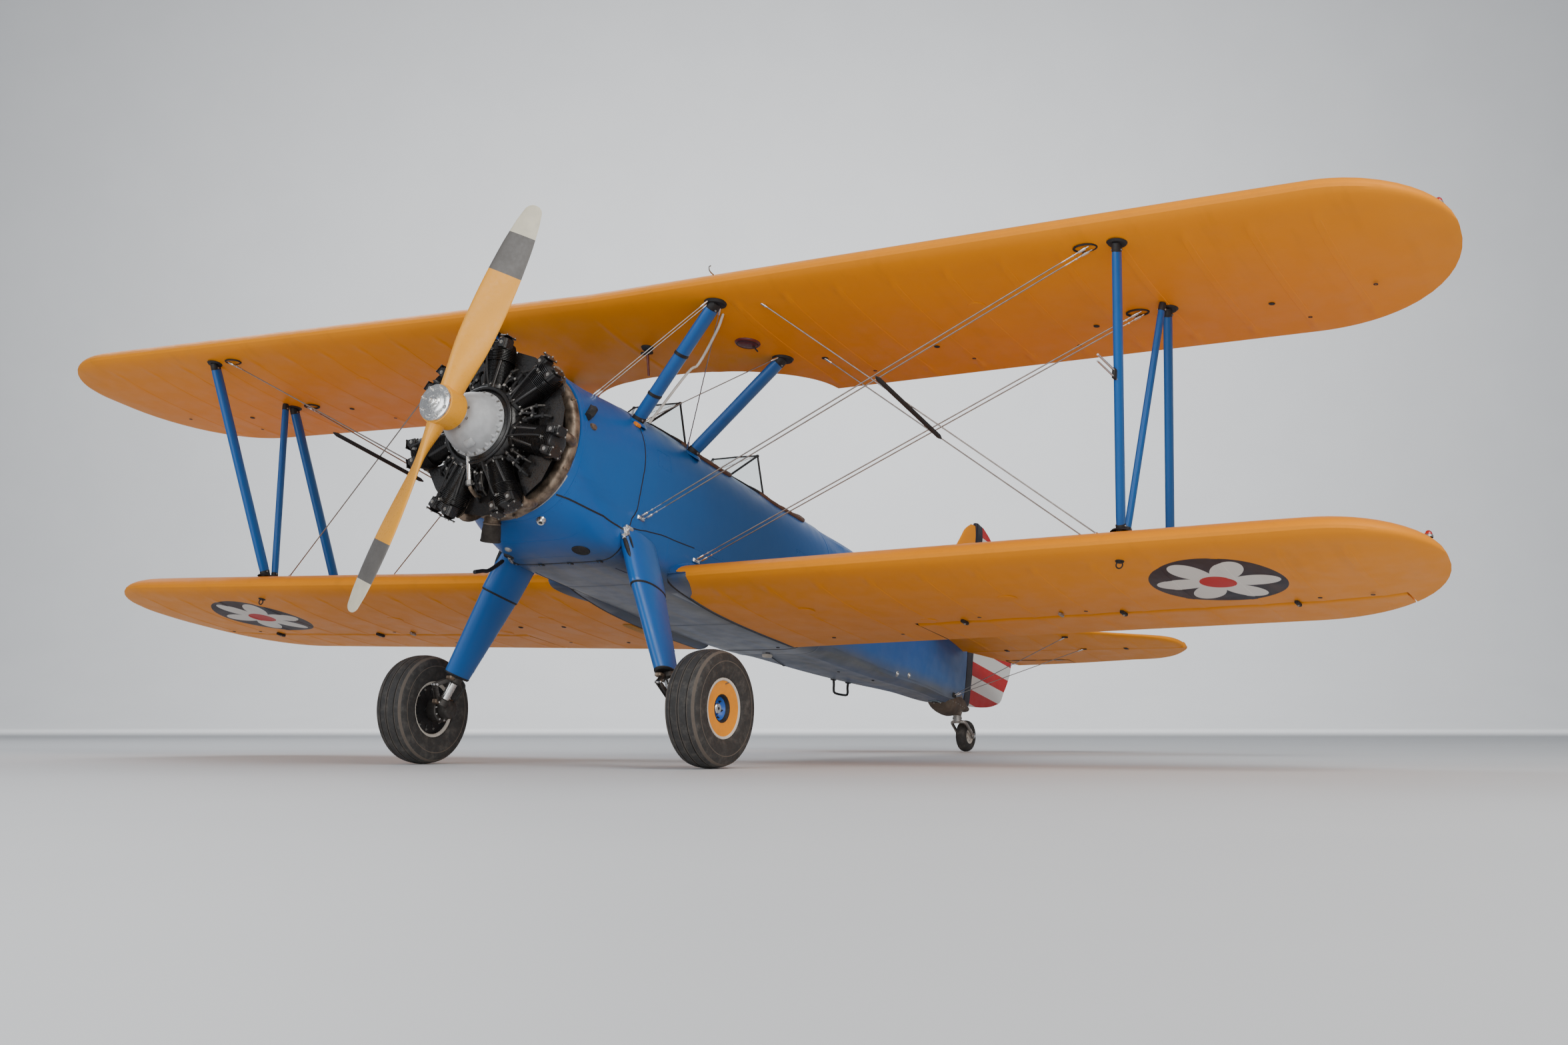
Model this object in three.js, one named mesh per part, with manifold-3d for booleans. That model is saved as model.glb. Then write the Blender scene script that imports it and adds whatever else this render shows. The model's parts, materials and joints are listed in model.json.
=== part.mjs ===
// A two-seat radial-engined training biplane, full size, standing on its wheels with the tail down.
// Millimetres. The aircraft's own frame: X to its left, Y aft, Z up, with the origin on the thrust
// line at the front of the propeller hub. The last lines turn the whole aircraft nose up until its
// three tyres stand on Z = 0, and centre its length on the origin.

import * as THREE from "three";
import { mergeVertices } from "three/addons/utils/BufferGeometryUtils.js";
import Module from "manifold-3d";

const wasm = await Module();
wasm.setup();

const rad = THREE.MathUtils.degToRad;
const at = (x, y, z) => new THREE.Vector3(x, y, z);
const mirror = (p, side) => at(p.x * side, p.y, p.z);
const SIDES = [["left", 1], ["right", -1]];

// Driving dimensions
const SEAT_GAP = 0.4; // between a piece and the piece that carries it
const CHORD = 1524;
const UPPER = {
  halfSpan: 4902, leadY: 1152, leadZ: 1048, incidence: 4, dihedral: 1, frontTip: 600, rearTip: 950,
};
const LOWER = {
  halfSpan: 4720, leadY: 1815, leadZ: -490, incidence: 3, dihedral: 1.5, frontTip: 560, rearTip: 900,
};
const TIP_POINT = 0.36; // the tip's outermost point, as a share of the chord
const CENTER_HALF = 920; // half width of the upper wing's centre section
const CUTOUT = { halfWidth: 905, depth: 545 };
const FRONT_SPAR = 170; // behind the leading edge
const REAR_SPAR = 948;
const WING_ROOT = 385; // the lower wings start here and are cut back to the fuselage side
const PROP = { radius: 1200, lean: 21, bladeY: 112, bossRadius: 112, bossHalf: 66, shaft: 38 };
const ENGINE = { cylinderY: 500, reach: 540, caseFront: 395, cylinders: 7 };
const FIREWALL_Y = 740;
const COWL_SEAM_Y = 1375;
const TAIL_CONE_Y = 3700;
const STERN_Y = 6580;
const WALL = 35; // fuselage side: longeron, stringer and skin
const MAIN_WHEEL = { x: 1032, y: 1458, z: -1365, radius: 326, width: 212, rim: 168, axle: 30 };
const TAIL_WHEEL = { y: 6752, z: -482, radius: 127, width: 88, axle: 9 };
const WHEEL_SIDES = 32; // each faceted tyre stands on a flat of its outline
const TAIL_PIVOT = { y: 6574, z: -384 };
const TAILPLANE = { z: 174, hingeY: 6480, nose: 24 };
const RUDDER_AXIS_Y = 6630;

// Materials
const finish = (color, roughness, metalness) =>
  new THREE.MeshStandardMaterial({ color, roughness, metalness });
const paint = (color, roughness = 0.4) => finish(color, roughness, 0);
const metal = (color, roughness = 0.35) => finish(color, roughness, 0.9);
const clear = finish(0xdfeef2, 0.05, 0);
clear.transparent = true;
clear.opacity = 0.35;
const MATERIALS = {
  yellow: paint(0xf2a516),
  blue: paint(0x1f63ac),
  stripes: paint(0xd9262f),
  tyre: paint(0x2a2a2a, 0.9),
  engineBlack: paint(0x141414, 0.45),
  engineGrey: metal(0xb9bbbd, 0.5),
  steel: metal(0x9a9690),
  exhaust: metal(0x6f5f50, 0.55),
  bladeYellow: paint(0xf0bb4a),
  glass: clear,
  cockpit: paint(0x5d7a55, 0.7),
  panel: paint(0x1b1b1b, 0.6),
};

// Closed solids from three.js geometry
function solid(geometry) {
  const bare = new THREE.BufferGeometry().setAttribute("position", geometry.getAttribute("position"));
  if (geometry.index) bare.setIndex(geometry.index);
  const merged = mergeVertices(bare, 1e-3);
  const places = merged.attributes.position;
  const corners = [];
  let volume = 0;
  const [a, b, c] = [at(0, 0, 0), at(0, 0, 0), at(0, 0, 0)];
  for (let i = 0; i < merged.index.count; i += 3) {
    const [p, q, r] = [0, 1, 2].map((k) => merged.index.getX(i + k));
    if (p === q || q === r || r === p) continue;
    corners.push(p, q, r);
    a.fromBufferAttribute(places, p);
    b.fromBufferAttribute(places, q);
    c.fromBufferAttribute(places, r);
    volume += a.dot(b.cross(c));
  }
  if (volume < 0)
    for (let i = 0; i < corners.length; i += 3)
      [corners[i + 1], corners[i + 2]] = [corners[i + 2], corners[i + 1]];
  return new wasm.Manifold(
    new wasm.Mesh({ numProp: 3, vertProperties: places.array, triVerts: Uint32Array.from(corners) }),
  );
}

const together = (pieces) => pieces.reduce((all, piece) => all.add(piece));

// piece, cut by neighbours that are drawn a seat gap larger than they are; the largest part stays.
function seated(piece, ...neighbours) {
  const cut = neighbours.reduce((left, neighbour) => left.subtract(neighbour), piece);
  return cut.decompose().reduce((best, part) => (part.volume() > best.volume() ? part : best));
}

function named(group, name, piece, material) {
  const { numProp, vertProperties, triVerts } = piece.getMesh();
  const places = new Float32Array((vertProperties.length / numProp) * 3);
  for (let i = 0; i < places.length / 3; i++)
    places.set(vertProperties.subarray(i * numProp, i * numProp + 3), i * 3);
  const geometry = new THREE.BufferGeometry()
    .setAttribute("position", new THREE.BufferAttribute(places, 3))
    .setIndex(new THREE.BufferAttribute(triVerts, 1));
  geometry.computeVertexNormals();
  const mesh = new THREE.Mesh(geometry, MATERIALS[material]);
  mesh.name = name;
  group.add(mesh);
  return mesh;
}

function capTriangles(ring) {
  const normal = at(0, 0, 0);
  ring.forEach((p, i) => normal.add(p.clone().cross(ring[(i + 1) % ring.length])));
  const size = [Math.abs(normal.x), Math.abs(normal.y), Math.abs(normal.z)];
  const drop = size.indexOf(Math.max(...size));
  const flat = ring.map((p) => {
    const kept = p.toArray().filter((_, axis) => axis !== drop);
    return new THREE.Vector2(kept[0], kept[1]);
  });
  const turn = Math.sign(THREE.ShapeUtils.area(flat));
  return THREE.ShapeUtils.triangulateShape(flat, []).map(([a, b, c]) => {
    const same = Math.sign(THREE.ShapeUtils.area([flat[a], flat[b], flat[c]])) === turn;
    return same ? [a, b, c] : [a, c, b];
  });
}

// A closed skin over rings of equal point counts.
function loft(rings) {
  const n = rings[0].length;
  const index = [];
  for (let r = 0; r < rings.length - 1; r++)
    for (let i = 0; i < n; i++) {
      const j = (i + 1) % n;
      const [a, b, c, d] = [r * n + i, r * n + j, (r + 1) * n + j, (r + 1) * n + i];
      index.push(a, b, c, a, c, d);
    }
  const last = (rings.length - 1) * n;
  for (const [a, b, c] of capTriangles(rings[0])) index.push(a, c, b);
  for (const [a, b, c] of capTriangles(rings.at(-1))) index.push(last + a, last + b, last + c);
  const geometry = new THREE.BufferGeometry()
    .setAttribute("position", new THREE.Float32BufferAttribute(rings.flat().flatMap((p) => p.toArray()), 3))
    .setIndex(index);
  return solid(geometry);
}

function block(low, high) {
  const size = high.clone().sub(low);
  const middle = low.clone().add(high).multiplyScalar(0.5);
  return solid(new THREE.BoxGeometry(size.x, size.y, size.z).translate(middle.x, middle.y, middle.z));
}

function rod(from, to, radius, sides = 12, endRadius = radius) {
  const along = to.clone().sub(from);
  const geometry = new THREE.CylinderGeometry(endRadius, radius, along.length(), sides);
  geometry.applyQuaternion(new THREE.Quaternion().setFromUnitVectors(at(0, 1, 0), along.normalize()));
  const middle = from.clone().add(to).multiplyScalar(0.5);
  return solid(geometry.translate(middle.x, middle.y, middle.z));
}

// A turned piece; profile holds [radius, distance along the axis] pairs.
function turned(profile, axis, centre, sides, start = 0) {
  const geometry = new THREE.LatheGeometry(profile.map(([r, d]) => new THREE.Vector2(r, d)), sides, start);
  geometry.applyQuaternion(new THREE.Quaternion().setFromUnitVectors(at(0, 1, 0), axis));
  return solid(geometry.translate(centre.x, centre.y, centre.z));
}

// A flat panel of the given thickness, centred on its corner points.
function panel(points, thickness) {
  const normal = points[1].clone().sub(points[0]).cross(points[2].clone().sub(points[0])).normalize();
  const half = normal.multiplyScalar(thickness / 2);
  return loft([points.map((p) => p.clone().sub(half)), points.map((p) => p.clone().add(half))]);
}

// A strut of teardrop section whose chord lies fore and aft.
function strut(from, to, chord, thickness, endChord = chord, endThickness = thickness, points = 12) {
  const along = to.clone().sub(from).normalize();
  const aft = at(0, 1, 0).addScaledVector(along, -along.y).normalize();
  const across = along.clone().cross(aft);
  const ring = (centre, c, t) =>
    Array.from({ length: points }, (_, i) => {
      const a = (2 * Math.PI * i) / points;
      const taper = 1 - 0.25 * Math.cos(a);
      return centre
        .clone()
        .addScaledVector(aft, (c / 2) * Math.cos(a))
        .addScaledVector(across, (t / 2) * Math.sin(a) * taper);
    });
  return loft([ring(from, chord, thickness), ring(to, endChord, endThickness)]);
}

// Wings

// Heights of the upper and lower surface at a share of the chord, both as shares of the chord.
function airfoil(share) {
  const [camber, peak, thick] = [0.02, 0.2, 0.13];
  const rise = share < peak ? camber / peak ** 2 : camber / (1 - peak) ** 2;
  const start = share < peak ? 0 : 1 - 2 * peak;
  const line = rise * (start + 2 * peak * share - share ** 2);
  const fullness = 0.2969 * Math.sqrt(share) - 0.126 * share - 0.3516 * share ** 2;
  const half = 5 * thick * (fullness + 0.2843 * share ** 3 - 0.1036 * share ** 4);
  const edge = 0.0012 * share; // half the trailing edge's thickness
  return [line + half + edge, line - half - edge];
}

const CHORD_SHARES = [0.02, 0.07, 0.16, 0.3, 0.48, 0.66, 0.84];

// Leading and trailing edge at a distance out along the span, with the two ellipses of the tip.
function planform(wing, x) {
  const nose = CHORD * TIP_POINT;
  const curve = (reach) => {
    const past = Math.max(0, (x - (wing.halfSpan - reach)) / reach);
    return 1 - Math.sqrt(Math.max(0, 1 - past ** 2));
  };
  const trail = wing.leadY + CHORD - (CHORD - nose) * curve(wing.rearTip);
  return [wing.leadY + nose * curve(wing.frontTip), trail];
}

const chordPlane = (wing, x, y) =>
  wing.leadZ + x * Math.tan(rad(wing.dihedral)) - (y - wing.leadY) * Math.tan(rad(wing.incidence));

function wingRing(wing, x, side, grow = 0) {
  const [lead, trail] = planform(wing, x);
  const chord = trail - lead;
  const place = (share, surface) => {
    const y = lead + share * chord;
    const away = surface === 0 ? grow : -grow;
    return at(x * side, y, chordPlane(wing, x, y) + airfoil(share)[surface] * chord + away);
  };
  const upper = CHORD_SHARES.map((s) => place(s, 0));
  const lower = CHORD_SHARES.map((s) => place(s, 1)).reverse();
  return [place(0, 0), ...upper, place(1, 0), place(1, 1), ...lower];
}

// Spanwise stations: the straight part's ends, then steps of angle round the tip.
function wingStations(wing, root) {
  const angles = [0, 18, 34, 48, 62, 74, 83];
  const full = Math.sin(rad(angles.at(-1)));
  const tip = angles.map((a) => wing.halfSpan - wing.rearTip + (wing.rearTip * Math.sin(rad(a))) / full);
  return [root, ...tip.slice(0, -1), wing.halfSpan - 2];
}

function wingPanel(wing, root, side, grow = 0) {
  return loft(wingStations(wing, root).map((x) => wingRing(wing, x, side, grow)));
}

function centerSection(grow = 0) {
  const stations = [[CENTER_HALF, -1], [0.001, 1], [CENTER_HALF, 1]];
  const whole = loft(stations.map(([x, side]) => wingRing(UPPER, x, side, grow)));
  const cutter = new THREE.CylinderGeometry(CUTOUT.halfWidth, CUTOUT.halfWidth, 600, 48)
    .rotateX(Math.PI / 2)
    .scale(1, CUTOUT.depth / CUTOUT.halfWidth, 1)
    .translate(0, UPPER.leadY + CHORD, UPPER.leadZ);
  return whole.subtract(solid(cutter));
}

// Control surfaces

// A plug-in hinge at each place: a lug on the fixed piece, a slot in the moving piece and its pin.
function hinged(fixed, moving, axisPoint, axisDirection, places, lugReach) {
  const LUG = { thickness: 8, radius: 13, slot: 16, pin: 5, bore: 5.7, height: 150 };
  const turn = new THREE.Quaternion().setFromUnitVectors(at(1, 0, 0), axisDirection);
  const local = (low, high, centre) => {
    const size = high.clone().sub(low);
    const middle = low.clone().add(high).multiplyScalar(0.5);
    const box = new THREE.BoxGeometry(size.x, size.y, size.z).translate(middle.x, middle.y, middle.z);
    return solid(box.applyQuaternion(turn).translate(centre.x, centre.y, centre.z));
  };
  for (const place of places) {
    const centre = axisPoint.clone().addScaledVector(axisDirection, place);
    const reach = (half) => [
      centre.clone().addScaledVector(axisDirection, -half),
      centre.clone().addScaledVector(axisDirection, half),
    ];
    const [slotHalf, armHalf, armRise] = [LUG.slot / 2, LUG.thickness / 2, LUG.radius * 0.7];
    const slotLow = at(-slotHalf, -lugReach, -LUG.height);
    const slot = local(slotLow, at(slotHalf, LUG.radius + 6, LUG.height), centre);
    const armLow = at(-armHalf, -lugReach - 12, -armRise);
    const arm = local(armLow, at(armHalf, 0, armRise), centre);
    const eye = rod(...reach(armHalf), LUG.radius, 8);
    const bore = rod(...reach(LUG.thickness), LUG.bore, 8);
    const pin = rod(...reach(slotHalf + 6), LUG.pin, 8);
    fixed = fixed.add(arm).add(eye).subtract(bore);
    moving = moving.subtract(slot).add(pin);
  }
  return [fixed, moving];
}

const AILERON = { inner: 1500, outer: 4400, hingeY: 2925, nose: 42, gap: 9 };

// A control surface's outline at one station: a round nose on the hinge axis, a middle point on each
// surface, then the trailing edge. Each of middle and trail is [distance aft, half thickness, shift up].
function surfaceRing(place, nose, middle, trail) {
  const steps = 5;
  const ring = [];
  for (let i = 0; i <= steps; i++) {
    const a = Math.PI / 2 + (Math.PI * i) / steps;
    ring.push(place(nose * Math.cos(a), nose * Math.sin(a)));
  }
  const [top, bottom] = [1, -1].map((way) => ([aft, half, shift]) => place(aft, shift + way * half));
  ring.push(bottom(middle), bottom(trail), top(trail), top(middle));
  return ring;
}

function aileron(side) {
  const stations = [AILERON.inner, 3800, 4020, 4200, 4320, AILERON.outer];
  return loft(
    stations.map((x) => {
      const [lead, trail] = planform(LOWER, x);
      const surfaces = (aft) => {
        const y = AILERON.hingeY + aft;
        const [top, bottom] = airfoil((y - lead) / (trail - lead)).map((h) => h * (trail - lead));
        return { middle: chordPlane(LOWER, x, y) + (top + bottom) / 2, half: (top - bottom) / 2 };
      };
      const hinge = surfaces(0);
      const place = (y, z) => at(x * side, AILERON.hingeY + y, hinge.middle + z);
      const chord = trail - AILERON.hingeY - 2;
      const station = (aft, half) => [aft, half, surfaces(aft).middle - hinge.middle];
      const nose = Math.min(AILERON.nose, hinge.half);
      return surfaceRing(place, nose, station(chord * 0.5, surfaces(chord * 0.5).half), station(chord, 2));
    }),
  );
}

function aileronAxis(side) {
  const dihedral = rad(LOWER.dihedral);
  const [lead, trail] = planform(LOWER, AILERON.inner);
  const [top, bottom] = airfoil((AILERON.hingeY - lead) / (trail - lead));
  const z = chordPlane(LOWER, AILERON.inner, AILERON.hingeY) + ((top + bottom) / 2) * (trail - lead);
  return [at(AILERON.inner * side, AILERON.hingeY, z), at(Math.cos(dihedral) * side, 0, Math.sin(dihedral))];
}

function lowerWingAndAileron(side) {
  const [axisPoint, axis] = aileronAxis(side);
  const bayFront = AILERON.hingeY - AILERON.nose - AILERON.gap;
  const [bayInner, bayOuter] = [AILERON.inner - 8, AILERON.outer + 10];
  const [low, high] = side > 0 ? [bayInner, bayOuter] : [-bayOuter, -bayInner];
  const bay = block(at(low, bayFront, -900), at(high, 4000, 200));
  const wing = wingPanel(LOWER, WING_ROOT, side).subtract(bay);
  return hinged(wing, aileron(side), axisPoint, axis, [330, 1330, 2330], AILERON.nose + AILERON.gap);
}

// Tailplane outline: distance out, leading edge, trailing edge.
const TAIL_STATIONS = [
  { x: 60, lead: 5390, trail: 7062 },
  { x: 300, lead: 5515, trail: 7052 },
  { x: 800, lead: 5772, trail: 7005 },
  { x: 1300, lead: 5998, trail: 6920 },
  { x: 1620, lead: 6132, trail: 6855 },
  { x: 1800, lead: 6205, trail: 6715 },
  { x: 1880, lead: 6310, trail: 6590 },
  { x: 1908, lead: 6410, trail: 6530 },
];
const ELEVATOR_ROOT = { x: 92, slope: 0.34 }; // the inner end runs outwards going aft, clear of the rudder
const TAIL_HALF_THICKNESS = 30;

function stabilizer(side) {
  return loft(
    TAIL_STATIONS.map(({ x, lead }) => {
      const rear = TAILPLANE.hingeY - TAILPLANE.nose - 8;
      const front = Math.min(lead, rear - 20);
      const length = rear - front;
      const half = Math.min(TAIL_HALF_THICKNESS, 8 + length * 0.12);
      const place = (share, z) => at(x * side, front + share * length, TAILPLANE.z + z * half);
      const upper = [[0.04, 0.55], [0.2, 0.95], [1, 0.85]];
      const lower = upper.map(([share, z]) => [share, -z]).reverse();
      return [[0, 0], ...upper, ...lower].map(([share, z]) => place(share, z));
    }),
  );
}

function elevator(side) {
  const outer = TAIL_STATIONS.filter(({ x }) => x >= 300);
  const first = { ...TAIL_STATIONS[0], x: ELEVATOR_ROOT.x, root: true };
  return loft(
    [first, ...outer].map(({ x, trail, root }) => {
      const length = trail - TAILPLANE.hingeY;
      const nose = Math.min(TAILPLANE.nose, 8 + length * 0.2);
      const place = (y, z) => {
        const out = root ? x + Math.max(0, y) * ELEVATOR_ROOT.slope : x;
        return at(out * side, TAILPLANE.hingeY + y, TAILPLANE.z + z);
      };
      return surfaceRing(place, nose, [length * 0.5, nose * 0.62, 0], [length, 3, 0]);
    }),
  );
}

// Fin and rudder outline: height, fin leading edge, rudder trailing edge.
const FIN_STATIONS = [
  { z: 240, lead: 5720 },
  { z: 490, lead: 5912 },
  { z: 910, lead: 6230 },
  { z: 1090, lead: 6368 },
  { z: 1195, lead: 6452 },
  { z: 1250, lead: 6535 },
];
const RUDDER_STATIONS = [
  { z: -238, trail: 6760 },
  { z: -200, trail: 6985 },
  { z: -110, trail: 7290 },
  { z: 20, trail: 7405 },
  { z: 200, trail: 7498 },
  { z: 340, trail: 7512 },
  { z: 560, trail: 7465 },
  { z: 780, trail: 7375 },
  { z: 980, trail: 7235 },
  { z: 1140, trail: 7050 },
  { z: 1235, trail: 6895 },
  { z: 1282, trail: 6770 },
];
const RUDDER_NOSE = 24;

function fin() {
  const rear = RUDDER_AXIS_Y - RUDDER_NOSE - 8;
  return loft(
    FIN_STATIONS.map(({ z, lead }) => {
      const length = rear - lead;
      const half = Math.min(26, 7 + length * 0.1);
      const place = (share, x) => at(x * half, lead + share * length, z);
      const near = [[0.06, 0.6], [0.25, 1], [1, 0.9]];
      const far = near.map(([share, x]) => [share, -x]).reverse();
      return [[0, 0], ...near, ...far].map(([share, x]) => place(share, x));
    }),
  );
}

function rudder() {
  return loft(
    RUDDER_STATIONS.map(({ z, trail }) => {
      const length = trail - RUDDER_AXIS_Y;
      const place = (y, x) => at(x, RUDDER_AXIS_Y + y, z);
      const nose = Math.min(RUDDER_NOSE, 10 + length * 0.08);
      return surfaceRing(place, nose, [length * 0.5, nose * 0.62, 0], [length, 3, 0]);
    }),
  );
}

// Fuselage sections: station, half width, height of the widest line, rise to the deck, depth to the
// belly, and how square the upper and lower halves are (2 is an ellipse).
const SECTIONS = [
  { y: 740, half: 448, wide: 25, up: 445, down: 455, upSquare: 2, downSquare: 2 },
  { y: 1000, half: 431, wide: 30, up: 432, down: 525, upSquare: 2, downSquare: 4.6 },
  { y: 1300, half: 419, wide: 38, up: 437, down: 583, upSquare: 2.05, downSquare: 8 },
  { y: 1750, half: 408, wide: 48, up: 435, down: 602, upSquare: 2.1, downSquare: 8 },
  { y: 2300, half: 406, wide: 50, up: 412, down: 606, upSquare: 2.1, downSquare: 8 },
  { y: 2900, half: 400, wide: 50, up: 392, down: 605, upSquare: 2.1, downSquare: 8 },
  { y: 3400, half: 390, wide: 50, up: 392, down: 592, upSquare: 2.1, downSquare: 8 },
  { y: 3900, half: 358, wide: 48, up: 386, down: 553, upSquare: 2.1, downSquare: 8 },
  { y: 4400, half: 318, wide: 45, up: 390, down: 518, upSquare: 2.1, downSquare: 8 },
  { y: 5000, half: 257, wide: 36, up: 343, down: 460, upSquare: 2.1, downSquare: 8 },
  { y: 5600, half: 195, wide: 30, up: 311, down: 395, upSquare: 2.1, downSquare: 7 },
  { y: 6250, half: 112, wide: 18, up: 285, down: 336, upSquare: 2.1, downSquare: 6 },
  { y: 6580, half: 45, wide: 10, up: 275, down: 262, upSquare: 2.4, downSquare: 4 },
];

function sectionAt(y) {
  const found = SECTIONS.findIndex((s) => s.y >= y);
  const next = found < 0 ? SECTIONS.length - 1 : Math.max(1, found);
  const [a, b] = [SECTIONS[next - 1], SECTIONS[next]];
  const share = (y - a.y) / (b.y - a.y);
  return Object.fromEntries(Object.keys(a).map((key) => [key, a[key] + (b[key] - a[key]) * share]));
}

function fuselageRing(y, inset = 0, points = 24) {
  const s = sectionAt(y);
  return Array.from({ length: points }, (_, i) => {
    const a = (2 * Math.PI * i) / points;
    const [c, n] = [Math.cos(a), Math.sin(a)];
    const [rise, square] = n >= 0 ? [s.up, s.upSquare] : [s.down, s.downSquare];
    const x = Math.sign(c) * Math.abs(c) ** (2 / square) * (s.half - inset);
    const z = Math.sign(n) * Math.abs(n) ** (2 / square) * (rise - inset);
    return at(x, y, s.wide + z);
  });
}

function fuselagePiece(from, to, inset = 0) {
  const between = SECTIONS.map((s) => s.y).filter((y) => y > from + 1 && y < to - 1);
  return loft([from, ...between, to].map((y) => fuselageRing(y, inset)));
}

// Cockpits: opening's front and rear, and the matching places inside.
const COCKPITS = {
  front: { from: 1985, to: 2585, panelY: 1930, seatY: 2440 },
  rear: { from: 2925, to: 3530, panelY: 2870, seatY: 3385 },
};
const OPENING_HALF = 275;
const CABIN = { from: 1840, to: 3640, floorZ: -455 };
const FLOOR_Z = -395;

function openingCutter({ from, to }) {
  const [half, round] = [OPENING_HALF, 150];
  const shape = new THREE.Shape();
  shape.moveTo(-half + round, from);
  shape.lineTo(half - round, from);
  shape.absarc(half - round, from + round, round, -Math.PI / 2, 0, false);
  shape.absarc(half - round, to - round, round, 0, Math.PI / 2, false);
  shape.absarc(-half + round, to - round, round, Math.PI / 2, Math.PI, false);
  shape.absarc(-half + round, from + round, round, Math.PI, 1.5 * Math.PI, false);
  const cut = new THREE.ExtrudeGeometry(shape, { depth: 600, bevelEnabled: false, curveSegments: 3 });
  return solid(cut.translate(0, 0, 100));
}

function forwardFuselage() {
  const cavity = fuselagePiece(CABIN.from, CABIN.to, WALL).intersect(
    block(at(-600, CABIN.from, CABIN.floorZ), at(600, CABIN.to, 700)),
  );
  return fuselagePiece(COWL_SEAM_Y + SEAT_GAP, TAIL_CONE_Y)
    .subtract(cavity)
    .subtract(openingCutter(COCKPITS.front))
    .subtract(openingCutter(COCKPITS.rear));
}

function instrumentPanel({ panelY }) {
  return fuselagePiece(panelY, panelY + 8, WALL + SEAT_GAP).intersect(
    block(at(-600, panelY - 10, 120), at(600, panelY + 20, 700)),
  );
}

// The floor boards, with the two control sticks standing on them.
function cockpitFloor() {
  const boards = fuselagePiece(CABIN.from + 10, CABIN.to - 10, WALL + SEAT_GAP).intersect(
    block(at(-600, CABIN.from, FLOOR_Z - 12), at(600, CABIN.to, FLOOR_Z)),
  );
  const bearers = [2000, 2700, 3400].map((y) =>
    block(at(-150, y, CABIN.floorZ + SEAT_GAP), at(150, y + 40, FLOOR_Z - 5)),
  );
  const sticks = [COCKPITS.front, COCKPITS.rear].map(({ seatY }) =>
    rod(at(0, seatY - 280, FLOOR_Z - 5), at(0, seatY - 330, FLOOR_Z + 480), 13, 10),
  );
  return together([boards, ...bearers, ...sticks]);
}

function bucketSeat({ seatY }) {
  const [pan, top] = [FLOOR_Z + 190, FLOOR_Z + 690];
  const SEAT = { half: 200, front: seatY - 230, rear: seatY + 160, pan, top };
  const base = block(at(-SEAT.half, SEAT.front, pan), at(SEAT.half, SEAT.rear, pan + 70));
  const back = panel([
    at(-SEAT.half, SEAT.rear - 20, SEAT.pan),
    at(SEAT.half, SEAT.rear - 20, SEAT.pan),
    at(SEAT.half - 30, SEAT.rear + 20, SEAT.top),
    at(-SEAT.half + 30, SEAT.rear + 20, SEAT.top),
  ], 36);
  const sides = [-1, 1].map((side) =>
    panel([
      at(side * SEAT.half, SEAT.front, SEAT.pan),
      at(side * SEAT.half, SEAT.front, SEAT.pan + 130),
      at(side * SEAT.half, SEAT.rear, SEAT.pan + 330),
      at(side * SEAT.half, SEAT.rear, SEAT.pan),
    ], 14),
  );
  const legs = [-1, 1].flatMap((side) =>
    [SEAT.front + 60, SEAT.rear - 60].map((y) =>
      rod(at(side * 150, y, FLOOR_Z + SEAT_GAP), at(side * 150, y, pan + 10), 14, 10),
    ),
  );
  return together([base, back, ...sides, ...legs]);
}

// A three-pane windscreen: front foot, top and rear foot, with half widths.
const SCREEN = {
  run: 270, rise: 200, footHalf: 150, topHalf: 175, rearHalf: 235, rearRun: 300, pane: 6,
};

function windscreen({ from }, deck) {
  const footY = from - 245;
  const foot = (side) => at(side * SCREEN.footHalf, footY, deckHeight(SCREEN.footHalf, footY) - 3);
  const top = (side) => at(side * SCREEN.topHalf, footY + SCREEN.run, deckHeight(0, footY) + SCREEN.rise);
  const rearY = footY + SCREEN.rearRun;
  const rear = (side) => at(side * SCREEN.rearHalf, rearY, deckHeight(SCREEN.rearHalf, rearY) - 3);
  const middleFoot = at(0, footY - 12, deckHeight(0, footY) - 3);
  const panes = [
    panel([foot(-1), middleFoot, top(-1)], SCREEN.pane),
    panel([middleFoot, top(1), top(-1)], SCREEN.pane),
    panel([middleFoot, foot(1), top(1)], SCREEN.pane),
    panel([foot(1), rear(1), top(1)], SCREEN.pane),
    panel([foot(-1), top(-1), rear(-1)], SCREEN.pane),
  ];
  return seated(together(panes), deck);
}

// Height of the deck above a point of the fuselage's plan.
function deckHeight(x, y) {
  const s = sectionAt(y);
  return s.wide + s.up * (1 - Math.abs(x / s.half) ** s.upSquare) ** (1 / s.upSquare);
}

// Engine, collector and propeller
function engineCylinder(angle) {
  const out = at(Math.sin(angle), 0, Math.cos(angle));
  const across = at(Math.cos(angle), 0, -Math.sin(angle));
  const along = (radius, aft = 0, side = 0) =>
    at(0, ENGINE.cylinderY + aft, 0).addScaledVector(out, radius).addScaledVector(across, side);
  const barrel = rod(along(200), along(400), 76, 10);
  const head = rod(along(392), along(ENGINE.reach - 22), 92, 10, 80);
  const rockers = [-1, 1].map((side) =>
    rod(along(440, -30, side * 52), along(ENGINE.reach, -36, side * 60), 32, 6),
  );
  return together([barrel, head, ...rockers]);
}

function crankcase() {
  const body = turned(
    [
      [0, ENGINE.caseFront], [180, ENGINE.caseFront], [232, 430], [236, 575],
      [205, 610], [205, FIREWALL_Y - SEAT_GAP], [0, FIREWALL_Y - SEAT_GAP],
    ],
    at(0, 1, 0), at(0, 0, 0), 28,
  );
  const step = (2 * Math.PI) / ENGINE.cylinders;
  return together([body, ...Array.from({ length: ENGINE.cylinders }, (_, i) => engineCylinder(i * step))]);
}

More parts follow.
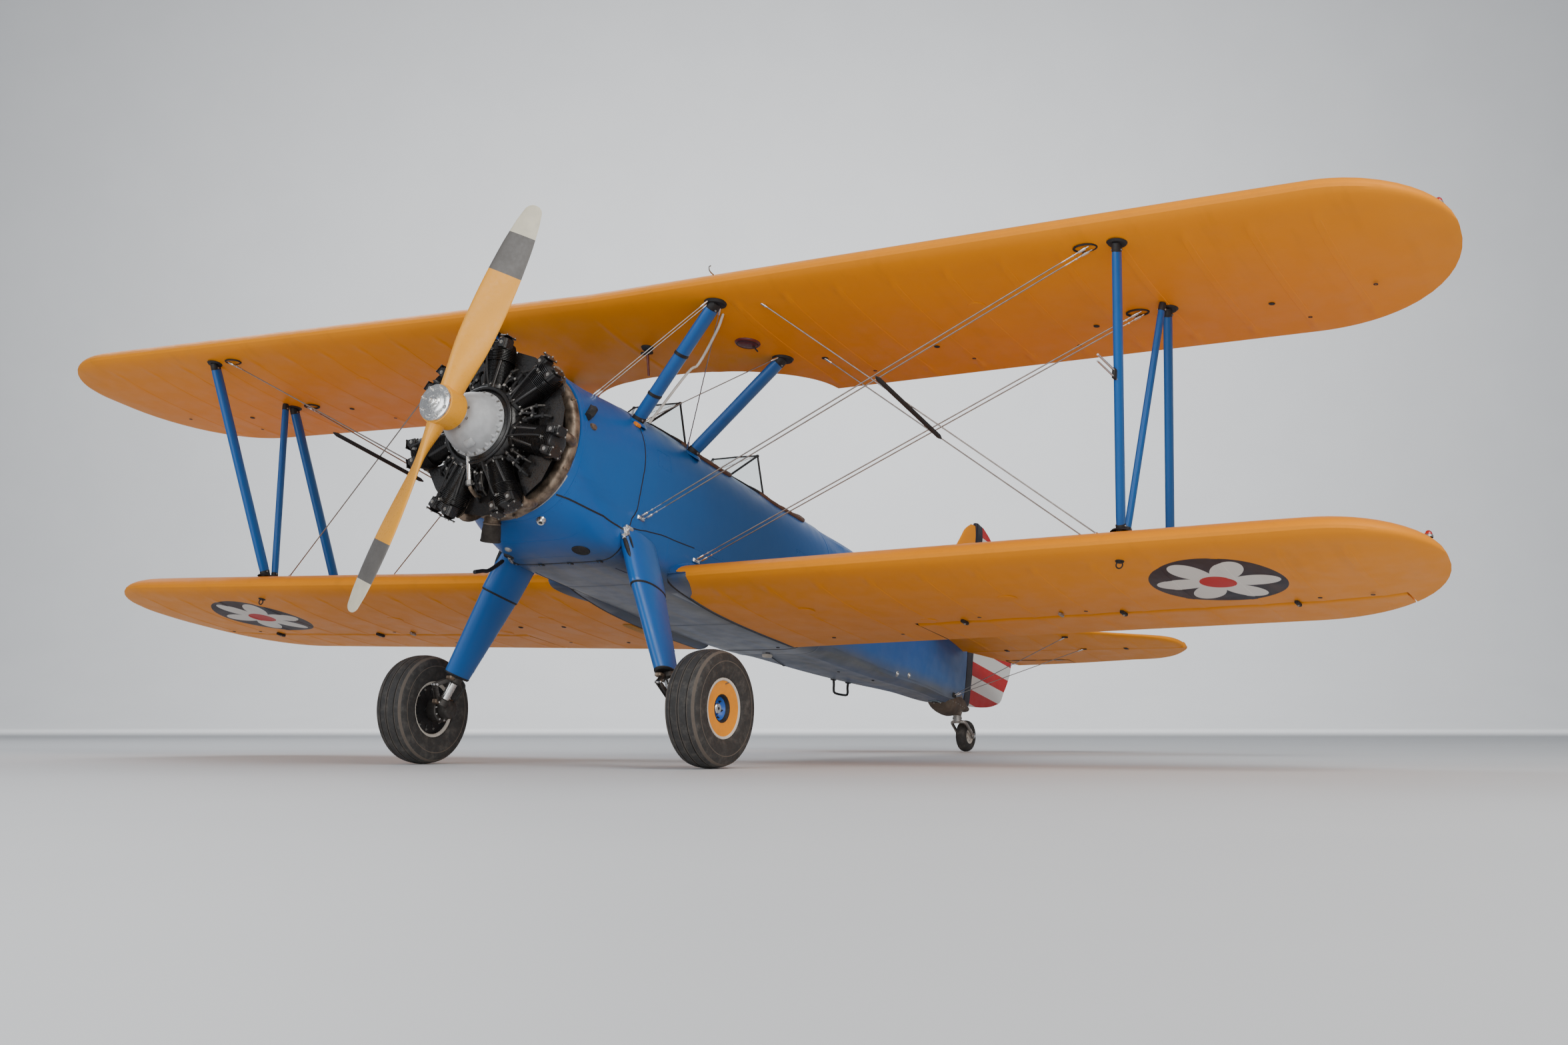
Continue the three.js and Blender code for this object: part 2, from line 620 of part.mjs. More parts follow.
function noseCase() {
  const bore = PROP.shaft + 0.8;
  return turned(
    [
      [bore, 205], [62, 205], [118, 245], [158, 305], [178, 380],
      [178, ENGINE.caseFront - SEAT_GAP], [bore, ENGINE.caseFront - SEAT_GAP], [bore, 205],
    ],
    at(0, 1, 0), at(0, 0, 0), 24,
  );
}

// The ring behind the cylinders, with its outlet under the cowl's front edge.
function exhaustCollector(cowl) {
  const tube = new THREE.TorusGeometry(420, 40, 6, 28).rotateX(Math.PI / 2);
  const ring = solid(tube.translate(0, FIREWALL_Y - 41, 0));
  const [from, to] = [at(-58, 700, -405), at(-92, 752, -565)];
  const outlet = rod(from, to, 44, 14);
  const bore = rod(from.clone().lerp(to, 0.5), from.clone().lerp(to, 1.1), 38, 14);
  return seated(together([ring, outlet]).subtract(bore), cowl);
}

// Propeller blade stations: radius, chord, thickness, pitch angle.
const BLADE = [
  { r: 60, chord: 128, thick: 112, pitch: 62 },
  { r: 190, chord: 150, thick: 74, pitch: 50 },
  { r: 370, chord: 192, thick: 42, pitch: 34 },
  { r: 600, chord: 212, thick: 30, pitch: 24 },
  { r: 830, chord: 204, thick: 22, pitch: 18 },
  { r: 1025, chord: 168, thick: 15, pitch: 15 },
  { r: 1145, chord: 116, thick: 10, pitch: 13 },
  { r: PROP.radius - 2, chord: 54, thick: 6, pitch: 12 },
];

// One blade up along +Z, with the propeller turning about Y.
function blade(turn) {
  const rings = BLADE.map(({ r, chord, thick, pitch }) =>
    Array.from({ length: 12 }, (_, i) => {
      const a = (2 * Math.PI * i) / 12;
      const p = at((chord / 2) * Math.cos(a), (thick / 2) * Math.sin(a), r);
      return p.applyAxisAngle(at(0, 0, 1), rad(pitch)).applyAxisAngle(at(0, 1, 0), turn);
    }),
  );
  return loft(rings);
}

function propellerBlades() {
  const boss = turned(
    [
      [0, -PROP.bossHalf], [PROP.bossRadius, -PROP.bossHalf],
      [PROP.bossRadius, PROP.bossHalf], [0, PROP.bossHalf],
    ],
    at(0, 1, 0), at(0, 0, 0), 24,
  );
  const bore = rod(at(0, -120, 0), at(0, 120, 0), PROP.shaft + SEAT_GAP, 24);
  const slice = block(at(-400, -PROP.bossHalf, -1300), at(400, PROP.bossHalf, 1300));
  return together([boss, blade(0), blade(Math.PI)]).intersect(slice).subtract(bore);
}

function propellerHub() {
  const rearY = ENGINE.caseFront - 30 - PROP.bladeY;
  const plate = -PROP.bossHalf - SEAT_GAP;
  return turned(
    [
      [0, -PROP.bladeY], [28, -PROP.bladeY], [28, -92], [104, plate - 14], [104, plate],
      [PROP.shaft, plate], [PROP.shaft, rearY], [0, rearY],
    ],
    at(0, 1, 0), at(0, 0, 0), 24,
  );
}

// Wheels

// A tyre about X with a flat of its outline at the lowest point when it stands.
function tyre(wheel, sides, start) {
  const flat = Math.cos(Math.PI / sides);
  const [r, w] = [wheel.radius / flat, wheel.width / 2];
  const rim = wheel.rim;
  const half = [[r, w * 0.44], [r - 18, w * 0.78], [(rim + r) / 2, w], [rim, w * 0.8]];
  const profile = [...half.map(([radius, d]) => [radius, -d]).reverse(), ...half, [rim, -w * 0.8]];
  return turned(profile, at(1, 0, 0), at(0, 0, 0), sides, start);
}

function wheelDisc(side) {
  const { rim, width, axle } = MAIN_WHEEL;
  const bore = axle + 0.8;
  const out = (d) => d * side;
  const edge = rim * Math.cos(Math.PI / WHEEL_SIDES) - SEAT_GAP;
  return turned(
    [
      [bore, out(-46)], [70, out(-46)], [edge, out(-width * 0.36)], [edge, out(width * 0.4)],
      [146, out(width * 0.4)], [56, out(58)], [bore, out(60)], [bore, out(-46)],
    ],
    at(1, 0, 0), at(0, 0, 0), 24,
  );
}

// Landing gear
const LEG = { top: at(385, 1449, -330), axleEnd: at(828, 1392, -1338) };
LEG.foot = LEG.top.clone().lerp(LEG.axleEnd, 0.845);

function gearLeg(side, fuselage) {
  const [top, foot] = [mirror(LEG.top, side), mirror(LEG.foot, side)];
  const [start, inner, collar] = [0.05, 0.38, 0.416].map((share) => top.clone().lerp(foot, share));
  const upper = strut(start, collar, 342, 108, 328, 104, 16);
  const lower = strut(inner, foot, 318, 96, 209, 86, 16);
  return seated(together([upper, lower]), fuselage);
}

const AXLE_END_X = 1088;

function gearOleo(side) {
  const along = LEG.axleEnd.clone().sub(LEG.foot).normalize();
  const from = mirror(LEG.foot.clone().addScaledVector(along, SEAT_GAP), side);
  const to = mirror(LEG.axleEnd.clone().addScaledVector(along, 26), side);
  const piston = rod(from, to, 33, 16);
  const hub = (x) => at(side * x, MAIN_WHEEL.y, MAIN_WHEEL.z);
  const knuckle = rod(hub(806), hub(874), 58, 12);
  const axle = rod(hub(820), hub(AXLE_END_X), MAIN_WHEEL.axle, 20);
  const plate = rod(hub(874), hub(946), 78, 16);
  const linkOffsets = [[from, at(0, -30, -4)], [from, at(0, -86, -62)], [to, at(0, -30, 10)]];
  const link = panel(linkOffsets.map(([end, offset]) => end.clone().add(offset)), 20);
  return together([piston, knuckle, axle, plate, link]);
}

// Tail wheel

// Rings of the housing under the stern: height, middle, half length and half width.
const HOUSING = [
  { z: -200, y: 6455, long: 130, wide: 60 },
  { z: -262, y: 6470, long: 130, wide: 60 },
  { z: -305, y: 6488, long: 118, wide: 58 },
  { z: -335, y: 6510, long: 95, wide: 53 },
  { z: -356, y: 6530, long: 64, wide: 45 },
];

// The pivot stands upright when the aircraft stands, so housing and fork are built round that direction.
function tailHousing(fuselage, up) {
  const ring = ({ z, y, long, wide }) =>
    Array.from({ length: 14 }, (_, i) => {
      const a = (2 * Math.PI * i) / 14;
      return at(wide * Math.sin(a), y + long * Math.cos(a), z);
    });
  const pivot = at(0, TAIL_PIVOT.y, TAIL_PIVOT.z);
  const post = rod(pivot.clone().addScaledVector(up, 90), pivot, 34, 16);
  return seated(loft(HOUSING.map(ring)).add(post), fuselage);
}

function tailFork(up) {
  const pivot = at(0, TAIL_PIVOT.y, TAIL_PIVOT.z);
  const below = (drop) => pivot.clone().addScaledVector(up, -drop);
  const crown = rod(below(30), below(SEAT_GAP), 34, 16);
  const hub = (x) => at(x, TAIL_WHEEL.y, TAIL_WHEEL.z);
  const arms = [-1, 1].flatMap((side) => {
    const shoulder = at(side * 24, TAIL_PIVOT.y + 4, TAIL_PIVOT.z - 16);
    const elbow = at(side * 60, TAIL_PIVOT.y + 34, TAIL_PIVOT.z - 18);
    return [
      rod(shoulder, elbow, 13, 8),
      rod(elbow, hub(side * 62), 13, 8),
      rod(hub(side * 52), hub(side * 76), 22, 10),
    ];
  });
  const axle = rod(hub(-76), hub(76), TAIL_WHEEL.axle, 16);
  return together([crown, axle, ...arms]);
}

function tailTyre() {
  const r = TAIL_WHEEL.radius / Math.cos(Math.PI / WHEEL_SIDES);
  const half = [[r, 22], [104, 44], [62, 36], [TAIL_WHEEL.axle + 0.7, 36]];
  const profile = [...half.map(([radius, d]) => [radius, -d]).reverse(), ...half, [half.at(-1)[0], -36]];
  return turned(profile, at(1, 0, 0), at(0, 0, 0), WHEEL_SIDES, Math.PI / WHEEL_SIDES);
}

// Rigging

// Two parallel wires side by side, joined at each end by a fork fitting.
function wirePair(from, to, spread) {
  const WIRE = 4;
  const along = to.clone().sub(from).normalize();
  const across = at(0, 1, 0).addScaledVector(along, -along.y).normalize().multiplyScalar(spread / 2);
  const beside = (end, share) => end.clone().addScaledVector(across, share);
  const wires = [-1, 1].map((k) => rod(beside(from, k), beside(to, k), WIRE, 5));
  const forks = [from, to].map((end) => rod(beside(end, -1.4), beside(end, 1.4), 9, 5));
  const shanks = [[from, 1, 40], [to, -1, 75]].map(([end, way, reach]) => {
    const outer = end.clone().addScaledVector(along, -way * reach);
    return rod(outer, end.clone().addScaledVector(along, way * 6), 8, 6);
  });
  return together([...wires, ...forks, ...shanks]);
}

function wire(from, to) {
  return rod(from, to, 4, 6);
}

// Assembly
const aircraft = new THREE.Group();
const group = (name) => {
  const made = new THREE.Group();
  made.name = name;
  aircraft.add(made);
  return made;
};

// Ground attitude: the line under both tyres.
const wheelbase = Math.hypot(TAIL_WHEEL.y - MAIN_WHEEL.y, TAIL_WHEEL.z - MAIN_WHEEL.z);
const groundAngle =
  Math.atan2(TAIL_WHEEL.z - MAIN_WHEEL.z, TAIL_WHEEL.y - MAIN_WHEEL.y) +
  Math.asin((MAIN_WHEEL.radius - TAIL_WHEEL.radius) / wheelbase);
// Ground vertical in the aircraft's frame
const upright = at(0, Math.sin(-groundAngle), Math.cos(groundAngle));

const body = group("body");
const noseCowl = fuselagePiece(FIREWALL_Y, COWL_SEAM_Y);
const forward = forwardFuselage();
const rear = fuselagePiece(TAIL_CONE_Y + SEAT_GAP, STERN_Y);
const skinSeat = fuselagePiece(FIREWALL_Y - SEAT_GAP, STERN_Y + SEAT_GAP, -SEAT_GAP);

// Tail first, because the rear fuselage carries the rudder's lowest hinge.
const tail = group("tail");
const finBase = seated(fin(), skinSeat);
const rudderAxis = at(0, RUDDER_AXIS_Y, 0);
const up = at(0, 0, 1);
const finReach = RUDDER_NOSE + 8;
const sternReach = RUDDER_AXIS_Y - STERN_Y;
const [finDone, rudderUpper] = hinged(finBase, rudder(), rudderAxis, up, [460, 980], finReach);
const [rearDone, rudderDone] = hinged(rear, rudderUpper, rudderAxis, up, [-120], sternReach);
named(tail, "fin", finDone, "yellow");
named(tail, "rudder", rudderDone, "stripes");
for (const [label, side] of SIDES) {
  const fixed = seated(stabilizer(side), skinSeat);
  const hingeLine = at(0, TAILPLANE.hingeY, TAILPLANE.z);
  const out = at(side, 0, 0);
  const [stab, elev] = hinged(fixed, elevator(side), hingeLine, out, [450, 1450], TAILPLANE.nose + 8);
  named(tail, `stabilizer_${label}`, stab, "yellow");
  named(tail, `elevator_${label}`, elev, "yellow");
}

named(body, "nose_cowl", noseCowl, "blue");
named(body, "forward_fuselage", forward, "blue");
named(body, "rear_fuselage", rearDone, "blue");
named(body, "cockpit_floor", cockpitFloor(), "cockpit");
for (const [label, cockpit] of Object.entries(COCKPITS)) {
  named(body, `${label}_seat`, bucketSeat(cockpit), "cockpit");
  named(body, `${label}_instrument_panel`, instrumentPanel(cockpit), "panel");
  named(body, `${label}_windscreen`, windscreen(cockpit, skinSeat), "glass");
}

const powerplant = group("powerplant");
named(powerplant, "engine", crankcase(), "engineBlack");
named(powerplant, "engine_nose_case", noseCase(), "engineGrey");
named(powerplant, "exhaust_collector", exhaustCollector(skinSeat), "exhaust");

const propeller = group("propeller");
propeller.position.set(0, PROP.bladeY, 0);
propeller.rotation.y = rad(PROP.lean);
named(propeller, "propeller_blades", propellerBlades(), "bladeYellow");
named(propeller, "propeller_hub", propellerHub(), "steel");

// Points of the wing cell on the spars
const sparPoint = (wing, x, aft, surface) => {
  const [top, bottom] = airfoil(aft / CHORD);
  const y = wing.leadY + aft;
  return at(x, y, chordPlane(wing, x, y) + (surface === "top" ? top : bottom) * CHORD);
};
const STRUT_TOP_X = 3290;
const STRUT_FOOT_X = 3140;
const WIRE_TOP_X = 3145;
const CABANE_TOP_X = 835;

const wings = group("wings");
const rigging = group("rigging");
const centerSeat = centerSection(SEAT_GAP);
named(wings, "upper_wing_center", centerSection(), "yellow");
for (const [label, side] of SIDES) {
  const upper = wingPanel(UPPER, CENTER_HALF + SEAT_GAP, side);
  const upperSeat = wingPanel(UPPER, CENTER_HALF, side, SEAT_GAP);
  const lowerSeat = wingPanel(LOWER, WING_ROOT, side, SEAT_GAP);
  const [lower, flap] = lowerWingAndAileron(side);
  const lowerSeated = seated(lower, skinSeat);
  named(wings, `upper_wing_${label}`, upper, "yellow");
  named(wings, `lower_wing_${label}`, lowerSeated, "yellow");
  named(wings, `aileron_${label}`, flap, "yellow");

  const between = (piece) => seated(piece, upperSeat, lowerSeat);
  const spar = (wing, x, aft, surface, extra) =>
    mirror(sparPoint(wing, x, aft, surface).add(at(0, 0, extra)), side);
  const tops = [FRONT_SPAR, REAR_SPAR].map((aft) => spar(UPPER, STRUT_TOP_X, aft, "bottom", 12));
  const feet = [FRONT_SPAR, REAR_SPAR].map((aft) => spar(LOWER, STRUT_FOOT_X, aft, "top", -12));
  const straight = (aft) => between(strut(feet[aft], tops[aft], 88, 42));
  named(rigging, `interplane_strut_front_${label}`, straight(0), "blue");
  named(rigging, `interplane_strut_rear_${label}`, straight(1), "blue");
  const diagonalFoot = feet[0].clone().add(at(0, 82, 0));
  const diagonalTop = tops[1].clone().add(at(0, -82, 0));
  const diagonal = between(strut(diagonalFoot, diagonalTop, 60, 34));
  named(rigging, `interplane_strut_diagonal_${label}`, diagonal, "blue");

  const cabane = [["front", at(300, 1430, 250), FRONT_SPAR], ["rear", at(300, 2020, 250), REAR_SPAR]];
  for (const [place, foot, aft] of cabane) {
    const top = spar(UPPER, CABANE_TOP_X, aft, "bottom", 12);
    const piece = strut(mirror(foot, side), top, 108, 54);
    named(rigging, `cabane_strut_${place}_${label}`, seated(piece, centerSeat, skinSeat), "blue");
  }

  const flying = [["front", at(408, 1436, -250), FRONT_SPAR], ["rear", at(404, 2050, -335), REAR_SPAR]];
  for (const [place, foot, aft] of flying) {
    const top = spar(UPPER, WIRE_TOP_X, aft, "bottom", -30);
    const pair = wirePair(mirror(foot, side).add(at(side * 26, 0, 0)), top, 44);
    named(rigging, `flying_wires_${place}_${label}`, seated(pair, upperSeat, skinSeat), "steel");
  }
  for (const [place, aft] of [["front", FRONT_SPAR], ["rear", REAR_SPAR]]) {
    const offset = at(0, 75, 0); // beside the struts' line
    const top = spar(UPPER, 1090, aft, "bottom", 10).add(offset);
    const foot = spar(LOWER, STRUT_FOOT_X - 130, aft, "top", -20).add(offset);
    named(rigging, `landing_wire_${place}_${label}`, between(wire(foot, top)), "steel");
  }
}

const gear = group("landing_gear");
for (const [label, side] of SIDES) {
  named(gear, `gear_leg_${label}`, gearLeg(side, skinSeat), "blue");
  named(gear, `gear_oleo_${label}`, gearOleo(side), "steel");
  const wheel = new THREE.Group();
  wheel.position.set(side * MAIN_WHEEL.x, MAIN_WHEEL.y, MAIN_WHEEL.z);
  wheel.rotation.x = groundAngle; // keeps a flat of each faceted tyre on the ground
  gear.add(wheel);
  named(wheel, `tyre_${label}`, tyre(MAIN_WHEEL, WHEEL_SIDES, Math.PI / WHEEL_SIDES), "tyre");
  named(wheel, `wheel_${label}`, wheelDisc(side), "bladeYellow");
}
named(gear, "tailwheel_housing", tailHousing(skinSeat, upright), "steel");
named(gear, "tailwheel_fork", tailFork(upright), "steel");
const tailwheel = new THREE.Group();
tailwheel.position.set(0, TAIL_WHEEL.y, TAIL_WHEEL.z);
tailwheel.rotation.x = groundAngle;
gear.add(tailwheel);
named(tailwheel, "tailwheel", tailTyre(), "tyre");

// Stand the aircraft on its tyres, with its length centred on the origin.
const stand = new THREE.Group();
stand.add(aircraft);
aircraft.rotation.x = -groundAngle;
const hubDrop = at(0, MAIN_WHEEL.y, MAIN_WHEEL.z).applyEuler(aircraft.rotation);
aircraft.position.z = MAIN_WHEEL.radius - hubDrop.z;
aircraft.updateMatrixWorld(true);
const extent = new THREE.Box3().setFromObject(aircraft, true);
aircraft.position.y = -(extent.min.y + extent.max.y) / 2;

export default stand;
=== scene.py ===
"""Looks of a two-seat radial-engined training biplane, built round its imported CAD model.

Pieces are worked out in the aircraft's own frame in metres: X to its left, Y aft, Z up, origin on
the thrust line at the front of the propeller hub. TURN and OFFSET carry that frame into the row's
frame, in which the aircraft stands on its three tyres.
"""

import json
import math

import bmesh
import bpy
import numpy as np
from mathutils import Matrix, Vector


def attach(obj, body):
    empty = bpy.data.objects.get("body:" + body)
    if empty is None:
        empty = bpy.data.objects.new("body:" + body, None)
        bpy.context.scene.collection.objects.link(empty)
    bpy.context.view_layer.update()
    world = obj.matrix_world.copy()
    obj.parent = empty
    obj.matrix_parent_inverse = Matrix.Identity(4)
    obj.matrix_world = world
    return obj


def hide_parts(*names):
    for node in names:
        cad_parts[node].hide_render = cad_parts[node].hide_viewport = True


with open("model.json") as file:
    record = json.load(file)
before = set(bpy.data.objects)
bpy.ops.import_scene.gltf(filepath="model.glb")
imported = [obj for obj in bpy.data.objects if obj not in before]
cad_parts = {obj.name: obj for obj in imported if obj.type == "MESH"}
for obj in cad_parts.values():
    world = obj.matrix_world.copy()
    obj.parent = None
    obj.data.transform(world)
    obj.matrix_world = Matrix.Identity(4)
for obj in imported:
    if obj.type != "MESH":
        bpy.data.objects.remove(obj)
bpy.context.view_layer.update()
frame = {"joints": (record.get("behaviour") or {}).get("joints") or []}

joints = {j["name"]: j for j in frame["joints"]}
spin = joints["propeller_spin"]
COS, SIN = spin["axis"][1], -spin["axis"][2]
TURN = Matrix(((1, 0, 0), (0, COS, SIN), (0, -SIN, COS)))
HUB_BLADE_Y = 0.112
OFFSET = Vector(spin["pos_m"]) - TURN @ Vector((0, HUB_BLADE_Y, 0))
TURN_NP, OFFSET_NP = np.array(TURN), np.array(OFFSET)
TILT = math.atan2(SIN, COS)
SIDES = (("left", 1), ("right", -1))

# Driving sizes, as in the CAD
CHORD = 1.524
UPPER = dict(half=4.902, lead=1.152, z=1.048, incidence=4, dihedral=1, front=0.6, rear=0.95)
LOWER = dict(half=4.720, lead=1.815, z=-0.490, incidence=3, dihedral=1.5, front=0.56, rear=0.9)
TIP_POINT = 0.36
CENTER_HALF = 0.92
CUTOUT = (0.905, 0.545)
FRONT_SPAR, REAR_SPAR = 0.170, 0.948
AILERON = dict(inner=1.5, outer=4.4, hinge=2.925, nose=0.042, gap=0.009)
TAIL_Z, TAIL_HINGE = 0.174, 6.48
RUDDER_AXIS = 6.63
WHEEL = Vector((1.032, 1.458, -1.365))
TAIL_WHEEL = Vector((0, 6.752, -0.482))
TAIL_PIVOT = Vector((0, 6.574, -0.384))


# Shapes
WELD = 2e-5
CUT_WELD = 1e-5


def vec(x, y, z):
    return np.array((x, y, z), float)


PORT, AFT, UP = np.eye(3)


def unit(v):
    return v / (np.linalg.norm(v) or 1)


def mirrored(p, side):
    return vec(p[0] * side, p[1], p[2])


def signed_power(v, power):
    return math.copysign(abs(v) ** power, v)


def squared_circle(count, power, other=None):
    """Points round a circle of radius 1 whose sides are flattened by powers under 1."""
    for t in np.linspace(0, 2 * math.pi, count, endpoint=False):
        yield signed_power(math.cos(t), power), signed_power(math.sin(t), other or power)


def spokes(count, first=0.0):
    """Even directions about the thrust line, from the top towards port; first is a share of a step."""
    return [vec(math.sin(a), 0, math.cos(a)) for a in (np.arange(count) + first) * 2 * math.pi / count]


def loop(centre, u, v, count=24):
    """A closed line of count + 1 points round an oval with the half axes u and v."""
    return [centre + u * math.cos(t) + v * math.sin(t) for t in np.linspace(0, 2 * math.pi, count + 1)]


def wheel_spokes(count):
    """Even directions about an axle, from aft upwards."""
    return [vec(0, math.cos(a), math.sin(a)) for a in np.arange(count) * 2 * math.pi / count]


class Shape:
    """Points and faces of one piece, gathered from simple forms in the aircraft's frame."""

    def __init__(self):
        self.points, self.faces, self.paints = [], [], []

    def add(self, points, faces, paint=0):
        start = len(self.points)
        self.points.extend(map(tuple, points))
        self.faces.extend(tuple(start + i for i in f) for f in faces)
        self.paints.extend(paint if isinstance(paint, list) else [paint] * len(faces))

    def loft(self, rings, paint=0, caps=True):
        """A skin over rings of equal point counts; paint may be a function of ring and point."""
        n = len(rings[0])
        chosen = paint if callable(paint) else lambda r, i: paint
        faces, paints = [], []
        for r in range(len(rings) - 1):
            for i in range(n):
                j = (i + 1) % n
                faces.append((r * n + i, r * n + j, (r + 1) * n + j, (r + 1) * n + i))
                paints.append(chosen(r, i))
        if caps:
            last = (len(rings) - 1) * n
            faces += [tuple(range(n))[::-1], tuple(last + i for i in range(n))]
            paints += [chosen(0, 0), chosen(len(rings) - 2, 0)]
        self.add(np.concatenate(rings), faces, paints)

    def turned(self, profile, axis, centre, sides=24, paint=0):
        """A turned form; profile holds (radius, distance along the axis) pairs."""
        axis = unit(np.array(axis, float))
        u = unit(np.cross(axis, UP if abs(axis[2]) < 0.9 else PORT))
        v = np.cross(axis, u)
        angles = np.arange(sides) * 2 * math.pi / sides
        circle = np.outer(np.cos(angles), u) + np.outer(np.sin(angles), v)
        self.loft([centre + axis * d + circle * r for r, d in profile], paint, False)

    def rod(self, a, b, radius, end=None, sides=12, paint=0):
        """A round bar with small chamfers at both ends."""
        a, b = np.array(a, float), np.array(b, float)
        length = np.linalg.norm(b - a)
        end = radius if end is None else end
        c = min(0.15 * min(radius, end), length * 0.3)
        profile = [(0, 0), (radius - c, 0), (radius, c), (end, length - c), (end - c, length), (0, length)]
        self.turned(profile, b - a, a, sides, paint)

    def block(self, centre, size, bevel=0.002, axes=None, paint=0):
        """A box with chamfered edges, centred; axes holds three unit vectors."""
        axes = np.eye(3) if axes is None else np.array([unit(a) for a in axes])
        hx, hy, hz = np.array(size) / 2
        b = min(bevel, hx * 0.9, hy * 0.9, hz * 0.9)

        def ring(z, inset):
            x, y = hx - inset, hy - inset
            flat = [(x, -y + b), (x, y - b), (x - b, y), (-x + b, y), (-x, y - b), (-x, -y + b),
                    (-x + b, -y), (x - b, -y)]
            return [centre + axes[0] * p + axes[1] * q + axes[2] * z for p, q in flat]

        self.loft([ring(-hz, b), ring(-hz + b, 0), ring(hz - b, 0), ring(hz, b)], paint)

    def tube(self, path, radius, sides=8, paint=0, caps=True):
        """A round tube along a path; radius may be a list, one for each point."""
        path = [np.array(p, float) for p in path]
        radii = radius if hasattr(radius, "__len__") else [radius] * len(path)
        side = None
        rings = []
        for i, p in enumerate(path):
            along = unit(path[min(i + 1, len(path) - 1)] - path[max(i - 1, 0)])
            if side is None:
                side = np.cross(along, UP if abs(along[2]) < 0.9 else PORT)
            side = unit(side - along * side.dot(along))
            up = np.cross(along, side)
            angles = np.arange(sides) * 2 * math.pi / sides
            rings.append(p + radii[i] * (np.outer(np.cos(angles), side) + np.outer(np.sin(angles), up)))
        self.loft(rings, paint, caps)

    def rivet(self, place, normal, radius=0.0035, height=0.0016, sides=6, paint=0):
        """A domed head, sunk a little into what carries it."""
        profile = [(radius, -0.001), (radius, height * 0.4), (radius * 0.6, height), (0, height * 1.15)]
        self.turned(profile, normal, np.array(place, float), sides, paint)

    def bolt(self, place, normal, radius=0.008, height=0.006, paint=0):
        """A hexagon head on a washer, with its thread showing."""
        place = np.array(place, float)
        washer = [(0, -0.001), (radius * 1.35, -0.001), (radius * 1.35, 0.0012), (0, 0.0012)]
        self.turned(washer, normal, place, 12, paint)
        head = [(radius, 0), (radius, height * 0.85), (radius * 0.85, height), (0, height)]
        self.turned(head, normal, place, 6, paint)
        stud = [(radius * 0.5, 0), (radius * 0.5, height * 1.5), (radius * 0.35, height * 1.7),
                (0, height * 1.7)]
        self.turned(stud, normal, place, 8, paint)

    def gathered(self, weld):
        """The faces in the row's frame, with points closer than weld joined."""
        bm = bmesh.new()
        verts = [bm.verts.new(p) for p in np.array(self.points) @ TURN_NP.T + OFFSET_NP]
        for corners, paint in zip(self.faces, self.paints):
            try:
                face = bm.faces.new([verts[i] for i in corners])
            except ValueError:
                continue
            face.material_index = paint
            face.smooth = True
        bmesh.ops.remove_doubles(bm, verts=bm.verts, dist=weld)
        return bm

    def made(self, name, body, materials, slot, replaces=(), sharp=38):
        """The finished piece: welded, smooth but for its sharp edges, riding on a body."""
        bm = self.gathered(WELD)
        bmesh.ops.dissolve_degenerate(bm, edges=bm.edges, dist=WELD / 2)
        bmesh.ops.recalc_face_normals(bm, faces=bm.faces)
        limit = math.radians(sharp)
        for e in bm.edges:
            if len(e.link_faces) == 2 and e.calc_face_angle(0) > limit:
                e.smooth = False
        obj = linked(name, bm, materials if isinstance(materials, list) else [materials])
        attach(obj, body)
        if replaces:
            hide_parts(*replaces)
        return obj


def linked(name, bm, materials):
    """An object in the scene that holds the faces of bm."""
    mesh = bpy.data.meshes.new(name)
    bm.to_mesh(mesh)
    bm.free()
    for material in materials:
        mesh.materials.append(material)
    obj = bpy.data.objects.new(name, mesh)
    bpy.context.scene.collection.objects.link(obj)
    return obj


# Materials
THREAD_PITCH, THREAD_HEIGHT = 0.0018, 0.00008
YELLOW = (0.84, 0.278, 0.001)
BLUE = (0.006, 0.100, 0.350)
NAVY = (0.004, 0.007, 0.022)
RED = (0.55, 0.006, 0.010)
WHITE = (0.78, 0.77, 0.73)
SOOT = (0.02, 0.015, 0.012)
EDGE_SOFTNESS = 0.0015
LOWER_ROSETTE, UPPER_ROSETTE, ROSETTE_RADIUS = (3.54, 2.39), (3.70, 1.90), 0.365


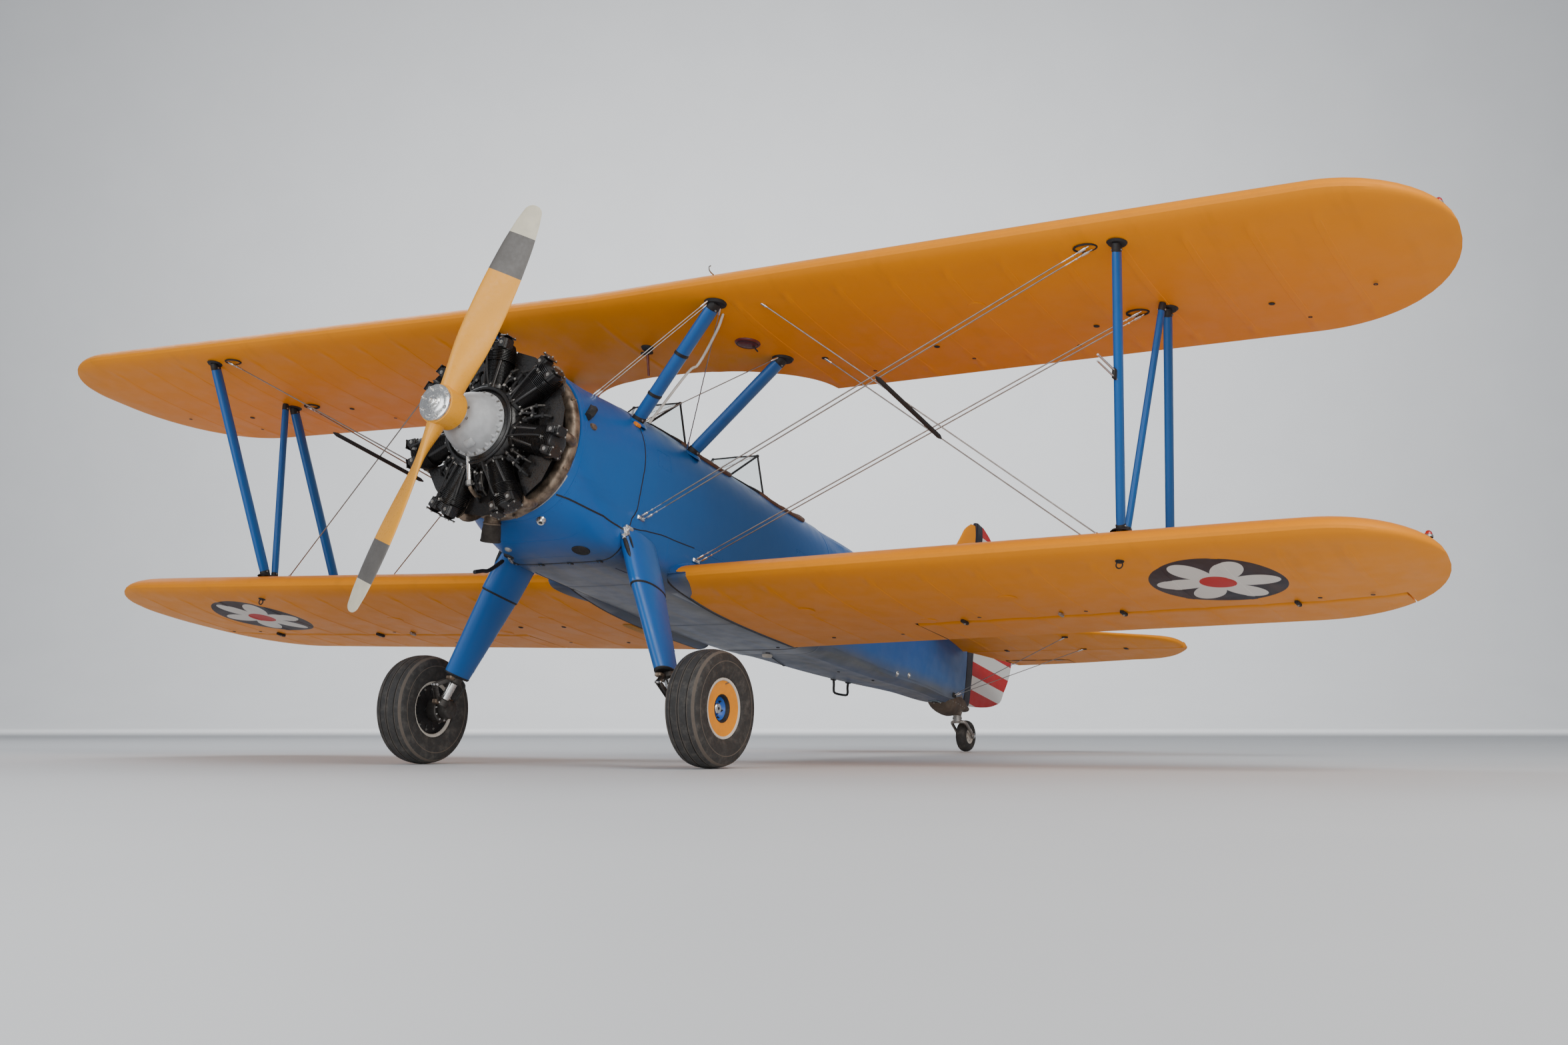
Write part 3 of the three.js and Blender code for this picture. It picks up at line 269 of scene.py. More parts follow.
class Paint:
    """A small helper to write a node material as nested calls."""

    def __init__(self, name, color, roughness, metallic=0.0, **sockets):
        self.material = bpy.data.materials.new(name)
        self.material.use_nodes = True
        self.tree = self.material.node_tree
        self.shader = self.tree.nodes["Principled BSDF"]
        self.color = tuple(color) + (1,)
        self.shader.inputs["Base Color"].default_value = self.color
        self.shader.inputs["Roughness"].default_value = roughness
        self.shader.inputs["Metallic"].default_value = metallic
        for key, value in sockets.items():
            self.shader.inputs[key.replace("_", " ")].default_value = value
        self.roughness = roughness
        self.height = None

    def node(self, kind, **values):
        made = self.tree.nodes.new(kind)
        for key, value in values.items():
            setattr(made, key, value)
        return made

    def link(self, value, socket):
        if isinstance(value, bpy.types.NodeSocket):
            self.tree.links.new(value, socket)
        else:
            socket.default_value = value

    def place(self):
        """The point's place in the aircraft's frame."""
        if not hasattr(self, "_place"):
            mapping = self.node("ShaderNodeMapping")
            self.tree.links.new(self.node("ShaderNodeTexCoord").outputs["Object"], mapping.inputs["Vector"])
            mapping.inputs["Rotation"].default_value = (TILT, 0, 0)
            mapping.inputs["Location"].default_value = -(TURN.transposed() @ OFFSET)
            self._place = mapping.outputs["Vector"]
        return self._place

    def axis(self, which):
        if not hasattr(self, "_axes"):
            split = self.node("ShaderNodeSeparateXYZ")
            self.link(self.place(), split.inputs[0])
            self._axes = split.outputs
        return self._axes[which]

    def math(self, operation, a, b=0.0, c=None):
        made = self.node("ShaderNodeMath", operation=operation)
        self.link(a, made.inputs[0])
        self.link(b, made.inputs[1])
        if c is not None:
            self.link(c, made.inputs[2])
        return made.outputs[0]

    def scaled(self, factors):
        made = self.node("ShaderNodeVectorMath", operation="MULTIPLY")
        self.link(self.place(), made.inputs[0])
        made.inputs[1].default_value = factors
        return made.outputs[0]

    def noise(self, scale, detail=4.0, rough=0.55, stretch=None):
        made = self.node("ShaderNodeTexNoise")
        self.link(self.scaled(stretch) if stretch else self.place(), made.inputs["Vector"])
        made.inputs["Scale"].default_value = scale
        made.inputs["Detail"].default_value = detail
        made.inputs["Roughness"].default_value = rough
        return made.outputs[0]

    def spread(self, value, low, high, to_low=0.0, to_high=1.0):
        """Maps low..high to to_low..to_high, softly and held at both ends."""
        made = self.node("ShaderNodeMapRange")
        made.interpolation_type = "SMOOTHSTEP"
        self.link(value, made.inputs["Value"])
        made.inputs["From Min"].default_value = low
        made.inputs["From Max"].default_value = high
        made.inputs["To Min"].default_value = to_low
        made.inputs["To Max"].default_value = to_high
        return made.outputs[0]

    def mix(self, factor, a, b):
        made = self.node("ShaderNodeMix", data_type="RGBA")
        self.link(factor, made.inputs["Factor"])
        self.link(a if isinstance(a, bpy.types.NodeSocket) else tuple(a)[:3] + (1,), made.inputs[6])
        self.link(b if isinstance(b, bpy.types.NodeSocket) else tuple(b)[:3] + (1,), made.inputs[7])
        return made.outputs[2]

    def set_color(self, value):
        self.link(value, self.shader.inputs["Base Color"])
        return self

    def set_rough(self, value):
        self.link(value, self.shader.inputs["Roughness"])
        return self

    def bump(self, height, distance, strength=1.0):
        made = self.node("ShaderNodeBump")
        self.link(height, made.inputs["Height"])
        made.inputs["Distance"].default_value = distance
        made.inputs["Strength"].default_value = strength
        if self.height is not None:
            self.link(self.height, made.inputs["Normal"])
        self.height = made.outputs[0]
        self.link(self.height, self.shader.inputs["Normal"])
        return self

    def worn(self, amount=0.12, scale=2.2, dirt=(0.05, 0.035, 0.02), base=None, rough=0.12):
        """Uneven colour, faint stains and a roughness that varies with them."""
        base = self.color if base is None else base
        broad = self.spread(self.noise(scale, 5), 0.3, 0.7, 0, amount)
        fine = self.spread(self.noise(scale * 14, 4, 0.7), 0.45, 0.8, 0, amount * 0.7)
        stained = self.mix(self.math("MAXIMUM", broad, fine), base, dirt)
        self.set_color(stained)
        self.set_rough(self.spread(self.noise(scale * 5, 4), 0.3, 0.7, self.roughness,
                                   self.roughness + rough))
        return stained

    def weave(self):
        """The threads of a doped fabric, faint under the paint."""
        turn = 2 * math.pi / THREAD_PITCH
        waves = [self.math("SINE", self.math("MULTIPLY", self.axis(i), turn)) for i in range(3)]
        both = self.math("ADD", self.math("ADD", waves[0], waves[1]), waves[2])
        return self.bump(both, THREAD_HEIGHT, 0.5)


def rosette(paint, base, centre, radius):
    """A plain ornament: a navy disc with a white six-petalled flower and a red centre."""
    x = paint.math("SUBTRACT", paint.math("ABSOLUTE", paint.axis(0)), centre[0])
    y = paint.math("SUBTRACT", paint.axis(1), centre[1])
    far = paint.math("SQRT", paint.math("ADD", paint.math("MULTIPLY", x, x), paint.math("MULTIPLY", y, y)))
    angle = paint.math("ARCTAN2", y, x)
    petal = paint.math("ABSOLUTE", paint.math("COSINE", paint.math("MULTIPLY", angle, 3.0)))
    edge = paint.math("MULTIPLY_ADD", petal, radius * 0.52, radius * 0.40)

    def within(limit):
        inside = paint.math("SUBTRACT", limit, far)
        return paint.spread(inside, -EDGE_SOFTNESS, EDGE_SOFTNESS)

    color = paint.mix(within(radius), base, NAVY)
    color = paint.mix(within(edge), color, WHITE)
    return paint.mix(within(radius * 0.27), color, RED)


def wing_paint(name, marked=None):
    paint = Paint(name, YELLOW, 0.42, Specular_IOR_Level=0.22)
    base = YELLOW
    if marked:
        base = rosette(paint, YELLOW, marked, ROSETTE_RADIUS)
    stained = paint.worn(0.10, 1.3, (0.42, 0.16, 0.02), base, 0.1)
    streaks = paint.spread(paint.noise(9, 4, 0.6, (1, 0.08, 1)), 0.52, 0.8, 0, 0.14)
    paint.set_color(paint.mix(streaks, stained, (0.35, 0.13, 0.015)))
    paint.weave()
    return paint.bump(paint.noise(26, 3, 0.5), 0.0006, 0.5).material


def blue_paint(name, roughness=0.3, fabric=False, hull=False):
    paint = Paint(name, BLUE, roughness, Specular_IOR_Level=0.42)
    stained = paint.worn(0.16, 1.6, (0.02, 0.05, 0.12), None, 0.1)
    oil = paint.spread(paint.noise(7, 5, 0.65, (1, 0.12, 1)), 0.55, 0.8, 0, 0.22)
    color = paint.mix(oil, stained, (0.012, 0.035, 0.09))
    if hull:
        # the belly is painted greyer, in streaks that run aft: partly oil and grime, partly painted
        # reflection of the ground below
        behind = paint.math("MAXIMUM", paint.math("SUBTRACT", paint.axis(1), 3.2), 0.0)
        above = paint.math("ADD", paint.axis(2), paint.math("MULTIPLY", behind, -0.082))
        low = paint.spread(above, -0.53, -0.40, 1, 0)
        aft = paint.spread(paint.axis(1), 0.95, 1.40)
        streak = paint.spread(paint.noise(9, 5, 0.6, (1, 0.07, 1)), 0.3, 0.7, 0.68, 1.0)
        grime_and_reflection_mask = paint.math("MULTIPLY", paint.math("MULTIPLY", low, aft), streak)
        grime_and_reflection_mottle = paint.spread(paint.noise(2.6, 5, 0.6, (1, 0.35, 1)), 0.36, 0.62)
        dust_and_ground_reflection = paint.mix(grime_and_reflection_mottle, (0.100, 0.110, 0.116), (0.050, 0.064, 0.080))
        color = paint.mix(grime_and_reflection_mask, color, dust_and_ground_reflection)
    paint.set_color(color)
    if fabric:
        paint.weave()
    return paint.bump(paint.noise(18, 3, 0.5), 0.0008, 0.4).material


def rudder_paint():
    """A navy band behind the hinge, then level red and white stripes."""
    paint = Paint("rudder_stripes", WHITE, 0.40, Specular_IOR_Level=0.3)
    z, y = paint.axis(2), paint.axis(1)
    saw = paint.math("FRACT", paint.math("DIVIDE", paint.math("SUBTRACT", z, 0.017), 0.234))
    red = paint.math("LESS_THAN", saw, 0.5)
    striped = paint.mix(red, WHITE, RED)
    base = paint.mix(paint.math("LESS_THAN", y, 6.738), striped, NAVY)
    paint.worn(0.10, 1.5, (0.25, 0.16, 0.10), base, 0.1)
    return paint.weave().material


def metal_paint(name, color, roughness, metallic=1.0, scale=30, amount=0.25, dirt=SOOT, **sockets):
    paint = Paint(name, color, roughness, metallic, **sockets)
    paint.worn(amount, scale, dirt, None, 0.18)
    return paint.bump(paint.noise(scale * 6, 3, 0.6), 0.0002, 0.5).material


def plain_paint(name, color, roughness, scale=14, amount=0.15, dirt=(0.03, 0.025, 0.02), **sockets):
    return metal_paint(name, color, roughness, 0.0, scale, amount, dirt, **sockets)


def rubber(name):
    paint = Paint(name, (0.035, 0.034, 0.033), 0.72)
    dusty = paint.spread(paint.noise(16, 5, 0.7), 0.45, 0.75, 0, 0.5)
    paint.set_color(paint.mix(dusty, (0.028, 0.027, 0.026), (0.13, 0.115, 0.10)))
    paint.set_rough(paint.spread(paint.noise(40, 4), 0.3, 0.7, 0.62, 0.85))
    return paint.bump(paint.noise(260, 3, 0.7), 0.0004, 0.6).material


def leather():
    paint = Paint("cockpit_leather", (0.13, 0.055, 0.025), 0.5)
    paint.worn(0.45, 12, (0.045, 0.02, 0.01), None, 0.2)
    cells = paint.node("ShaderNodeTexVoronoi")
    paint.link(paint.place(), cells.inputs["Vector"])
    cells.inputs["Scale"].default_value = 320
    return paint.bump(cells.outputs[0], 0.0006, 0.6).material


YELLOW_FABRIC = wing_paint("wing_yellow")
LOWER_MARKED = wing_paint("wing_yellow_marked_below", LOWER_ROSETTE)
UPPER_MARKED = wing_paint("wing_yellow_marked_above", UPPER_ROSETTE)
BLUE_METAL = blue_paint("blue_metal", 0.28)
# the hull paints carry the greyed belly: partly grime, partly painted reflection of the ground
BLUE_HULL = blue_paint("blue_hull_metal", 0.28, False, True)
BLUE_FABRIC = blue_paint("blue_fabric", 0.36, True, True)
STRIPES = rudder_paint()
BLACK = plain_paint("engine_black", (0.007, 0.007, 0.008), 0.24, 24, 0.35, (0.02, 0.014, 0.008),
                    Specular_IOR_Level=0.6)
TAN_PATCH = plain_paint("tan_patch", (0.52, 0.235, 0.018), 0.6)
GREY_PATCH = plain_paint("grey_patch", (0.30, 0.22, 0.13), 0.6)
TYRE_WORN = plain_paint("tyre_worn", (0.11, 0.090, 0.074), 0.8)
TAUPE = plain_paint("fairing_taupe", (0.125, 0.092, 0.066), 0.62, 9, 0.75, (0.048, 0.038, 0.030))
PALE_PLATE = plain_paint("plate_pale_blue", (0.20, 0.29, 0.34), 0.5, 16, 0.4)
MATT_BLACK = plain_paint("black_matt", (0.009, 0.009, 0.010), 0.55)
GREY_CASE = plain_paint("engine_grey", (0.45, 0.46, 0.47), 0.38, 18, 0.2)
STEEL = metal_paint("steel", (0.42, 0.41, 0.39), 0.34)
POLISHED = metal_paint("polished_metal", (0.78, 0.77, 0.75), 0.14, 1.0, 20, 0.12)
STEEL_DARK = metal_paint("steel_dark", (0.085, 0.08, 0.075), 0.42, 0.8, 18, 0.4)
SOOTY = metal_paint("exhaust_soot", (0.060, 0.050, 0.042), 0.72, 0.35, 14, 0.7, (0.016, 0.013, 0.011))
BRONZE = metal_paint("exhaust_bronze", (0.36, 0.28, 0.21), 0.46, 0.75, 16, 0.85, (0.045, 0.030, 0.020))
BARE = metal_paint("bare_fairing", (0.30, 0.26, 0.22), 0.45, 0.8, 9, 0.4, (0.08, 0.06, 0.045))
TYRE = rubber("tyre_rubber")
WHEEL_YELLOW = plain_paint("wheel_yellow", (0.84, 0.29, 0.004), 0.32, 12, 0.15)
WHEEL_WHITE = plain_paint("wheel_rim_white", (0.66, 0.62, 0.55), 0.35, 12, 0.25)
HUB_BLUE = plain_paint("hub_blue", (0.02, 0.12, 0.50), 0.3, 12, 0.1)
BLADE_YELLOW = plain_paint("blade_yellow", (0.84, 0.36, 0.022), 0.24, 10, 0.1, (0.4, 0.2, 0.03),
                           Specular_IOR_Level=0.45)
BLADE_GREY = plain_paint("blade_grey", (0.13, 0.12, 0.11), 0.34, 10, 0.2)
BLADE_TIP = plain_paint("blade_tip_cream", (0.72, 0.66, 0.50), 0.3, 10, 0.15)
GREEN = plain_paint("cockpit_green", (0.07, 0.12, 0.07), 0.55, 9, 0.4)
DIAL_BLACK = plain_paint("panel_black", (0.014, 0.014, 0.015), 0.5)
LEATHER = leather()
ORANGE_MARK = plain_paint("orange_mark", (0.75, 0.22, 0.01), 0.4)
RED_GLASS = plain_paint("lamp_red", (0.45, 0.01, 0.008), 0.08, Coat_Weight=0.6)
GREEN_GLASS = plain_paint("lamp_green", (0.01, 0.28, 0.07), 0.08, Coat_Weight=0.6)
DARK_RED = plain_paint("gauge_red", (0.12, 0.012, 0.010), 0.3)
WHITE_MARK = plain_paint("dial_marks", (0.75, 0.74, 0.68), 0.5)
RUBBER_BLACK = plain_paint("rubber_black", (0.016, 0.016, 0.016), 0.65)


def glass():
    paint = Paint("windscreen_glass", (0.86, 0.92, 0.93), 0.03, Transmission_Weight=0.95, IOR=1.2)
    smear = paint.spread(paint.noise(30, 4), 0.4, 0.75, 0.02, 0.10)
    return paint.set_rough(smear).material


GLASS = glass()


# Wings
def airfoil(share):
    """Upper and lower surface at a share of the chord, as shares of the chord."""
    camber, peak, thick = 0.02, 0.2, 0.13
    rise = np.where(share < peak, camber / peak**2, camber / (1 - peak) ** 2)
    begin = np.where(share < peak, 0, 1 - 2 * peak)
    line = rise * (begin + 2 * peak * share - share**2)
    full = 0.2969 * np.sqrt(share) - 0.126 * share - 0.3516 * share**2
    half = 5 * thick * (full + 0.2843 * share**3 - 0.1036 * share**4)
    edge = 0.0012 * share
    return line + half + edge, line - half - edge


def planform(wing, x):
    nose = CHORD * TIP_POINT

    def curve(reach):
        past = min(1.0, max(0.0, (x - (wing["half"] - reach)) / reach))
        return 1 - math.sqrt(1 - past**2)

    lead = wing["lead"] + nose * curve(wing["front"])
    return lead, wing["lead"] + CHORD - (CHORD - nose) * curve(wing["rear"])


def chord_plane(wing, x, y):
    rise = x * math.tan(math.radians(wing["dihedral"]))
    return wing["z"] + rise - (y - wing["lead"]) * math.tan(math.radians(wing["incidence"]))


# Shares of the chord, close together round the nose
SHARES = np.concatenate([1 - np.cos(np.linspace(0, 1, 9) * 0.72), np.linspace(0.29, 1, 16)])
RIB_START, RIB_PITCH = 0.95, 0.335
TAPE_HALF = 0.019
# The stretches of the span that carry the marked paint
UPPER_MARK_SPAN, LOWER_MARK_SPAN = (3.2, 4.2), (3.0, 4.1)


def sag(x, rib_start, pitch):
    """How far fabric sinks between ribs (0 at a rib, 1 midway), and whether a rib tape covers it."""
    away = (x - rib_start) % pitch
    near = min(away, pitch - away)
    return math.sin(math.pi * away / pitch) ** 0.8, near < TAPE_HALF


def rib_stations(x0, x1, rib_start, pitch):
    """Spanwise stations that carry each rib's tape and the sag between ribs."""
    stations = {x0, x1}
    first = math.floor((x0 - rib_start) / pitch)
    for k in range(first, math.ceil((x1 - rib_start) / pitch) + 1):
        rib = rib_start + k * pitch
        for d in (-TAPE_HALF - 0.001, -TAPE_HALF + 0.001, TAPE_HALF - 0.001, TAPE_HALF + 0.001):
            stations.add(rib + d)
        for share in (0.15, 0.32, 0.5, 0.68, 0.85):
            stations.add(rib + pitch * share)
    return sorted(x for x in stations if x0 <= x <= x1)


def skin_ring(wing, x, side, rib_start, depth=0.0045, rear=None):
    """One closed ring of the wing, with fabric sag and rib tapes; rear cuts it across."""
    lead, trail = planform(wing, x)
    chord = trail - lead
    sink, tape = sag(x, rib_start, RIB_PITCH)
    y = lead + SHARES * chord
    if rear is not None:
        y = np.minimum(y, rear)
    shares = np.clip((y - lead) / chord, 0, 1)
    top, bottom = airfoil(shares)
    top, bottom = top * chord, bottom * chord
    fabric = np.clip((shares - 0.10) / 0.05, 0, 1) * np.clip((1 - shares) / 0.12, 0, 1)
    fabric *= min(1, chord / 0.9)
    swing = (0.0009 if tape else -depth * sink) * fabric
    base = np.array([chord_plane(wing, x, v) for v in y])
    upper = np.stack([np.full_like(y, x * side), y, base + top + swing], 1)
    lower = np.stack([np.full_like(y, x * side), y, base + bottom - swing * 0.8], 1)
    return np.concatenate([upper, lower[::-1]])


def tip_stations(wing, start):
    tip = wing["half"] - wing["rear"]
    angles = np.radians(np.linspace(0, 85, 16))
    full = math.sin(angles[-1])
    return [x for x in tip + wing["rear"] * np.sin(angles) / full * 0.9992 if x > start]


def wing_stations(wing, root):
    stations = rib_stations(root, wing["half"] - 0.35, RIB_START, RIB_PITCH)
    return stations + tip_stations(wing, stations[-1] + 0.02)


def within_span(ring, span):
    return span[0] < abs(ring[0][0]) < span[1]


def upper_wing(side, label):
    shape = Shape()
    rings = [skin_ring(UPPER, x, side, RIB_START) for x in wing_stations(UPPER, CENTER_HALF + 0.0004)]
    half = len(SHARES)
    shape.loft(rings, lambda r, i: 1 if i < half and within_span(rings[r], UPPER_MARK_SPAN) else 0)
    shape.made(f"upper_wing_skin_{label}", "airframe", [YELLOW_FABRIC, UPPER_MARKED], "wing_fabric",
               [f"upper_wing_{label}"], 30)


def center_section():
    """The middle of the upper wing, cut away in a curve at the back."""
    shape = Shape()
    rings = []
    stations = []
    for side in (-1, 1):
        found = rib_stations(0.0, CENTER_HALF, 0.0, CENTER_HALF / 3)
        extra = list(np.linspace(0.84, CENTER_HALF - 0.012, 8))
        found = sorted(set(found + extra))
        stations += [(x, side) for x in (reversed(found) if side < 0 else found[1:])]
    for x, side in stations:
        reach = max(0.0, 1 - (x / CUTOUT[0]) ** 2)
        rear = UPPER["lead"] + CHORD - CUTOUT[1] * math.sqrt(reach)
        rings.append(skin_ring(UPPER, x, side, 0.0, 0.002, rear=rear))
    shape.loft(rings)
    shape.made("upper_wing_center_skin", "airframe", YELLOW_FABRIC, "wing_fabric", ["upper_wing_center"],
               30)


def lower_wing(side, label):
    shape = Shape()
    bay = AILERON["hinge"] - AILERON["nose"] - AILERON["gap"]
    inner, outer = AILERON["inner"] - 0.008, AILERON["outer"] + 0.010
    stations = [0.366] + wing_stations(LOWER, 0.385)
    stations = sorted([x for x in stations if min(abs(x - inner), abs(x - outer)) > 0.004] + [inner, outer])
    rings = []
    for x in stations:
        open_ring = skin_ring(LOWER, x, side, RIB_START)
        cut_ring = skin_ring(LOWER, x, side, RIB_START, rear=bay)
        if x < inner or x > outer:
            rings.append(open_ring)
        elif x == inner:
            rings += [open_ring, cut_ring]
        elif x == outer:
            rings += [cut_ring, open_ring]
        else:
            rings.append(cut_ring)
    half = len(SHARES)

    def paint(r, i):
        # the bay's rear face behind the aileron gap is painted black: painted shade for the gap
        if i == half - 1 and inner <= abs(rings[r][0][0]) < outer:
            return 2
        return 1 if i >= half and within_span(rings[r], LOWER_MARK_SPAN) else 0

    shape.loft(rings, paint)
    shape.made(f"lower_wing_skin_{label}", "airframe", [YELLOW_FABRIC, LOWER_MARKED, MATT_BLACK],
               "wing_fabric", [f"lower_wing_{label}"], 30)


def aileron(side, label):
    """The aileron: a round nose on its hinge line, then the wing's own section to the trailing edge."""
    shape = Shape()
    hinge = AILERON["hinge"]
    rings = []
    stations = rib_stations(AILERON["inner"], AILERON["outer"] - 0.001, RIB_START, RIB_PITCH)
    stations += [AILERON["outer"]]
    for x in sorted(set(stations + [4.02, 4.2, 4.32])):
        lead, trail = planform(LOWER, x)
        chord = trail - lead
        sink, tape = sag(x, RIB_START, RIB_PITCH)
        ys = np.linspace(hinge + 0.004, trail - 0.001, 12)
        top, bottom = airfoil((ys - lead) / chord)
        base = np.array([chord_plane(LOWER, x, v) for v in ys])
        fade = np.clip((trail - ys) / 0.12, 0, 1) * np.clip((ys - hinge) / 0.05, 0, 1)
        swing = (0.0008 if tape else -0.003 * sink) * fade
        upper = base + top * chord + swing
        lower = base + bottom * chord - swing
        middle = (upper[0] + lower[0]) / 2
        radius = (upper[0] - lower[0]) / 2
        angles = np.radians(np.linspace(90, 270, 9))[1:-1]
        reach = min(radius, AILERON["nose"])
        nose = [(x * side, hinge + reach * math.cos(a), middle + radius * math.sin(a)) for a in angles]
        ring = [(x * side, y, z) for y, z in zip(ys[::-1], upper[::-1])] + nose
        ring += [(x * side, y, z) for y, z in zip(ys, lower)]
        rings.append(np.array(ring))
    n = len(rings[0])
    shape.loft(rings, lambda r, i: 1 if i > n // 2 and within_span(rings[r], LOWER_MARK_SPAN) else 0)
    body = "left_aileron" if side > 0 else "right_aileron"
    shape.made(f"aileron_skin_{label}", body, [YELLOW_FABRIC, LOWER_MARKED], "wing_fabric",
               [f"aileron_{label}"], 30)


# Tail surfaces
TAIL_OUTLINE = np.array([
    (0.060, 5.390, 7.062), (0.300, 5.515, 7.052), (0.800, 5.772, 7.005), (1.300, 5.998, 6.920),
    (1.620, 6.132, 6.855), (1.720, 6.170, 6.790), (1.800, 6.214, 6.705), (1.850, 6.258, 6.640),
    (1.885, 6.312, 6.585), (1.902, 6.370, 6.545), (1.908, 6.425, 6.512),
])
FIN_OUTLINE = np.array([
    (0.240, 5.720), (0.490, 5.912), (0.910, 6.230), (1.090, 6.368), (1.195, 6.452), (1.250, 6.535),
])
RUDDER_OUTLINE = np.array([
    (-0.238, 6.760), (-0.200, 6.985), (-0.110, 7.290), (0.020, 7.405), (0.200, 7.498), (0.340, 7.512),
    (0.560, 7.465), (0.780, 7.375), (0.980, 7.235), (1.140, 7.050), (1.235, 6.895), (1.282, 6.770),
])
TAIL_NOSE, TAIL_GAP = 0.024, 0.032
TAIL_RIB_START, TAIL_RIB_PITCH = 0.3, 0.25
TIP_START, TIP_REACH = 1.79, 0.118
ELEVATOR_ROOT = 0.092
TAB = dict(inner=0.26, outer=0.81, front=6.852)


def eased(table, key, column=1):
    """A smooth curve through the table's rows."""
    xs, ys = table[:, 0], table[:, column]
    slopes = np.gradient(ys, xs)
    k = int(np.clip(np.searchsorted(xs, key) - 1, 0, len(xs) - 2))
    h = xs[k + 1] - xs[k]
    t = (min(max(key, xs[0]), xs[-1]) - xs[k]) / h
    a, b = (1 + 2 * t) * (1 - t) ** 2, t * (1 - t) ** 2
    c, d = t * t * (3 - 2 * t), t * t * (t - 1)
    return a * ys[k] + b * h * slopes[k] + c * ys[k + 1] + d * h * slopes[k + 1]


def flat_ring(place, front, rear, half, round_nose, sink=0.0, tape=False):
    """A thin symmetrical section between front and rear; half(y) is its half thickness."""
    ys = front + (rear - front) * np.concatenate([[0, 0.01, 0.03, 0.07, 0.13], np.linspace(0.2, 1, 9)])
    fade = np.clip((ys - front) / 0.10, 0, 1) * np.clip((rear - ys) / 0.07, 0, 1)
    swing = (0.0007 if tape else -0.0028 * sink) * fade
    thick = np.array([half(y) for y in ys]) + swing
    near = [place(y, t) for y, t in zip(ys, thick)]
    far = [place(y, -t) for y, t in zip(ys[::-1], thick[::-1])]
    nose = [place(front - n, h) for n, h in round_nose]
    return np.array(near + far + nose)


def nose_arc(radius):
    angles = np.radians((-60, -30, 0, 30, 60))
    return [(radius * math.cos(a), radius * math.sin(a)) for a in angles]


def fixed_half(front, rear, top, swell, fall, taper):
    """Half thickness of a fixed surface, full soon behind its nose; the last three numbers shape it."""
    def half(y):
        s = (y - front) / (rear - front)
        return top * min(1, 0.06 + swell * math.sqrt(max(s, 0)) - fall * s) * (1 - taper * s)

    return half


def moving_half(hinge, trail, nose):
    """Half thickness of a control surface, thinning from its nose to the trailing edge."""
    return lambda y: max(0.003, nose * (1 - 0.8 * (y - hinge) / (trail - hinge)))


def tailplane_stations(root):
    """Stations from the root outwards, close together where the tip rounds off."""
    straight = rib_stations(root, TIP_START, TAIL_RIB_START, TAIL_RIB_PITCH)
    return straight + list(TIP_START + TIP_REACH * np.sin(np.radians(np.linspace(8, 90, 14))))


def stabilizer(side, label):
    shape = Shape()
    rear = TAIL_HINGE - TAIL_GAP
    rings = []
    for x in tailplane_stations(0.06):
        front = min(eased(TAIL_OUTLINE, x), rear - 0.02)
        half = fixed_half(front, rear, min(0.030, 0.008 + (rear - front) * 0.12), 1.75, 0.83, 0.12)
        sink, tape = sag(x, TAIL_RIB_START, TAIL_RIB_PITCH)
        place = lambda y, z: vec(x * side, y, TAIL_Z + z)
        rings.append(flat_ring(place, front, rear, half, [], sink, tape))
    shape.loft(rings)
    shape.made(f"stabilizer_skin_{label}", "airframe", YELLOW_FABRIC, "wing_fabric",
               [f"stabilizer_{label}"], 30)


def elevator(side, label):
    shape = Shape()
    rings = []
    for x in tailplane_stations(ELEVATOR_ROOT):
        trail = eased(TAIL_OUTLINE, max(x, 0.3), 2)
        nose = min(TAIL_NOSE, 0.008 + (trail - TAIL_HINGE) * 0.2)
        edge = x - ELEVATOR_ROOT

        def place(y, z):
            # near the root the rows run outwards going aft, clear of the rudder
            lean = max(0.0, 0.34 * max(0.0, y - TAIL_HINGE) * (1 - edge / 0.22))
            return vec((x + lean) * side, y, TAIL_Z + z)

        sink, tape = sag(x, TAIL_RIB_START, TAIL_RIB_PITCH)
        half = moving_half(TAIL_HINGE, trail, nose)
        rings.append(flat_ring(place, TAIL_HINGE, trail, half, nose_arc(nose), sink, tape))
    shape.loft(rings)
    shape.made(f"elevator_skin_{label}", "elevators", YELLOW_FABRIC, "wing_fabric", [f"elevator_{label}"],
               30)


def fin():
    shape = Shape()
    rear = RUDDER_AXIS - TAIL_GAP
    rings = []
    for z in list(np.linspace(0.24, 1.16, 24)) + list(np.linspace(1.17, 1.25, 6)):
        front = eased(FIN_OUTLINE, z)
        half = fixed_half(front, rear, min(0.026, 0.007 + (rear - front) * 0.1), 1.7, 0.8, 0.1)
        sink, tape = sag(z, 0.30, 0.31)
        rings.append(flat_ring(lambda y, x: vec(x, y, z), front, rear, half, [], sink, tape))
    shape.loft(rings)
    shape.made("fin_skin", "airframe", YELLOW_FABRIC, "wing_fabric", ["fin"], 30)


def rudder():
    shape = Shape()
    rings = []
    for z in np.concatenate([np.linspace(-0.238, -0.1, 8), np.linspace(-0.085, 1.14, 60),
                             np.linspace(1.15, 1.282, 10)]):
        trail = eased(RUDDER_OUTLINE, z)
        nose = min(TAIL_NOSE, 0.010 + (trail - RUDDER_AXIS) * 0.08)
        sink, tape = sag(z, 0.02, 0.29)
        half = moving_half(RUDDER_AXIS, trail, nose)
        rings.append(flat_ring(lambda y, x: vec(x, y, z), RUDDER_AXIS, trail, half, nose_arc(nose), sink,
                               tape))
    shape.loft(rings)
    shape.made("rudder_skin", "rudder_surface", STRIPES, "rudder_stripes", ["rudder"], 30)


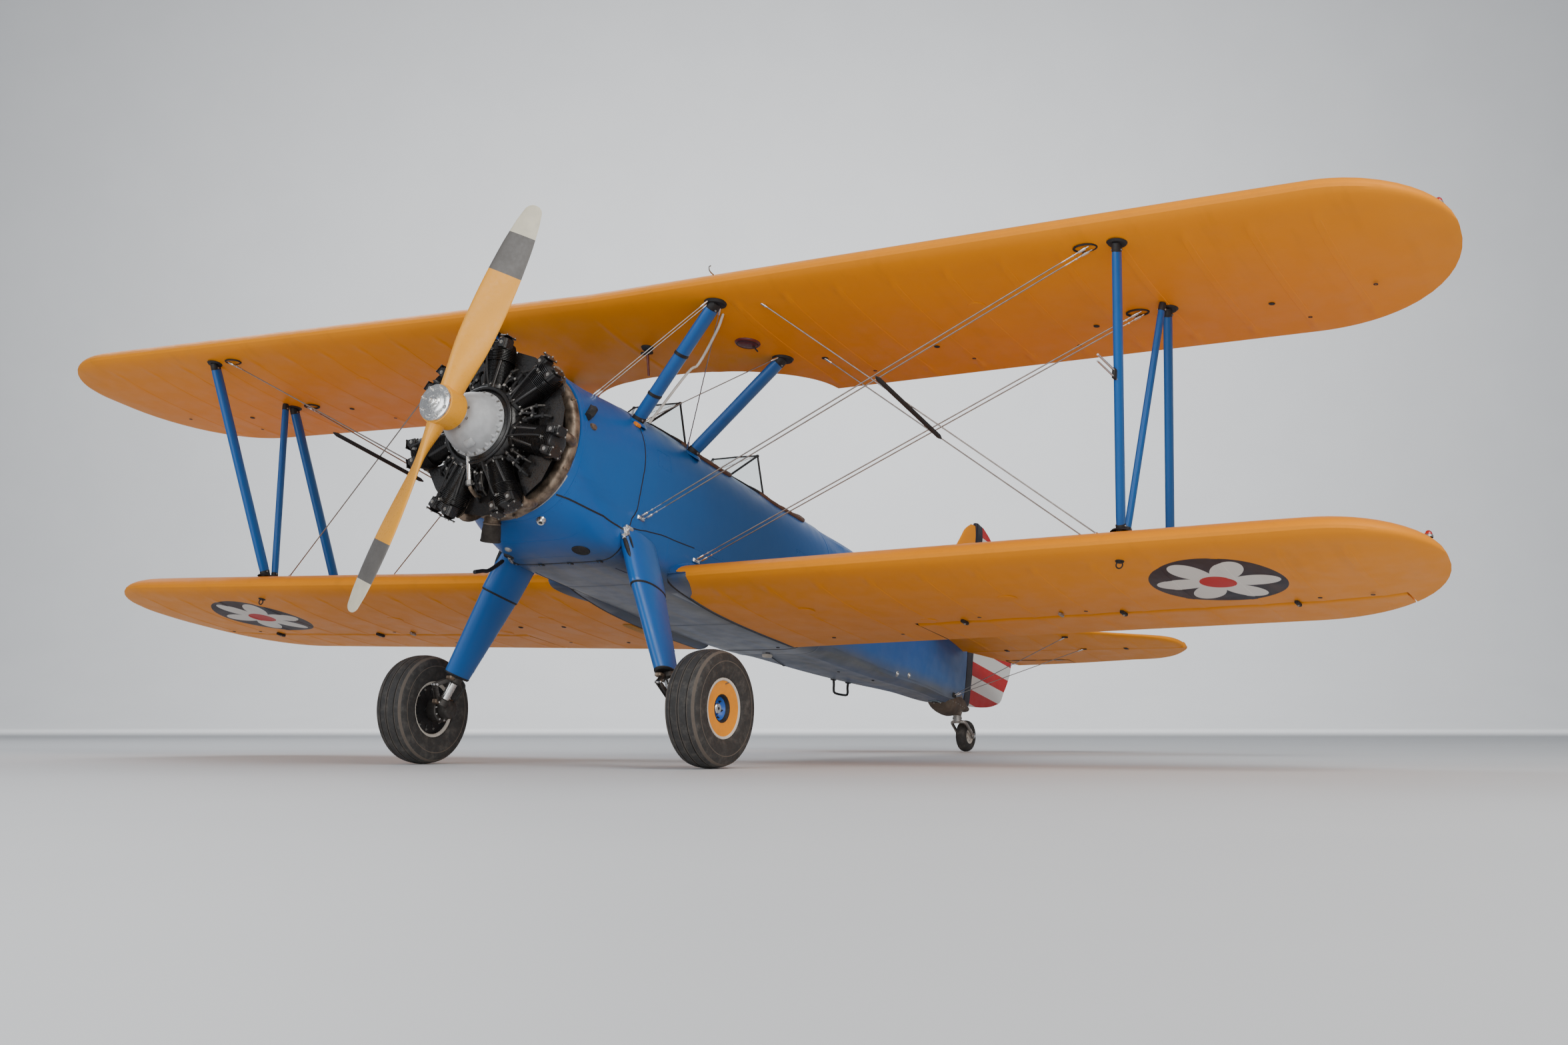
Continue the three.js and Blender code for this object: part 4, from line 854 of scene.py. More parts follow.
# Fuselage sections: y, half width, widest height, rise, depth, upper and lower squareness
SECTIONS = np.array([
    (0.740, 0.448, 0.025, 0.445, 0.455, 2.0, 2.0),
    (1.000, 0.431, 0.030, 0.432, 0.525, 2.0, 4.6),
    (1.300, 0.419, 0.038, 0.437, 0.583, 2.05, 8.0),
    (1.750, 0.408, 0.048, 0.435, 0.602, 2.1, 8.0),
    (2.300, 0.406, 0.050, 0.412, 0.606, 2.1, 8.0),
    (2.900, 0.400, 0.050, 0.392, 0.605, 2.1, 8.0),
    (3.400, 0.390, 0.050, 0.392, 0.592, 2.1, 8.0),
    (3.900, 0.358, 0.048, 0.386, 0.553, 2.1, 8.0),
    (4.400, 0.318, 0.045, 0.390, 0.518, 2.1, 8.0),
    (5.000, 0.257, 0.036, 0.343, 0.460, 2.1, 8.0),
    (5.600, 0.195, 0.030, 0.311, 0.395, 2.1, 7.0),
    (6.250, 0.112, 0.018, 0.285, 0.336, 2.1, 6.0),
    (6.580, 0.045, 0.010, 0.275, 0.262, 2.4, 4.0),
])


COWL_END, FABRIC_START = 1.3752, 3.7
SEAM_TOP, SEAM_BEND = 1.41, -0.39


def section(y):
    return [eased(SECTIONS, y, k) for k in range(1, 7)]


def deck_height(x, y):
    half, wide, up, _, square, _ = section(y)
    share = min(1.0, abs(x) / half)
    return wide + up * (1 - share**square) ** (1 / square)


def skin_point(y, angle, out=0.0):
    """A point of the fuselage skin; angle is 0 to port, 90 degrees on top."""
    half, wide, up, down, over, under = section(y)
    c, n = math.cos(angle), math.sin(angle)
    rise, square = (up, over) if n >= 0 else (down, under)
    x = signed_power(c, 2 / square) * (half + out)
    return vec(x, y, wide + signed_power(n, 2 / square) * (rise + out))


def angle_at(y, z, side=1):
    """The skin angle at a height."""
    _, wide, up, down, over, under = section(y)
    rise, square = (up, over) if z >= wide else (down, under)
    n = min(1.0, abs(z - wide) / rise) ** (square / 2)
    angle = math.copysign(math.asin(n), z - wide)
    return angle if side > 0 else math.pi - angle


def skin_at(y, z):
    return skin_point(y, angle_at(y, z))


def skin_normal(y, angle):
    a, b = skin_point(y, angle - 0.02), skin_point(y, angle + 0.02)
    c, d = skin_point(y - 0.02, angle), skin_point(y + 0.02, angle)
    n = unit(np.cross(d - c, b - a))
    outward = skin_point(y, angle) - vec(0, y, section(y)[1])
    return n if n.dot(outward) > 0 else -n


def fixed(y, z, side):
    """A place on the fuselage's side, and its normal."""
    a = angle_at(y, z, side)
    return skin_point(y, a), skin_normal(y, a)


def facet_ring(y, out=0.0, steps=4, blend=1.0, sink=0.0022):
    """A closed ring of the fabric part: flats between stringers, sagging slightly inwards."""
    _, _, _, _, _, under = section(y)
    shares = [0.24, 0.47, 0.68, 0.86]
    sides = [math.asin(s ** (under / 2)) for s in shares]
    flats = [math.acos(s ** (under / 2)) for s in (0.62, 0.3)]
    half = [math.radians(a) for a in (90, 68, 47, 26, 8)] + [-a for a in sides]
    half += [-math.pi / 4] + [-a for a in flats] + [-math.pi / 2]
    keys = half + [-math.pi - a for a in half[-2:0:-1]]
    ring = []
    for i, a in enumerate(keys):
        b = keys[(i + 1) % len(keys)]
        if i == len(keys) - 1:
            b -= 2 * math.pi
        p, q = skin_point(y, a, out), skin_point(y, b, out)
        for t in np.linspace(0, 1, steps, endpoint=False):
            flat = p + (q - p) * t
            round_ = skin_point(y, a + (b - a) * t, out)
            inward = unit(vec(0, y, section(y)[1] * 0.5) - flat) * sink * 4 * t * (1 - t)
            ring.append(flat * blend + round_ * (1 - blend) + inward * blend)
    return np.array(ring)


def skin_loft(y0, y1, step, inset=0.0, count=96):
    ys = np.linspace(y0, y1, max(2, round((y1 - y0) / step) + 1))
    angles = np.linspace(0, 2 * math.pi, count, endpoint=False)
    return [np.array([skin_point(y, a, -inset) for a in angles]) for y in ys]


def skin_strip(shape, path, width=0.012, height=0.0012, paint=0):
    """A low strip laid on the skin along (y, angle) points."""
    fine = []
    for (y0, a0), (y1, a1) in zip(path, path[1:]):
        n = max(2, round(max(abs(y1 - y0) / 0.03, abs(a1 - a0) / 0.03)))
        fine += [(y0 + (y1 - y0) * t, a0 + (a1 - a0) * t) for t in np.linspace(0, 1, n, endpoint=False)]
    fine.append(path[-1])
    places = [skin_point(y, a) for y, a in fine]
    rings = []
    for i, (y, a) in enumerate(fine):
        along = unit(places[min(i + 1, len(places) - 1)] - places[max(i - 1, 0)])
        n = skin_normal(y, a)
        side = unit(np.cross(along, n)) * width / 2
        p = places[i]
        low, top, slim = -0.002 * n, height * n, side * 0.8
        rings.append(np.array([p - side + low, p - side, p - slim + top, p + slim + top, p + side,
                               p + side + low]))
    shape.loft(rings, paint)


def carved(obj, cutters):
    """Cuts the cutters out of obj for good, keeping their paint inside."""
    for c in cutters:
        cut = obj.modifiers.new("cut", "BOOLEAN")
        cut.operation, cut.solver, cut.object = "DIFFERENCE", "EXACT", c
        cut.material_mode = "TRANSFER"
    graph = bpy.context.evaluated_depsgraph_get()
    mesh = bpy.data.meshes.new_from_object(obj.evaluated_get(graph))
    obj.modifiers.clear()
    old = obj.data
    obj.data = mesh
    bpy.data.meshes.remove(old)
    for c in cutters:
        data = c.data
        bpy.data.objects.remove(c)
        bpy.data.meshes.remove(data)
    bm = bmesh.new()
    bm.from_mesh(mesh)
    bmesh.ops.remove_doubles(bm, verts=bm.verts, dist=CUT_WELD)
    for e in bm.edges:
        e.smooth = not (len(e.link_faces) == 2 and e.calc_face_angle(0) > math.radians(35))
    bm.to_mesh(mesh)
    bm.free()


def cutter(shape, name, material):
    """A shape turned into a bare mesh object in the row frame, used for cutting only."""
    bm = shape.gathered(CUT_WELD)
    bmesh.ops.recalc_face_normals(bm, faces=bm.faces)
    return linked(name, bm, [material])


COCKPITS = {
    "front": dict(start=1.985, end=2.585, panel=1.930, seat=2.440),
    "rear": dict(start=2.925, end=3.530, panel=2.870, seat=3.385),
}
OPENING_HALF, OPENING_ROUND = 0.275, 0.150
FLOOR, PAN_RISE = -0.395, 0.19


def opening_outline(pit, grow=0.0, steps=8):
    """Plan points of a cockpit opening, counter-clockwise, corners rounded."""
    half, start, end = OPENING_HALF + grow, pit["start"] - grow, pit["end"] + grow
    r = OPENING_ROUND + grow
    corners = [(half - r, start + r, -90), (half - r, end - r, 0), (-half + r, end - r, 90),
               (-half + r, start + r, 180)]
    points = []
    for x, y, a in corners:
        for t in np.radians(np.linspace(a, a + 90, steps)):
            points.append((x + r * math.cos(t), y + r * math.sin(t)))
    fine = []
    for i, p in enumerate(points):
        q = points[(i + 1) % len(points)]
        n = max(1, round(math.dist(p, q) / 0.03))
        fine += [(p[0] + (q[0] - p[0]) * t,
                  p[1] + (q[1] - p[1]) * t) for t in np.linspace(0, 1, n, endpoint=False)]
    return fine


def forward_fuselage():
    shape = Shape()
    shape.loft(skin_loft(COWL_END + 0.0001, FABRIC_START - 0.0004, 0.07))
    body = shape.made("forward_fuselage_skin", "airframe", [BLUE_HULL, GREEN], "blue_metal",
                      ["forward_fuselage"], 40)
    room = Shape()
    rings = skin_loft(1.845, 3.635, 0.09, 0.033, 72)
    room.loft([np.stack([r[:, 0], r[:, 1], np.maximum(r[:, 2], -0.455)], 1) for r in rings])
    cutters = [cutter(room, "cabin_room", GREEN)]
    for pit in COCKPITS.values():
        hole = Shape()
        plan = opening_outline(pit)
        hole.loft([np.array([(x, y, z) for x, y in plan]) for z in (0.10, 0.70)])
        cutters.append(cutter(hole, "cockpit_hole", GREEN))
    carved(body, cutters)


def nose_cowl():
    shape = Shape()
    angles = np.linspace(0, 2 * math.pi, 96, endpoint=False)
    lip = [(0.7600, 0.060), (0.7440, 0.040), (0.7412, 0.026), (0.7410, 0.010), (0.7440, 0.002),
           (0.7500, 0.0)]
    rings = [np.array([skin_point(max(y, 0.74), a, -inset) for a in angles]) for y, inset in lip]
    for ring, (y, _) in zip(rings, lip):
        ring[:, 1] = y
    rings += skin_loft(0.77, COWL_END - 0.0001, 0.05)
    shape.loft(rings, lambda r, i: 1 if r < 2 else 2 if r < 5 and 56 < i < 88 else 0)
    shape.made("nose_cowl_skin", "airframe", [BLUE_HULL, MATT_BLACK, STEEL], "blue_metal", ["nose_cowl"],
               40)


def rear_fuselage():
    shape = Shape()
    rings = []
    frame_pitch = 0.47
    for y in list(np.linspace(FABRIC_START + 0.0008, 6.50, 58)) + [6.53, 6.56, 6.576]:
        bay = (y - FABRIC_START) % frame_pitch
        sink = 0.0028 * math.sin(math.pi * bay / frame_pitch) ** 0.7
        blend = min(1.0, (y - FABRIC_START) / 0.25)
        rings.append(facet_ring(y, 0.0, 4, blend, sink))
    rings.append(facet_ring(6.5796, -0.006, 4, 1.0, 0))
    shape.loft(rings)
    shape.made("rear_fuselage_skin", "airframe", BLUE_FABRIC, "fuselage_fabric", ["rear_fuselage"], 26)


def screws_along(shape, path, pitch=0.055, radius=0.0035, paint=0, offset=0.0):
    """Screw heads spaced along (y, angle) points of the skin."""
    for (y0, a0), (y1, a1) in zip(path, path[1:]):
        p, q = skin_point(y0, a0), skin_point(y1, a1)
        n = max(1, round(np.linalg.norm(q - p) / pitch))
        for t in (np.arange(n) + 0.5) / n:
            y, a = y0 + (y1 - y0) * t + offset, a0 + (a1 - a0) * t
            shape.rivet(skin_point(y, a), skin_normal(y, a), radius, 0.0014, 6, paint)


def side_path(points, side=1):
    """Turns (y, z) points on the fuselage's side into (y, angle) points."""
    return [(y, angle_at(y, z, side)) for y, z in points]


def under_angle(x, y):
    """The skin angle of a place under the belly."""
    half, *_, square = section(y)
    a = -math.acos(min(1.0, abs(x) / half) ** (square / 2))
    return a if x >= 0 else -math.pi - a


def on_belly(x, y):
    """A place under the belly, and its normal."""
    a = under_angle(x, y)
    return skin_point(y, a), skin_normal(y, a)


def seam_y(z):
    """The cowl's rear seam stands upright on top and leans forward towards the belly."""
    if z > 0:
        return SEAM_TOP
    if z > SEAM_BEND:
        return SEAM_TOP - 0.09 * z / SEAM_BEND
    return max(1.285, 1.32 + 0.30 * (z - SEAM_BEND))


def firewall_seam():
    """The cowl's rear seam as (y, angle) points."""
    path = []
    for a in np.linspace(0, 2 * math.pi, 81):
        y = 1.37
        for _ in range(4):
            y = seam_y(skin_point(y, a)[2])
        path.append((y, a))
    return path


def fuselage_seams():
    """Joints, screw rows, tabs and access plates of the metal skin."""
    seams = Shape()
    ring = lambda y, a0, a1, n=40: [(y, math.radians(a)) for a in np.linspace(a0, a1, n)]
    skin_strip(seams, firewall_seam(), 0.0085, 0.0016)
    skin_strip(seams, [(y + 0.020, a) for y, a in firewall_seam()], 0.004, 0.0009, 1)
    skin_strip(seams, ring(0.790, 0, 359), 0.006, 0.0009, 1)
    skin_strip(seams, ring(FABRIC_START, 0, 359), 0.020, 0.0011, 1)
    skin_strip(seams, ring(3.490, -176, -4), 0.010, 0.0013)
    skin_strip(seams, ring(1.750, -175, -5), 0.005, 0.0009, 1)
    skin_strip(seams, ring(2.72, -175, -5), 0.005, 0.0009, 1)
    for side in (1, -1):
        front = [(0.757, -0.311), (0.82, -0.321), (0.94, -0.337), (1.08, -0.343), (1.22, -0.358),
                 (1.34, -0.362)]
        skin_strip(seams, side_path(front, side), 0.0105, 0.0018)
        mid = [(1.36, -0.330), (1.50, -0.307), (1.66, -0.284), (1.80, -0.277), (2.02, -0.263)]
        skin_strip(seams, side_path(mid, side), 0.007, 0.0014)
        rear = [(2.02, -0.263), (2.6, -0.255), (3.1, -0.25), (3.49, -0.25)]
        skin_strip(seams, side_path(rear, side), 0.006, 0.0010, 1)
        for path in (front, mid, rear):
            screws_along(seams, side_path([(y, z + 0.016) for y, z in path], side), 0.06, 0.0036, 1)
        low = [(y, under_angle(x * side, y)) for x, y in ((0.292, 1.42), (0.308, 1.62), (0.330, 1.86))]
        skin_strip(seams, low, 0.006 if side < 0 else 0.004, 0.0012)
    screws_along(seams, [(y + 0.026, a) for y, a in firewall_seam()], 0.06, 0.004, 1)
    screws_along(seams, ring(0.790, 0, 350, 12), 0.07, 0.004, 1, 0.014)
    screws_along(seams, ring(FABRIC_START, 0, 350, 12), 0.09, 0.0035, 1)
    for y in (1.0, 1.2):
        path = [(y, math.radians(-90 + d)) for d in (-30, 0, 30)]
        skin_strip(seams, path, 0.005, 0.0009, 1)
    # tabs that hold the cowl along the belly seam
    for x in (0.270, 0.060, -0.150, -0.335):
        y = 1.292
        tab, n = on_belly(x, y)
        seams.block(tab + n * 0.002, (0.034, 0.030, 0.006), 0.002, [PORT, np.cross(n, PORT), n])
        seams.bolt(tab + n * 0.005, n, 0.0055, 0.004, 1)
    # access plates on the sides, with their own screws
    for y, z, wide, tall, side in ((1.62, 0.16, 0.07, 0.05, 1), (1.62, 0.16, 0.07, 0.05, -1),
                                   (3.30, 0.02, 0.09, 0.05, 1), (3.30, 0.02, 0.09, 0.05, -1)):
        corners = [(-wide, -tall), (wide, -tall), (wide, tall), (-wide, tall), (-wide, -tall)]
        path = side_path([(y + dy, z + dz) for dy, dz in corners], side)
        for pair in zip(path, path[1:]):
            skin_strip(seams, pair, 0.004, 0.0008, 1)
        inside = side_path([(y + dy * 0.82, z + dz * 0.8) for dy, dz in corners], side)
        screws_along(seams, inside, 0.05, 0.003, 1)
    seams.made("fuselage_seams_and_screws", "airframe", [MATT_BLACK, BLUE_HULL], "blue_metal")


def cowl_fittings(fittings):
    """A drain, a union, an outlet and a scoop low on the cowl, and the breather on its port side."""
    place, n = on_belly(0.244, 1.140)
    fittings.turned([(0.0, 0.0008), (0.044, 0.0008), (0.045, 0.003), (0.050, 0.004), (0.053, 0.002),
                     (0.054, -0.003)],
                    n, place, 36, 0)
    place, n = on_belly(0.191, 0.820)
    fittings.turned([(0.0, 0.010), (0.009, 0.010), (0.011, 0.020), (0.019, 0.021), (0.026, 0.012),
                     (0.031, -0.004)],
                    n, place, 28, 1)
    fittings.turned([(0.0, 0.0115), (0.0093, 0.0115), (0.0096, 0.009)], n, place, 28, 0)
    place, n = on_belly(-0.235, 1.080)
    fittings.turned([(0.0, 0.016), (0.010, 0.014), (0.018, 0.008), (0.024, -0.003)], n, place, 24, 2)
    place, n = on_belly(-0.309, 1.180)
    fittings.turned([(0.0, 0.004), (0.024, 0.004), (0.028, 0.008), (0.034, -0.003)], n, place, 24, 0)
    path = [on_belly(-0.309 - 0.070 * t, 1.190 + 0.130 * t) for t in np.linspace(0, 1, 6)]
    fittings.tube([q + m * 0.004 for q, m in path], [0.010, 0.012, 0.012, 0.012, 0.011, 0.008], 10, 2)
    # a breather on the cowl's port side: a brown boss with a black curved wedge above it
    place, n = fixed(0.86, 0.111, 1)
    up = unit(np.cross(n, AFT) * (1 if np.cross(n, AFT)[2] > 0 else -1))
    for out, grow in ((0.004, 1.0), (0.010, 0.8)):
        rim = loop(place + n * out, AFT * 0.032 * grow, up * 0.019 * grow)[:-1]
        base = [q - n * (out + 0.004) for q in rim]
        fittings.loft([np.array(base), np.array(rim)], 3)
    spine = [fixed(0.795 + 0.098 * t, 0.145 + 0.095 * t, 1) for t in np.linspace(0, 1, 7)]
    rings = []
    for k, (q, m) in enumerate(spine):
        tall = 0.010 + 0.042 * math.sin(math.pi * min(1, (k + 0.8) / 6.4)) ** 0.8
        fore = unit(vec(0, 0.72, 0.69) - m * vec(0, 0.72, 0.69).dot(m))
        wide = np.cross(m, fore)
        outline = ((-0.006, 0.022), (tall * 0.6, 0.020), (tall, 0.008), (tall, -0.008),
                   (tall * 0.6, -0.020), (-0.006, -0.022))
        rings.append(np.array([q + m * rise + wide * across for rise, across in outline]))
    fittings.loft(rings, 0)
    # the filler cap on top of the cowl
    top = vec(0.0, 1.12, deck_height(0, 1.12))
    fittings.turned([(0.0, 0.016), (0.030, 0.014), (0.042, 0.008), (0.046, 0.0), (0.048, -0.004)], UP, top,
                    24, 1)
    for side in (1, -1):
        fittings.bolt(top + vec(0.028 * side, 0, 0.012), UP, 0.006, 0.004, 1)


def belly_fittings(fittings):
    """The hoop, the white ring with its wire and the small plates of the belly."""
    feet = [on_belly(-0.200, 4.88)[0], on_belly(-0.165, 5.04)[0]]
    a, d = feet[0] + vec(0, 0, 0.01), feet[1] + vec(0, 0, 0.01)
    b, c = feet[0] + vec(0.004, 0.020, -0.088), feet[1] + vec(0.004, -0.010, -0.094)
    hoop = [a, (a + b) / 2, b + vec(0, -0.010, 0.020), b + vec(0, 0.016, -0.006),
            c + vec(0, -0.016, -0.006), c + vec(0, 0.010, 0.020), (c + d) / 2, d]
    fittings.tube(bent(hoop, 3), 0.009, 10, 0)
    for p in feet:
        fittings.turned([(0, 0.004), (0.022, 0.004), (0.024, -0.004)], -UP, p, 14, 0)
    # a white ring on the belly with the wire that leads aft from it
    aerial, n = on_belly(-0.050, 3.693)
    fittings.turned([(0.020, -0.003), (0.019, 0.010), (0.023, 0.018), (0.031, 0.018), (0.036, 0.010),
                     (0.037, -0.004)],
                    n, aerial, 32, 4)
    fittings.turned([(0, 0.0035), (0.0200, 0.0030), (0.0205, -0.002)], n, aerial, 24, 2)
    wire = [aerial + n * 0.012]
    for t in np.linspace(0, 1, 8):
        wire.append(on_belly(-0.050 - 0.150 * t, 3.72 + 0.446 * t)[0] + vec(0, 0, -0.004))
    fittings.tube(wire, 0.0028, 6, 0)
    for x, y, r in ((0.0, 3.62, 0.020), (-0.200, 4.166, 0.014), (0.08, 4.46, 0.012), (0.11, 4.92, 0.012),
                    (0.20, 3.42, 0.014)):
        place, n = on_belly(x, y)
        fittings.turned([(0, 0.004), (r * 0.8, 0.003), (r, -0.003)], n, place, 16, 0)


def side_fittings(fittings):
    """Bright plugs, tail steps and the footholds below the cockpits."""
    for y, z in ((5.04, -0.356), (5.26, -0.318)):
        place, n = fixed(y, z, 1)
        fittings.turned([(0, 0.010), (0.007, 0.009), (0.010, 0.004), (0.020, 0.003), (0.023, -0.003)], n,
                        place, 18, lambda r, i: 1 if r < 2 else 2)
    for side in (1, -1):
        for y, z in ((5.02, 0.02), (5.12, -0.03)):
            place, n = fixed(y, z, side)
            fittings.block(place + n * 0.003, (0.010, 0.050, 0.014), 0.003, [n, AFT, np.cross(n, AFT)], 2)
        # steps: an opening with a pressed rim below each cockpit
        for y, z in ((2.62, -0.30), (3.60, -0.28)):
            place, n = fixed(y, z, side)
            up = unit(np.cross(n, AFT))
            fittings.tube(loop(place + n * 0.002, AFT * 0.075, up * 0.045), 0.006, 8, 0, False)


def fuselage_details():
    fuselage_seams()
    fittings = Shape()
    cowl_fittings(fittings)
    belly_fittings(fittings)
    side_fittings(fittings)
    fittings.made("fuselage_fittings", "airframe", [MATT_BLACK, POLISHED, STEEL, BRONZE, WHEEL_WHITE],
                  "steel", (), 35)


# Cockpits
def coaming(label, pit):
    """A stuffed leather roll round a cockpit opening."""
    plan = opening_outline(pit, 0.004, 9)
    shape = Shape()
    count = len(plan)
    rings = []
    for i, (x, y) in enumerate(plan):
        x0, y0 = plan[i - 1]
        x1, y1 = plan[(i + 1) % count]
        p = vec(x, y, deck_height(x, y) + 0.001)
        along = unit(vec(x1, y1, deck_height(x1, y1)) - vec(x0, y0, deck_height(x0, y0)))
        out = unit(np.cross(along, UP))
        up = np.cross(out, along)
        fat = 1 + 0.07 * math.sin(i * 1.9) + 0.05 * math.sin(i * 0.7)
        angles = np.arange(14) * 2 * math.pi / 14
        seam = 1 - 0.16 * np.exp(-((angles - 0.2) ** 2) / 0.02)
        wide, tall = np.cos(angles) * seam * 0.020 * fat, np.sin(angles) * seam * 0.016 * fat
        rings.append(p + np.outer(wide, out) + np.outer(tall, up))
    rings.append(rings[0])
    shape.loft(rings, 0, False)
    roll = shape.made(f"{label}_cockpit_coaming", "airframe", LEATHER, "cockpit_green", (), 60)


def bucket_outline(y, z, half, wall, back, t):
    """Points across the seat: a flat pan with sides turned up, or turned forward on the back part."""
    points = []
    for u in (-1, -0.97, -0.9, -0.75, -0.4, 0, 0.4, 0.75, 0.9, 0.97, 1):
        lift = wall * max(0, (abs(u) - 0.72) / 0.28) ** 2
        points.append(vec(u * half, y - lift * 0.55 * back + t * back,
                          z + lift * (1 - back) - t * (1 - back)))
    return points


def pad_rings(place):
    """Rings of a stuffed pad; place takes a share along it, its fullness and a point of the outline."""
    rings = []
    for v in np.linspace(-1, 1, 15):
        puff = (1 - abs(v) ** 4) ** 0.5
        rings.append(np.array([place(v, puff, c, s) for c, s in squared_circle(28, 0.5, 0.8)]))
    return rings


def cockpit_seat(label, seat):
    pan, top = FLOOR + PAN_RISE, FLOOR + 0.69
    front, rear = seat - 0.230, seat + 0.160
    shell = Shape()
    # the bucket: a curved sheet over sections from the front lip up the back
    path = [(front, pan + 0.075, 0.195, 0.055), (front + 0.02, pan + 0.04, 0.198, 0.09),
            (seat - 0.1, pan + 0.025, 0.2, 0.15), (rear - 0.08, pan + 0.03, 0.2, 0.24),
            (rear - 0.025, pan + 0.08, 0.2, 0.27), (rear - 0.008, pan + 0.22, 0.195, 0.16),
            (rear + 0.006, top - 0.08, 0.182, 0.06), (rear + 0.016, top, 0.165, 0.02)]
    rings = []
    for k, place in enumerate(path):
        back = min(1.0, max(0.0, (k - 3) / 2))
        rings.append(np.array(bucket_outline(*place, back, 0) + bucket_outline(*place, back, 0.006)[::-1]))
    shell.loft(rings)
    for side in (-1, 1):
        for y in (front + 0.06, rear - 0.06):
            shell.rod(vec(side * 0.150, y, FLOOR + 0.0006), vec(side * 0.150, y, pan + 0.024), 0.013,
                      sides=14)
            shell.turned([(0, 0.006), (0.026, 0.005), (0.028, 0.0006)], UP, vec(side * 0.15, y, FLOOR), 16)
        shell.rod(vec(side * 0.15, front + 0.05, FLOOR + 0.08), vec(side * 0.15, rear - 0.05, FLOOR + 0.08),
                  0.009)
    shell.made(f"{label}_bucket", "airframe", GREEN, "cockpit_green", [f"{label}_seat"])

    def on_pan(v, puff, c, s):
        x, y = c * 0.165 * (0.94 + 0.06 * puff), seat - 0.045 + v * 0.165
        dimple = 1 - 0.10 * math.cos(x * 55) * math.cos(y * 60)
        return vec(x, y, pan + 0.062 + s * 0.030 * puff * dimple)

    def on_back(v, puff, c, s):
        z = pan + 0.30 + v * 0.16
        return vec(c * 0.150, rear - 0.034 + (z - pan) * 0.03 + s * 0.020 * puff, z)

    cushion = Shape()
    cushion.loft(pad_rings(on_pan))
    cushion.made(f"{label}_seat_cushion", "airframe", LEATHER, "cockpit_green", (), 60)
    pad = Shape()
    pad.loft(pad_rings(on_back))
    pad.made(f"{label}_back_pad", "airframe", LEATHER, "cockpit_green", (), 60)


def cockpit_panel(label, y):
    board = Shape()
    edge = [skin_point(y, a, -0.037) for a in np.linspace(math.radians(10), math.radians(170), 41)]
    edge = [p for p in edge if p[2] > 0.124]
    edge = [vec(edge[0][0], y, 0.122)] + edge + [vec(edge[-1][0], y, 0.122)]
    rows = [(0.0006, 0.003), (0.0022, 0.0), (0.0062, 0.0), (0.0078, 0.003)]
    middle = vec(0, y, 0.25)
    board.loft([np.array([vec(*(p + unit(middle - p) * inset)) + vec(0, dy, 0) for p in edge]) for dy,
                inset in rows], 0)
    face = y + 0.0078
    dials = [(-0.20, 0.300, 0.040), (-0.10, 0.345, 0.040), (0.0, 0.365, 0.044), (0.10, 0.345, 0.040),
             (0.20, 0.300, 0.040), (-0.145, 0.235, 0.030), (-0.05, 0.255, 0.034), (0.05, 0.255, 0.034),
             (0.145, 0.235, 0.030)]
    towards = lambda a: vec(math.cos(a), 0, math.sin(a))
    for k, (x, z, r) in enumerate(dials):
        c = vec(x, face, z)
        bezel = [(r * 0.82, 0.0), (r * 0.84, 0.007), (r * 0.92, 0.010), (r, 0.006), (r, -0.001)]
        board.turned(bezel, AFT, c, 32, 1)
        board.turned([(0, 0.0018), (r * 0.83, 0.0018), (r * 0.84, -0.001)], AFT, c, 32, 0)
        for t in range(12):
            d = towards(t * math.pi / 6)
            size = (r * 0.16, 0.0012, 0.0022)
            board.block(c + d * r * 0.70 + vec(0, 0.0024, 0), size, 0.0003, [d, AFT, np.cross(d, AFT)], 2)
        d = towards(1.1 + k * 1.37)
        size = (r * 0.70, 0.0012, 0.0028)
        board.block(c + d * r * 0.26 + vec(0, 0.0036, 0), size, 0.0003, [d, AFT, np.cross(d, AFT)], 2)
        board.turned([(0, 0.0056), (0.004, 0.005), (0.005, 0.001)], AFT, c, 12, 0)
        for t in range(4):
            board.rivet(c + towards(math.pi / 4 + t * math.pi / 2) * r * 1.22, AFT, 0.003, 0.0015, 6, 1)
    for x in (-0.24, -0.21, 0.21, 0.24):
        board.rod(vec(x, face - 0.001, 0.185), vec(x, face + 0.018, 0.190), 0.004, paint=1)
    board.made(f"{label}_panel_with_dials", "airframe", [DIAL_BLACK, STEEL, WHITE_MARK], "panel_black",
               [f"{label}_instrument_panel"])


